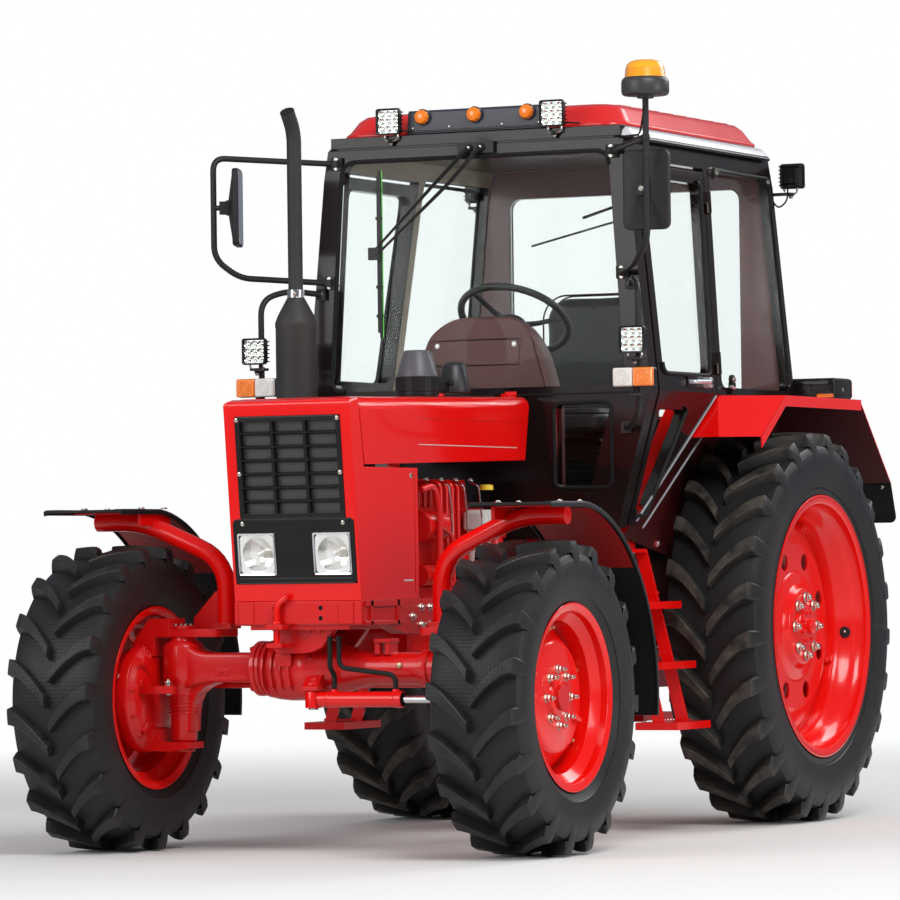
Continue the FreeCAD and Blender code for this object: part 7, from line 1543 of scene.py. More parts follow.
for side in (1, -1):
    quarter = [(-0.232, 1.690), (0.372, 1.690), (0.335, 2.515), (-0.232, 2.515)]
    loop = bent([on_side(x, z, 0.003, side) for x, z in quarter + quarter[:2]], 0.032, 5)[7:-1]
    fittings.tube(loop, 0.0075, rubber_black, 8, ends=False)
    for x, z in ((-0.200, 2.500), (0.325, 2.506), (0.370, 1.705)):
        spot = on_side(x, z, 0.002, side)
        fittings.drum(spot, (0, side, 0), 0.020, 0.014, wiper_black, 18, 0.004)
        fittings.nut((spot[0], spot[1] + 0.013 * side, spot[2]), (0, side, 0), 0.014, bright_nut,
                     height=0.008)
    spot = Vector(on_side(0.372, 1.672, 0.006, side))
    fittings.block(spot - Vector((0.018, 0.008, 0.022)), spot + Vector((0.018, 0.008, 0.022)), wiper_black)
    fittings.tube(bent([spot, spot + Vector((0.004, 0.012 * side, 0.0)),
                        spot + Vector((0.052, 0.016 * side, 0.006))],
                       0.01), 0.006, silver_trim, 10)
fittings.reshape(lambda point: at(*point))
fittings.finish("cab_fittings", "chassis", sharp=35)

for side, hand in ((1, "left"), (-1, "right")):
    door = Build()
    upper = [(1.018, 1.716), (1.018, 2.458), (0.470, 2.458), (0.566, 1.716)]
    loop = bent([on_side(x, z, 0.003, side) for x, z in upper + upper[:2]], 0.040, 5)[7:-1]
    door.tube(loop, 0.0085, rubber_black, 8, ends=False)
    lower = [(1.031, 1.186), (1.031, 1.586), (0.772, 1.586), (0.930, 1.186)]
    loop = bent([on_side(x, z, 0.003, side) for x, z in lower + lower[:2]], 0.022, 5)[7:-1]
    door.tube(loop, 0.0085, rubber_black, 8, ends=False)
    # A silver line along the door's edge: painted highlight on the gasket.
    gasket_highlight = [on_side(x, z, 0.002, side) for x, z in ((1.000, 1.165), (0.522, 1.640))]
    door.tube(gasket_highlight, 0.0045, silver_trim, 8)
    grip = Vector(on_side(0.700, 1.688, 0.0, side))
    handle = [grip + Vector((x, out * side, z)) for x, out, z in
              ((0.075, 0.002, 0.0), (0.070, 0.030, 0.0), (-0.060, 0.034, 0.002), (-0.068, 0.002, 0.0))]
    door.tube(bent(handle, 0.015, 4), 0.0085, silver_trim, 12)
    door.drum(grip + Vector((-0.066, 0, 0)), (0, side, 0), 0.021, 0.034, silver_trim, 22, 0.005)
    door.drum(grip + Vector((-0.066, 0.034 * side, 0)), (0, side, 0), 0.008, 0.004, wiper_black, 14)
    door.block(grip + Vector((-0.100, -0.002, -0.024)), grip + Vector((0.095, 0.002 + 0.003 * side, 0.024)),
               cab_black)
    door.reshape(lambda point: at(*point))
    door.finish("door_fittings_" + hand, "door_%s_body" % hand, sharp=35)


# Seat
# Vinyl-covered foam cushion and backrest on a sheet-metal pedestal: each pad is blown up by cloth pressure
# from a slightly smaller block, then gets its piping.
seat_vinyl = finish("seat_vinyl", (0.020, 0.021, 0.022), 0.42, dirt=0.1, grain=220, relief=0.35, shine=0.4,
                    dirt_colour=(0.06, 0.06, 0.058), edge=0.002)


def blown_pad(name, low, high, swell):
    """A pad swollen by cloth pressure inside the given box, never further than swell."""
    build = Build()
    inset = swell * 0.75
    low, high = Vector(low), Vector(high)
    flat = min(range(3), key=lambda i: (high - low)[i])
    if flat == 0:
        build.prism(rounded((low.y + inset, low.z + inset), (high.y - inset, high.z - inset),
                            (0.03, 0.03, 0.10, 0.10), 8), "X", low.x + inset, high.x - inset, seat_vinyl)
    else:
        build.prism(rounded((low.x + inset, low.y + inset), (high.x - inset, high.y - inset), 0.06, 8), "Z",
                    low.z + inset, high.z - inset, seat_vinyl)
    build.reshape(lambda point: at(*point))
    pad = build.finish(name, "chassis", bevel=0.02, parts=False)
    bpy.context.view_layer.objects.active = pad
    remesh = pad.modifiers.new("even_skin", "REMESH")
    remesh.mode, remesh.voxel_size = "VOXEL", 0.006
    applied(pad)
    resting = [vertex.co.copy() for vertex in pad.data.vertices]
    cloth = pad.modifiers.new("blown", "CLOTH")
    cloth.settings.use_pressure, cloth.settings.uniform_pressure_force = True, 4
    cloth.settings.effector_weights.gravity = 0
    for number in range(1, 21):
        bpy.context.scene.frame_set(number)
    applied(pad)
    bpy.context.scene.frame_set(1)
    for vertex, was in zip(pad.data.vertices, resting):
        move = vertex.co - was
        if move.length > swell:
            vertex.co = was + move * (swell / move.length)
    smooth = pad.modifiers.new("smooth", "SUBSURF")
    smooth.levels = smooth.render_levels = 1
    applied(pad)
    for face in pad.data.polygons:
        face.use_smooth = True
    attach(pad, "chassis")
    return pad


def applied(piece):
    """Turn the piece's modifiers into its mesh."""
    graph = bpy.context.evaluated_depsgraph_get()
    mesh = bpy.data.meshes.new_from_object(piece.evaluated_get(graph), depsgraph=graph)
    piece.modifiers.clear()
    piece.data = mesh


cushion = blown_pad("seat_cushion", (0.066, -0.233, 1.500), (0.508, 0.233, 1.608), 0.013)
backrest = blown_pad("seat_backrest", (-0.058, -0.233, 1.520), (0.056, 0.233, 2.078), 0.013)
for pad in (cushion, backrest):
    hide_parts("seat_pads")
piping = Build()
for z in (1.522, 1.588):
    line = [(x, y, z) for x, y in rounded((0.070, -0.229), (0.504, 0.229), 0.035)]
    piping.tube(line, 0.0035, rubber_black, 8, closed=True)
for x in (-0.040, 0.038):
    line = [(x, y, z) for y, z in rounded((-0.227, 1.530), (0.227, 2.070), (0.04, 0.04, 0.10, 0.10), 8)]
    piping.tube(line, 0.0035, rubber_black, 8, closed=True)
piping.block((-0.050, -0.20, 1.506), (0.058, 0.20, 1.526), rubber_black)
piping.reshape(lambda point: at(*point))
piping.finish("seat_piping", "chassis")

pedestal = Build()
pedestal.loft([[(x, y, z) for x, y in rounded((0.068 + a, -0.170 + a), (0.390 - a, 0.170 - a), 0.025)]
               for a, z in ((0.0, 1.141), (0.0, 1.200), (0.018, 1.215), (0.018, 1.300),
                            (0.010, 1.310))], cab_black)
for k in range(7):
    z = 1.312 + 0.023 * k
    for a, dz in ((0.006, 0.0), (0.020, 0.011)):
        pedestal.prism(rounded((0.072 + a, -0.166 + a), (0.386 - a, 0.166 - a), 0.03), "Z", z + dz,
                       z + dz + 0.0115,
                       rubber_black)
pedestal.block((0.075, -0.165, 1.472), (0.385, 0.165, 1.4995), cab_black)
pedestal.tube(bent([(0.20, 0.150, 1.475), (0.34, 0.166, 1.470), (0.388, 0.160, 1.490)], 0.03), 0.007,
              bright_steel, 10)
for y in (-0.150, 0.150):
    for x in (0.090, 0.368):
        pedestal.nut((x, y, 1.2005), (0, 0, 1), 0.016, bright_nut, height=0.009)
pedestal.reshape(lambda point: at(*point))
pedestal_piece = pedestal.finish("seat_pedestal_shape", "chassis", sharp=35)
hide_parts("seat_pedestal")


# Steering wheel and dashboard
# A dark moulded wheel with finger waves and three spokes on a boss; the dashboard is a maroon steel
# box with a screwed cover towards the windshield and the instruments towards the driver.
wheel_look = finish("wheel_grip", (0.010, 0.010, 0.011), 0.38, dirt=0.1, grain=200, relief=0.2, shine=0.4,
                    edge=0.002)
wheel = Build()
SLOPE = math.radians(34)
WHEEL_AT = Vector((0.800, 0.0, 1.945))
TURN = Matrix.Rotation(-SLOPE, 3, "Y")
rows = []
for n in range(96):
    turn = 2 * math.pi * n / 96
    wave = 0.0009 * (1 - math.cos(48 * turn)) if 0.2 < turn % math.pi < 2.9 else 0.0
    row = []
    for m in range(14):
        lap = 2 * math.pi * m / 14
        thick = 0.0143 - (wave if math.cos(lap) < 0.2 else 0.0)
        out = 0.210 + thick * math.cos(lap)
        row.append((out * math.cos(turn), out * math.sin(turn), thick * math.sin(lap)))
    rows.append(row)
rows.append(rows[0])
wheel.grid(rows, wheel_look, closed=True)
for turn in (90, 210, 330):
    spin = Matrix.Rotation(math.radians(turn), 3, "Z")
    line = [spin @ Vector(spot) for spot in ((0.040, 0, -0.030), (0.100, 0, -0.024), (0.165, 0, -0.010),
                                             (0.205, 0, 0))]
    wheel.tube(line, [0.013, 0.010, 0.009, 0.011], wheel_look, 12)
wheel.lathe([(-0.052, 0.001), (-0.052, 0.034), (-0.046, 0.044), (-0.024, 0.050), (-0.010, 0.046),
             (-0.003, 0.034),
             (0.000, 0.016), (0.000, 0.001)], (0, 0, 0), wheel_look, 36, axis="Z")
wheel.reshape(lambda point: at(*(WHEEL_AT + TURN @ point)))
wheel_piece = wheel.finish("steering_wheel_shape", "steering_wheel_body", sharp=50)
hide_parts("steering_wheel")

board = Build()
dial_face = finish("dial_face", (0.012, 0.013, 0.014), 0.15, dirt=0.05, coat=0.5, edge=0.0)
dial_mark = finish("dial_mark", (0.75, 0.76, 0.74), 0.4, dirt=0.05, edge=0.0)


def board_line(x, inset, drop):
    """The dashboard's outline in a plane across the tractor, its upper corners rounded."""
    line = bent([(x, 0.276 - inset, 1.141), (x, 0.276 - inset, 1.620), (x, 0.222 - inset, 1.835 - drop),
                 (x, 0.140 - inset, 1.944 - drop - inset), (x, -0.140 + inset, 1.944 - drop - inset),
                 (x, -0.250 + inset, 1.870 - drop), (x, -0.277 + inset, 1.700), (x, -0.277 + inset,
                                                                                 1.141)], 0.06, 6)
    return line


board.loft([board_line(1.0715, 0.014, 0.0), board_line(1.066, 0.004, 0.0), board_line(1.056, 0.0, 0.0),
            board_line(0.960, 0.0, 0.020), board_line(0.950, 0.006, 0.024)], dash_maroon)
cover = [(-0.236, 1.762), (0.138, 1.762), (0.150, 1.858), (-0.224, 1.858)]
board.tube([(1.0718, y, z) for y, z in cover], 0.0022, seam_and_hole_shade, 6, closed=True)
board.tube([(1.0718, 0.196, 1.860), (1.0718, 0.258, 1.640), (1.0718, 0.262, 1.180)], 0.002, seam_and_hole_shade, 6)
for y in (-0.198, 0.122):
    board.lathe([(1.070, 0.001), (1.070, 0.0105), (1.0735, 0.0095), (1.0755, 0.004), (1.0755, 0.001)],
                (0, y, 1.838), lamp_white, 20, axis="X")
for y, z, size in ((-0.115, 1.740, 0.052), (0.0, 1.745, 0.058), (0.115, 1.740, 0.052)):
    board.drum((0.951, y, z), (-1, 0, 0), size, 0.006, nose_black, 36, 0.002)
    board.drum((0.945, y, z), (-1, 0, 0), size * 0.88, 0.0015, dial_face, 36)
    for n in range(9):
        turn = math.radians(-30 + 30 * n)
        spot = Vector((0.9432, y + size * 0.72 * math.cos(turn), z + size * 0.72 * math.sin(turn)))
        board.drum(spot, (-1, 0, 0), 0.0016, 0.0008, dial_mark, 6)
    board.tube([(0.9425, y, z), (0.9425, y + size * 0.40, z + size * 0.45)], 0.0009, dial_mark, 6)
for n in range(6):
    y = -0.150 + 0.060 * n
    board.prism(rounded((y - 0.014, 1.640), (y + 0.014, 1.668), 0.003), "X", 0.944, 0.951, nose_black)
board.lathe([(0.0, 0.001), (0.0, 0.048), (0.150, 0.036), (0.190, 0.030), (0.210, 0.028), (0.210, 0.001)],
            (0, 0, 0), moulded_black, 28, axis="Z")
column = len(board.points) - 28 * 6
way = TURN @ Vector((0, 0, 1))
board.reshape(lambda point: WHEEL_AT - way * 0.048 + (TURN @ Vector((point.x, point.y, point.z - 0.212))),
              column)
board.reshape(lambda point: at(*point))
board_piece = board.finish("dashboard_shape", "chassis", sharp=35)
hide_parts("dashboard")


# Cab lining
# The posts and walls are trimmed inside with maroon and beige sheet.
lining_maroon = finish("lining_maroon", (0.085, 0.012, 0.012), 0.35, dirt=0.1, grain=160, relief=0.2,
                       coat=0.2,
                       dirt_colour=(0.12, 0.05, 0.045))
lining_beige = finish("lining_beige", (0.30, 0.25, 0.185), 0.45, dirt=0.2, grain=160, relief=0.25,
                      dirt_colour=(0.2, 0.17, 0.13))
for name, look, chosen in (("cab_rear", lining_maroon, lambda face: face.normal.x > 0.5),
                           ("cab_sides", lining_beige, lambda face: face.normal.y * face.center.y < -0.01),
                           ("cab_front", lining_beige, lambda face: face.normal.x < -0.5)):
    cad[name].data.materials.append(look)
    for face in cad[name].data.polygons:
        if chosen(face):
            face.material_index = len(cad[name].data.materials) - 1


# Controls in the cab
# Gear and range levers through rubber boots, three pedals on bent arms and a parking lever, all on the
# cab's floor.
controls = Build()
for x, y, lean, high in ((0.560, 0.060, 0.10, 1.745), (0.500, -0.270, -0.02, 1.700),
                         (0.300, -0.300, 0.05, 1.690)):
    controls.lathe([(1.141, 0.062), (1.150, 0.060), (1.156, 0.048), (1.166, 0.050), (1.172, 0.038),
                    (1.182, 0.040),
                    (1.190, 0.026), (1.215, 0.018), (1.215, 0.001)], (x, y, 0), rubber_black, 28, axis="Z")
    controls.tube(bent([(x, y, 1.150), (x + lean * 0.2, y, 1.40), (x + lean, y, high)], 0.08), 0.008,
                  bright_steel, 12)
    controls.lathe([(-0.024, 0.001), (-0.024, 0.012), (-0.012, 0.021), (0.006, 0.025), (0.020, 0.020),
                    (0.028, 0.010),
                    (0.030, 0.001)], (x + lean, y, high), moulded_black, 24, axis="Z")
for y in (0.205, -0.130, -0.215):
    controls.tube(bent([(1.000, y, 1.290), (0.960, y, 1.180), (0.905, y, 1.225)], 0.03), 0.009, cab_black,
                  12)
    controls.block((0.860, y - 0.034, 1.222), (0.930, y + 0.034, 1.234), rubber_black,
                   Matrix.Rotation(math.radians(-32), 3, "Y"))
controls.reshape(lambda point: at(*point))
controls.finish("cab_controls", "chassis", sharp=35)


# Bonnet and hood
# Pressed sheet steel: the bonnet's and the nose's corners are rounded over, and the bonnet's rear
# lower corner has a small step where it meets the cab.


def softened(node_name, name, body, look, width, near):
    """A copy of a CAD piece whose outer edges named by near(a, b) are rounded over."""
    source = bpy.data.objects[node_name]
    mesh = source.data.copy()
    mesh.transform(source.matrix_world)
    shape = bmesh.new()
    shape.from_mesh(mesh)
    bmesh.ops.remove_doubles(shape, verts=shape.verts, dist=0.0001)
    bmesh.ops.dissolve_limit(shape, angle_limit=math.radians(3), verts=shape.verts, edges=shape.edges)
    chosen = []
    for edge in shape.edges:
        if len(edge.link_faces) == 2 and edge.is_convex and edge.calc_face_angle(0) > 0.5:
            if near(*[vertex.co for vertex in edge.verts]):
                chosen.append(edge)
    bmesh.ops.bevel(shape, geom=chosen, offset=width, segments=5, profile=0.5, affect="EDGES",
                    clamp_overlap=True)
    shape.to_mesh(mesh)
    shape.free()
    mesh.materials.clear()
    mesh.materials.append(look)
    piece = bpy.data.objects.new(name, mesh)
    bpy.context.scene.collection.objects.link(piece)
    edge = piece.modifiers.new("edge", "BEVEL")
    edge.width, edge.segments, edge.limit_method, edge.angle_limit = 0.0015, 2, "ANGLE", math.radians(40)
    for face in mesh.polygons:
        face.use_smooth = True
    mesh.set_sharp_from_angle(angle=math.radians(38))
    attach(piece, body)
    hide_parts(node_name)
    return piece


origin = at(0, 0, 0)


def long_edge(low_z):
    """Edges along the tractor, high up and far from the middle."""
    def near(a, b):
        a, b = a - origin, b - origin
        return (abs(a.x - b.x) > 0.10 and abs(a.y - b.y) < 0.05 and min(a.z, b.z) > low_z
                and min(abs(a.y), abs(b.y)) > 0.20)
    return near


bonnet_piece = softened("bonnet", "bonnet_shape", "bonnet_body", red_enamel, 0.030, long_edge(1.50))


def nose_edge(a, b):
    """The hood frame's upper outer edges and its front corners above the lamps."""
    a, b = a - origin, b - origin
    along_x, along_y = abs(a.x - b.x), abs(a.y - b.y)
    high = min(a.z, b.z) > 1.45
    top_side = along_x > 0.05 and min(abs(a.y), abs(b.y)) > 0.235 and high
    top_front = along_y > 0.30 and high and min(a.x, b.x) > 2.50
    return top_side or top_front


hood_piece = softened("hood_frame", "hood_frame_shape", "chassis", red_enamel, 0.012, nose_edge)


# Air pre-cleaner and exhaust
# A ribbed cast ring with a tapered cover stands on the bonnet beside a second, lower inlet dome; the
# muffler is a seamed sheet-steel drum with clamped pipes, its tail pipe bent forward.
soot_black = finish("soot_black", (0.022, 0.022, 0.023), 0.5, dirt=0.25, grain=240, relief=0.4, shine=0.35,
                    dirt_colour=(0.09, 0.07, 0.055), edge=0.003)
cover_grey = finish("cover_grey", (0.085, 0.085, 0.095), 0.35, dirt=0.15, shine=0.4,
                    dirt_colour=(0.15, 0.14, 0.13))
cleaner = Build()
CLEAN = (1.655, 0.0, 0.0)
cleaner.lathe([(1.6265, 0.001), (1.6265, 0.074), (1.640, 0.078), (1.648, 0.076), (1.648, 0.080),
               (1.702, 0.080),
               (1.7025, 0.001)], CLEAN, moulded_black, 64, axis="Z")
cleaner.lathe([(1.7025, 0.001), (1.7025, 0.0785), (1.708, 0.0775), (1.794, 0.0525), (1.7985, 0.049),
               (1.800, 0.044),
               (1.800, 0.001)], CLEAN, cover_grey, 16, axis="Z")
for n in range(40):
    spin = Matrix.Rotation(2 * math.pi * n / 40, 3, "Z")
    rib = [Vector(spot) for spot in ((0.079, -0.002, 1.652), (0.082, 0.0, 1.654), (0.079, 0.002, 1.652))]
    top = [spot + Vector((0, 0, 0.046)) for spot in rib]
    cleaner.loft([[spin @ spot + Vector(CLEAN) for spot in rib],
                  [spin @ spot + Vector(CLEAN) for spot in top]],
                 moulded_black)
# The lower inlet dome and the small catch knob behind it
cleaner.lathe([(1.648, 0.001), (1.648, 0.060), (1.660, 0.062), (1.700, 0.055), (1.745, 0.044),
               (1.757, 0.036),
               (1.762, 0.020), (1.762, 0.001)], (1.440, 0.045, 0), dark_paint, 48, axis="Z")
cleaner.lathe([(1.648, 0.001), (1.648, 0.011), (1.672, 0.009), (1.676, 0.016), (1.686, 0.017),
               (1.692, 0.010),
               (1.693, 0.001)], (1.540, 0.074, 0), moulded_black, 28, axis="Z")
cleaner.reshape(lambda point: at(*point))
cleaner_piece = cleaner.finish("pre_cleaner_shape", "bonnet_body", sharp=40)
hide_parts("pre_cleaner")

pipe = Build()
MUF_X, MUF_Y = 1.945, -0.350
muffler = [(1.340, 0.001), (1.340, 0.030), (1.345, 0.064), (1.352, 0.0755), (1.358, 0.0772),
           (1.364, 0.0765),
           (1.368, 0.0755), (1.880, 0.0755), (1.888, 0.0772), (1.898, 0.0772), (1.906, 0.0755), (1.930,
                                                                                                 0.066),
           (1.985, 0.036), (1.994, 0.031), (1.994, 0.001)]
pipe.lathe(muffler, (MUF_X, MUF_Y, 0), soot_black, 56, axis="Z")
pipe.block((MUF_X - 0.006, MUF_Y + 0.0735, 1.365), (MUF_X + 0.006, MUF_Y + 0.0765, 1.880), soot_black)
tail = bent([(MUF_X, MUF_Y, 1.960), (MUF_X, MUF_Y, 2.600), (MUF_X + 0.052, MUF_Y, 2.672)], 0.05, 8)
pipe.tube(tail, 0.027, soot_black, 28, ends=False)
# A near-black sleeve just inside the tail pipe's mouth: soot, and painted shade.
pipe.tube([tail[-1], tail[-1] + (tail[-2] - tail[-1]).normalized() * 0.06], 0.0245, painted_hole_shade, 28)
pipe.lathe([(1.992, 0.028), (1.992, 0.0315), (2.022, 0.0315), (2.022, 0.028)], (MUF_X, MUF_Y, 0),
           bright_steel, 32,
           axis="Z")
pipe.nut((MUF_X + 0.036, MUF_Y + 0.010, 2.007), (0, 1, 0), 0.013, bright_nut, height=0.008)
pipe.tube(bent([(MUF_X, MUF_Y, 1.350), (MUF_X, MUF_Y, 1.245), (MUF_X - 0.010, MUF_Y + 0.060, 1.232),
                (MUF_X - 0.012, -0.180, 1.232)], 0.05, 6), 0.027, soot_black, 24)
pipe.reshape(lambda point: at(*point))
pipe_piece = pipe.finish("exhaust_shape", "chassis", sharp=35)
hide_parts("exhaust")


# Rear mudguards
# Folded red sheet with a stiff lip, its faces that point down or in towards the tyre painted near-black red
# as painted shade, a silver bead where the guard meets the cab, boxes for the tail lamps on top and rubber
# flaps bolted to the tail.
painted_shade_underside = finish("painted_shade_underside", (0.055, 0.003, 0.004), 0.5, dirt=0.3, grain=120, relief=0.5, shine=0.3,
                   dirt_colour=(0.04, 0.03, 0.025), edge=0.002)
guards = cad["rear_fenders"].data
guards.materials.append(painted_shade_underside)
# Faces that point down, or in towards the tyre, take the near-black red: painted shade under the guard.
for face in guards.polygons:
    if face.normal.z < -0.15 or (face.normal.z < 0.2 and abs(face.center.y) < 0.60):
        face.material_index = 1
for side, hand in ((1, "left"), (-1, "right")):
    guard = Build()
    bead = [on_side(x, z, 0.004, side) for x, z in ((0.414, 1.638), (0.930, 1.140))]
    guard.tube(bead, 0.0042, silver_trim, 8)
    for x, z in ((-0.300, 1.6445), (0.240, 1.6445), (0.330, 1.6445)):
        guard.nut((x, 0.560 * side if x > 0 else 0.530 * side, z), (0, 0, 1), 0.014, bright_nut,
                  height=0.008)
    box_low, box_high = sorted((0.642 * side, 0.878 * side))
    guard.loft([[(x, y, z) for x, y in rounded((-0.469 + a, box_low + a), (-0.293 - a, box_high - a),
                                               0.012)]
                for a, z in ((0.003, 1.6435), (0.003, 1.700), (0.0, 1.701), (0.0, 1.718), (0.003, 1.724),
                             (0.010, 1.7265))], nose_black)
    guard.nut((-0.380, 0.8755 * side, 1.680), (0, side, 0), 0.013, bright_nut, height=0.0035)
    guard.block((-0.335, min(0.800 * side, 0.868 * side), 1.650),
                (-0.2925, max(0.800 * side, 0.868 * side), 1.664),
                amber_cap)
    guard.reshape(lambda point: at(*point))
    guard_piece = guard.finish("guard_fittings_" + hand, "chassis", sharp=35)
    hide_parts("fender_boxes")

    flap = Build()
    flap_y = sorted((0.602 * side, 0.900 * side))
    outline = rounded((flap_y[0], -0.082), (flap_y[1], 0.082), (0.028, 0.028, 0.004, 0.004), 6)
    tilt = math.atan2(0.071, 0.168)
    rows = []
    for out in (-0.0025, 0.0025):
        rows.append([(-0.8615 + out + v * math.tan(tilt) * 0.92, u, 1.239 + v) for u, v in outline])
    flap.loft(rows, rubber_black)
    for y in (0.640, 0.750, 0.860):
        flap.nut((-0.8335, y * side, 1.300), (1, 0, 0), 0.014, bright_nut, height=0.007)
    flap.nut((-0.8640, 0.800 * side, 1.240), (1, 0, 0), 0.018, bright_nut, height=0.009)
    flap.reshape(lambda point: at(*point))
    flap_piece = flap.finish("mud_flap_" + hand, "chassis", sharp=35)
    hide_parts("mud_flaps")


# Steps and fuel tanks
# Welded red steps whose treads have serrated edges; two moulded tanks with straps and caps.
extras = Build()
for side in (1, -1):
    for z, near, far in ((0.397, 0.625, 0.772), (0.640, 0.600, 0.705), (0.873, 0.575, 0.655)):
        count = int((far - near) / 0.012)
        for n in range(count):
            y = (near + 0.006 + 0.012 * n) * side
            tooth = [(y - 0.0048, z + 0.021), (y + 0.0048, z + 0.021), (y + 0.0018, z + 0.029),
                     (y - 0.0018, z + 0.029)]
            extras.prism(tooth, "X", 0.9385, 0.9415, red_enamel)
    extras.nut((0.795, 0.575 * side, 1.080), (1, 0, 0), 0.018, bright_nut, height=0.010)
    tank_low, tank_high = sorted((0.268 * side, 0.464 * side))
    for x in (0.440, 0.770):
        strap = [(x, y, z) for y, z in rounded((tank_low - 0.0045, 0.6865), (tank_high + 0.0045, 1.1055),
                                               0.050, 6)]
        for turn in (0, 0.010):
            extras.tube([(spot[0] + turn, spot[1], spot[2]) for spot in strap], 0.0032, bright_steel, 6,
                        closed=True)
    extras.lathe([(1.100, 0.001), (1.100, 0.040), (1.118, 0.040), (1.118, 0.046), (1.136, 0.044),
                  (1.139, 0.036),
                  (1.139, 0.001)], (0.380, 0.366 * side, 0), moulded_black, 32, axis="Z")
extras.reshape(lambda point: at(*point))
extras.finish("step_and_tank_fittings", "chassis", sharp=35)


# Engine fittings
# Red-painted steel pipes, a pale filter bowl, a small yellow cap, hoses and a light expansion tank
# beside the red engine block.
fit_pale = finish("fit_pale", (0.55, 0.53, 0.50), 0.35, dirt=0.25, relief=0.1,
                  dirt_colour=(0.25, 0.2, 0.17))
fit_yellow = finish("fit_yellow", (0.80, 0.55, 0.03), 0.3, dirt=0.1)
motor = Build()
for side in (1, -1):
    near = 0.232 * side
    motor.tube(bent([(2.120, near, 1.280), (2.030, near + 0.012 * side, 1.300),
                     (1.990, near + 0.012 * side, 1.180),
                     (1.990, near, 0.900)], 0.045), 0.012, red_casting, 14)
    motor.tube(bent([(1.960, near, 1.150), (1.880, near + 0.010 * side, 1.120), (1.860, near, 0.960)],
                    0.04), 0.009,
               rough_casting, 12)
    motor.tube(bent([(1.560, near - 0.02 * side, 0.960), (1.420, near + 0.012 * side, 0.940),
                     (1.280, near - 0.03 * side, 0.930)], 0.05), 0.013, rubber_black, 14)
    motor.tube(bent([(1.620, near - 0.02 * side, 1.020), (1.500, near + 0.008 * side, 1.000),
                     (1.300, near - 0.03 * side, 1.020)], 0.05), 0.012, bright_steel, 14)
for n in range(4):
    x = 2.020 - 0.125 * n
    motor.tube(bent([(x, 0.205, 1.310), (x, 0.236, 1.300), (x - 0.02, 0.238, 1.190),
                     (x - 0.05, 0.225, 1.080)], 0.02, 4),
               0.0035, bright_steel, 8)
    motor.nut((x, 0.205, 1.316), (0, 0, 1), 0.016, bright_nut, height=0.010)
motor.lathe([(0, 0.001), (0, 0.026), (0.016, 0.026), (0.020, 0.020), (0.020, 0.001)], (1.480, 0.190, 1.285),
            fit_yellow,
            24, axis="Z")
motor.loft([[(x, y, z) for x, y in rounded((1.360 + a, 0.125 + a), (1.560 - a, 0.225 - a), 0.02)]
            for a, z in ((0.012, 1.130), (0.0, 1.142), (0.0, 1.198), (0.012, 1.212))], fit_pale)
motor.lathe([(1.010, 0.001), (1.010, 0.030), (1.020, 0.040), (1.120, 0.042), (1.130, 0.036),
             (1.130, 0.001)],
            (1.700, 0.262, 0), fit_pale, 32, axis="Z")
motor.reshape(lambda point: at(*point))
motor.finish("engine_fittings", "chassis", sharp=35)


# Rear linkage and drive outlets
# Forged and tubular arms in red paint with bright threaded adjusters and pins with handles; a guarded drive
# shaft stub and four oil couplings sit on the rear axle's housing.
rear = Build()
shaft_x = -0.300
for n in range(6):
    turn = math.radians(60 * n + 30)
    rear.nut((shaft_x, 0.085 * math.cos(turn), 0.700 + 0.085 * math.sin(turn)), (-1, 0, 0), 0.017,
             bright_nut,
             height=0.010)
for y in (-0.105, -0.065, 0.065, 0.105):
    rear.drum((-0.300, y, 1.010), (-1, 0, 0), 0.0145, 0.036, bright_steel, 18, 0.002)
    rear.drum((-0.334, y, 1.010), (-1, 0, 0), 0.0175, 0.026, moulded_black if y < 0 else dash_maroon, 18,
              0.003)
    rear.tube(bent([(-0.350, y, 0.996), (-0.345, y, 0.960), (-0.310, y, 0.950)], 0.015), 0.0028,
              rubber_black, 8)
rear.reshape(lambda point: at(*point))
rear.finish("rear_housing_fittings", "chassis", sharp=35)

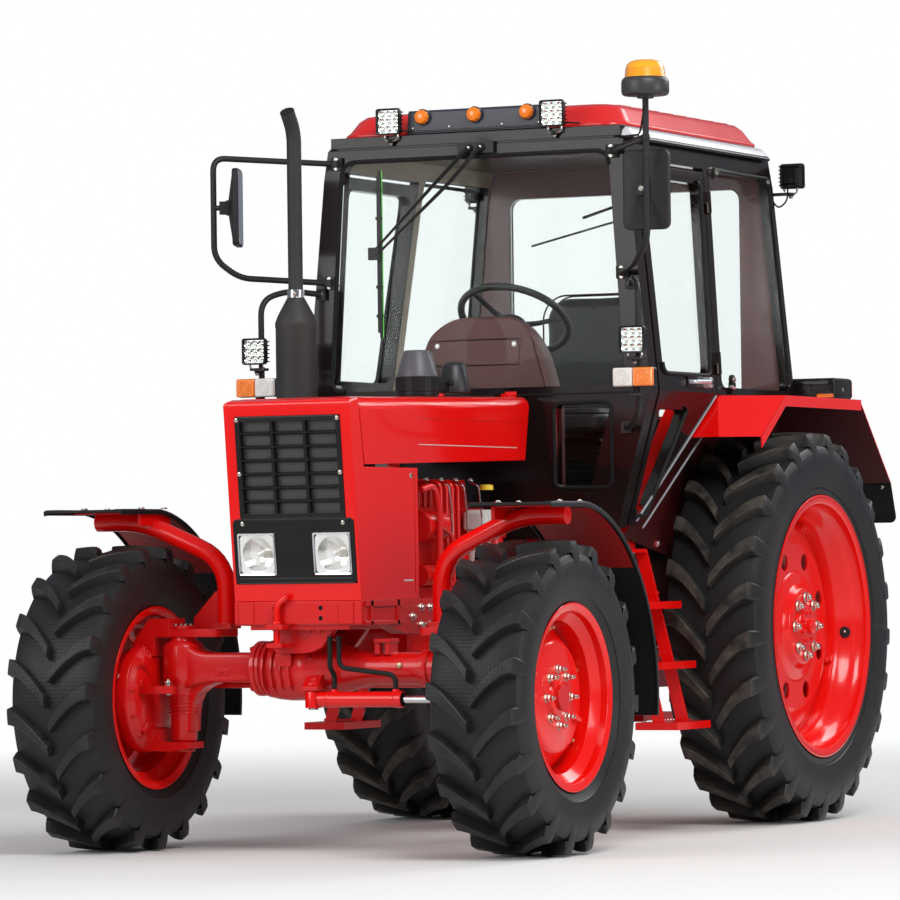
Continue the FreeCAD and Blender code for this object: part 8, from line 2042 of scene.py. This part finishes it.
link_top = Build()
low_pin, high_pin = Vector((-0.373, 0, 0.880)), Vector((-0.514, 0, 1.303))
along = high_pin - low_pin
for share_a, share_b, size, look in ((0.10, 0.26, 0.0125, bright_steel), (0.26, 0.74, 0.0185, red_casting),
                                     (0.74, 0.90, 0.0125, bright_steel)):
    link_top.tube([low_pin + along * share_a, low_pin + along * share_b], size, look, 20)
for n in range(9):
    for base in (0.11, 0.75):
        ring_at = low_pin + along * (base + 0.016 * n)
        link_top.tube([ring_at, ring_at + along.normalized() * 0.002], 0.0142, bright_steel, 16)
for share in (0.27, 0.71):
    spot = low_pin + along * share
    link_top.tube([spot, spot + along.normalized() * 0.014], 0.0215, red_casting, 6)
middle = low_pin + along * 0.5
link_top.tube(bent([middle + Vector((0, -0.019, 0)), middle + Vector((-0.004, -0.024, 0.05)),
                    middle + Vector((-0.028, -0.020, 0.085))], 0.02), 0.005, red_casting, 10)
for spot, size in ((low_pin, 0.0205), (high_pin, 0.0235)):
    link_top.tube([spot + Vector((0, -0.020, 0)), spot + Vector((0, 0.020, 0))], size, red_casting, 28)
    link_top.tube([spot + Vector((0, -0.0215, 0)), spot + Vector((0, 0.0215, 0))], size * 0.55,
                  bright_steel, 20)
link_top.reshape(lambda point: at(*point))
link_piece = link_top.finish("top_link_shape", "top_link_body", sharp=35)
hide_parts("top_link")

rods = Build()
for side in (1, -1):
    for share_a, share_b, size, look in ((0.30, 0.42, 0.0185, bright_steel),
                                         (0.42, 0.66, 0.0215, red_casting)):
        ends = [Vector((-0.590, (0.400 + (0.324 - 0.400) * share) * side, 0.545 + (1.070 - 0.545) * share))
                for share in (share_a, share_b)]
        rods.tube(ends, size, look, 20)
rods.reshape(lambda point: at(*point))
rods.finish("lift_rod_adjusters", "lift_rods_body", sharp=35)

EYE_AT, ROOT_AT = Vector((-0.9035, 0.400, 0.600)), Vector((-0.150, 0.268, 0.480))
ends = Build()
for side in (1, -1):
    collar = [(-0.0235, 0.0155), (-0.0235, 0.0215), (-0.0205, 0.0235), (0.0205, 0.0235), (0.0235, 0.0215),
              (0.0235, 0.0155)]
    ends.lathe(collar + collar[:1], (EYE_AT.x, EYE_AT.y * side, EYE_AT.z), bright_steel, 40, axis="Y")
    ends.drum((ROOT_AT.x, (ROOT_AT.y - 0.026) * side, ROOT_AT.z), (0, side, 0), 0.012, 0.052, bright_steel,
              24, 0.002)
ends.reshape(lambda point: at(*point))
ends.finish("lower_link_pins", "lower_links_body", sharp=35)
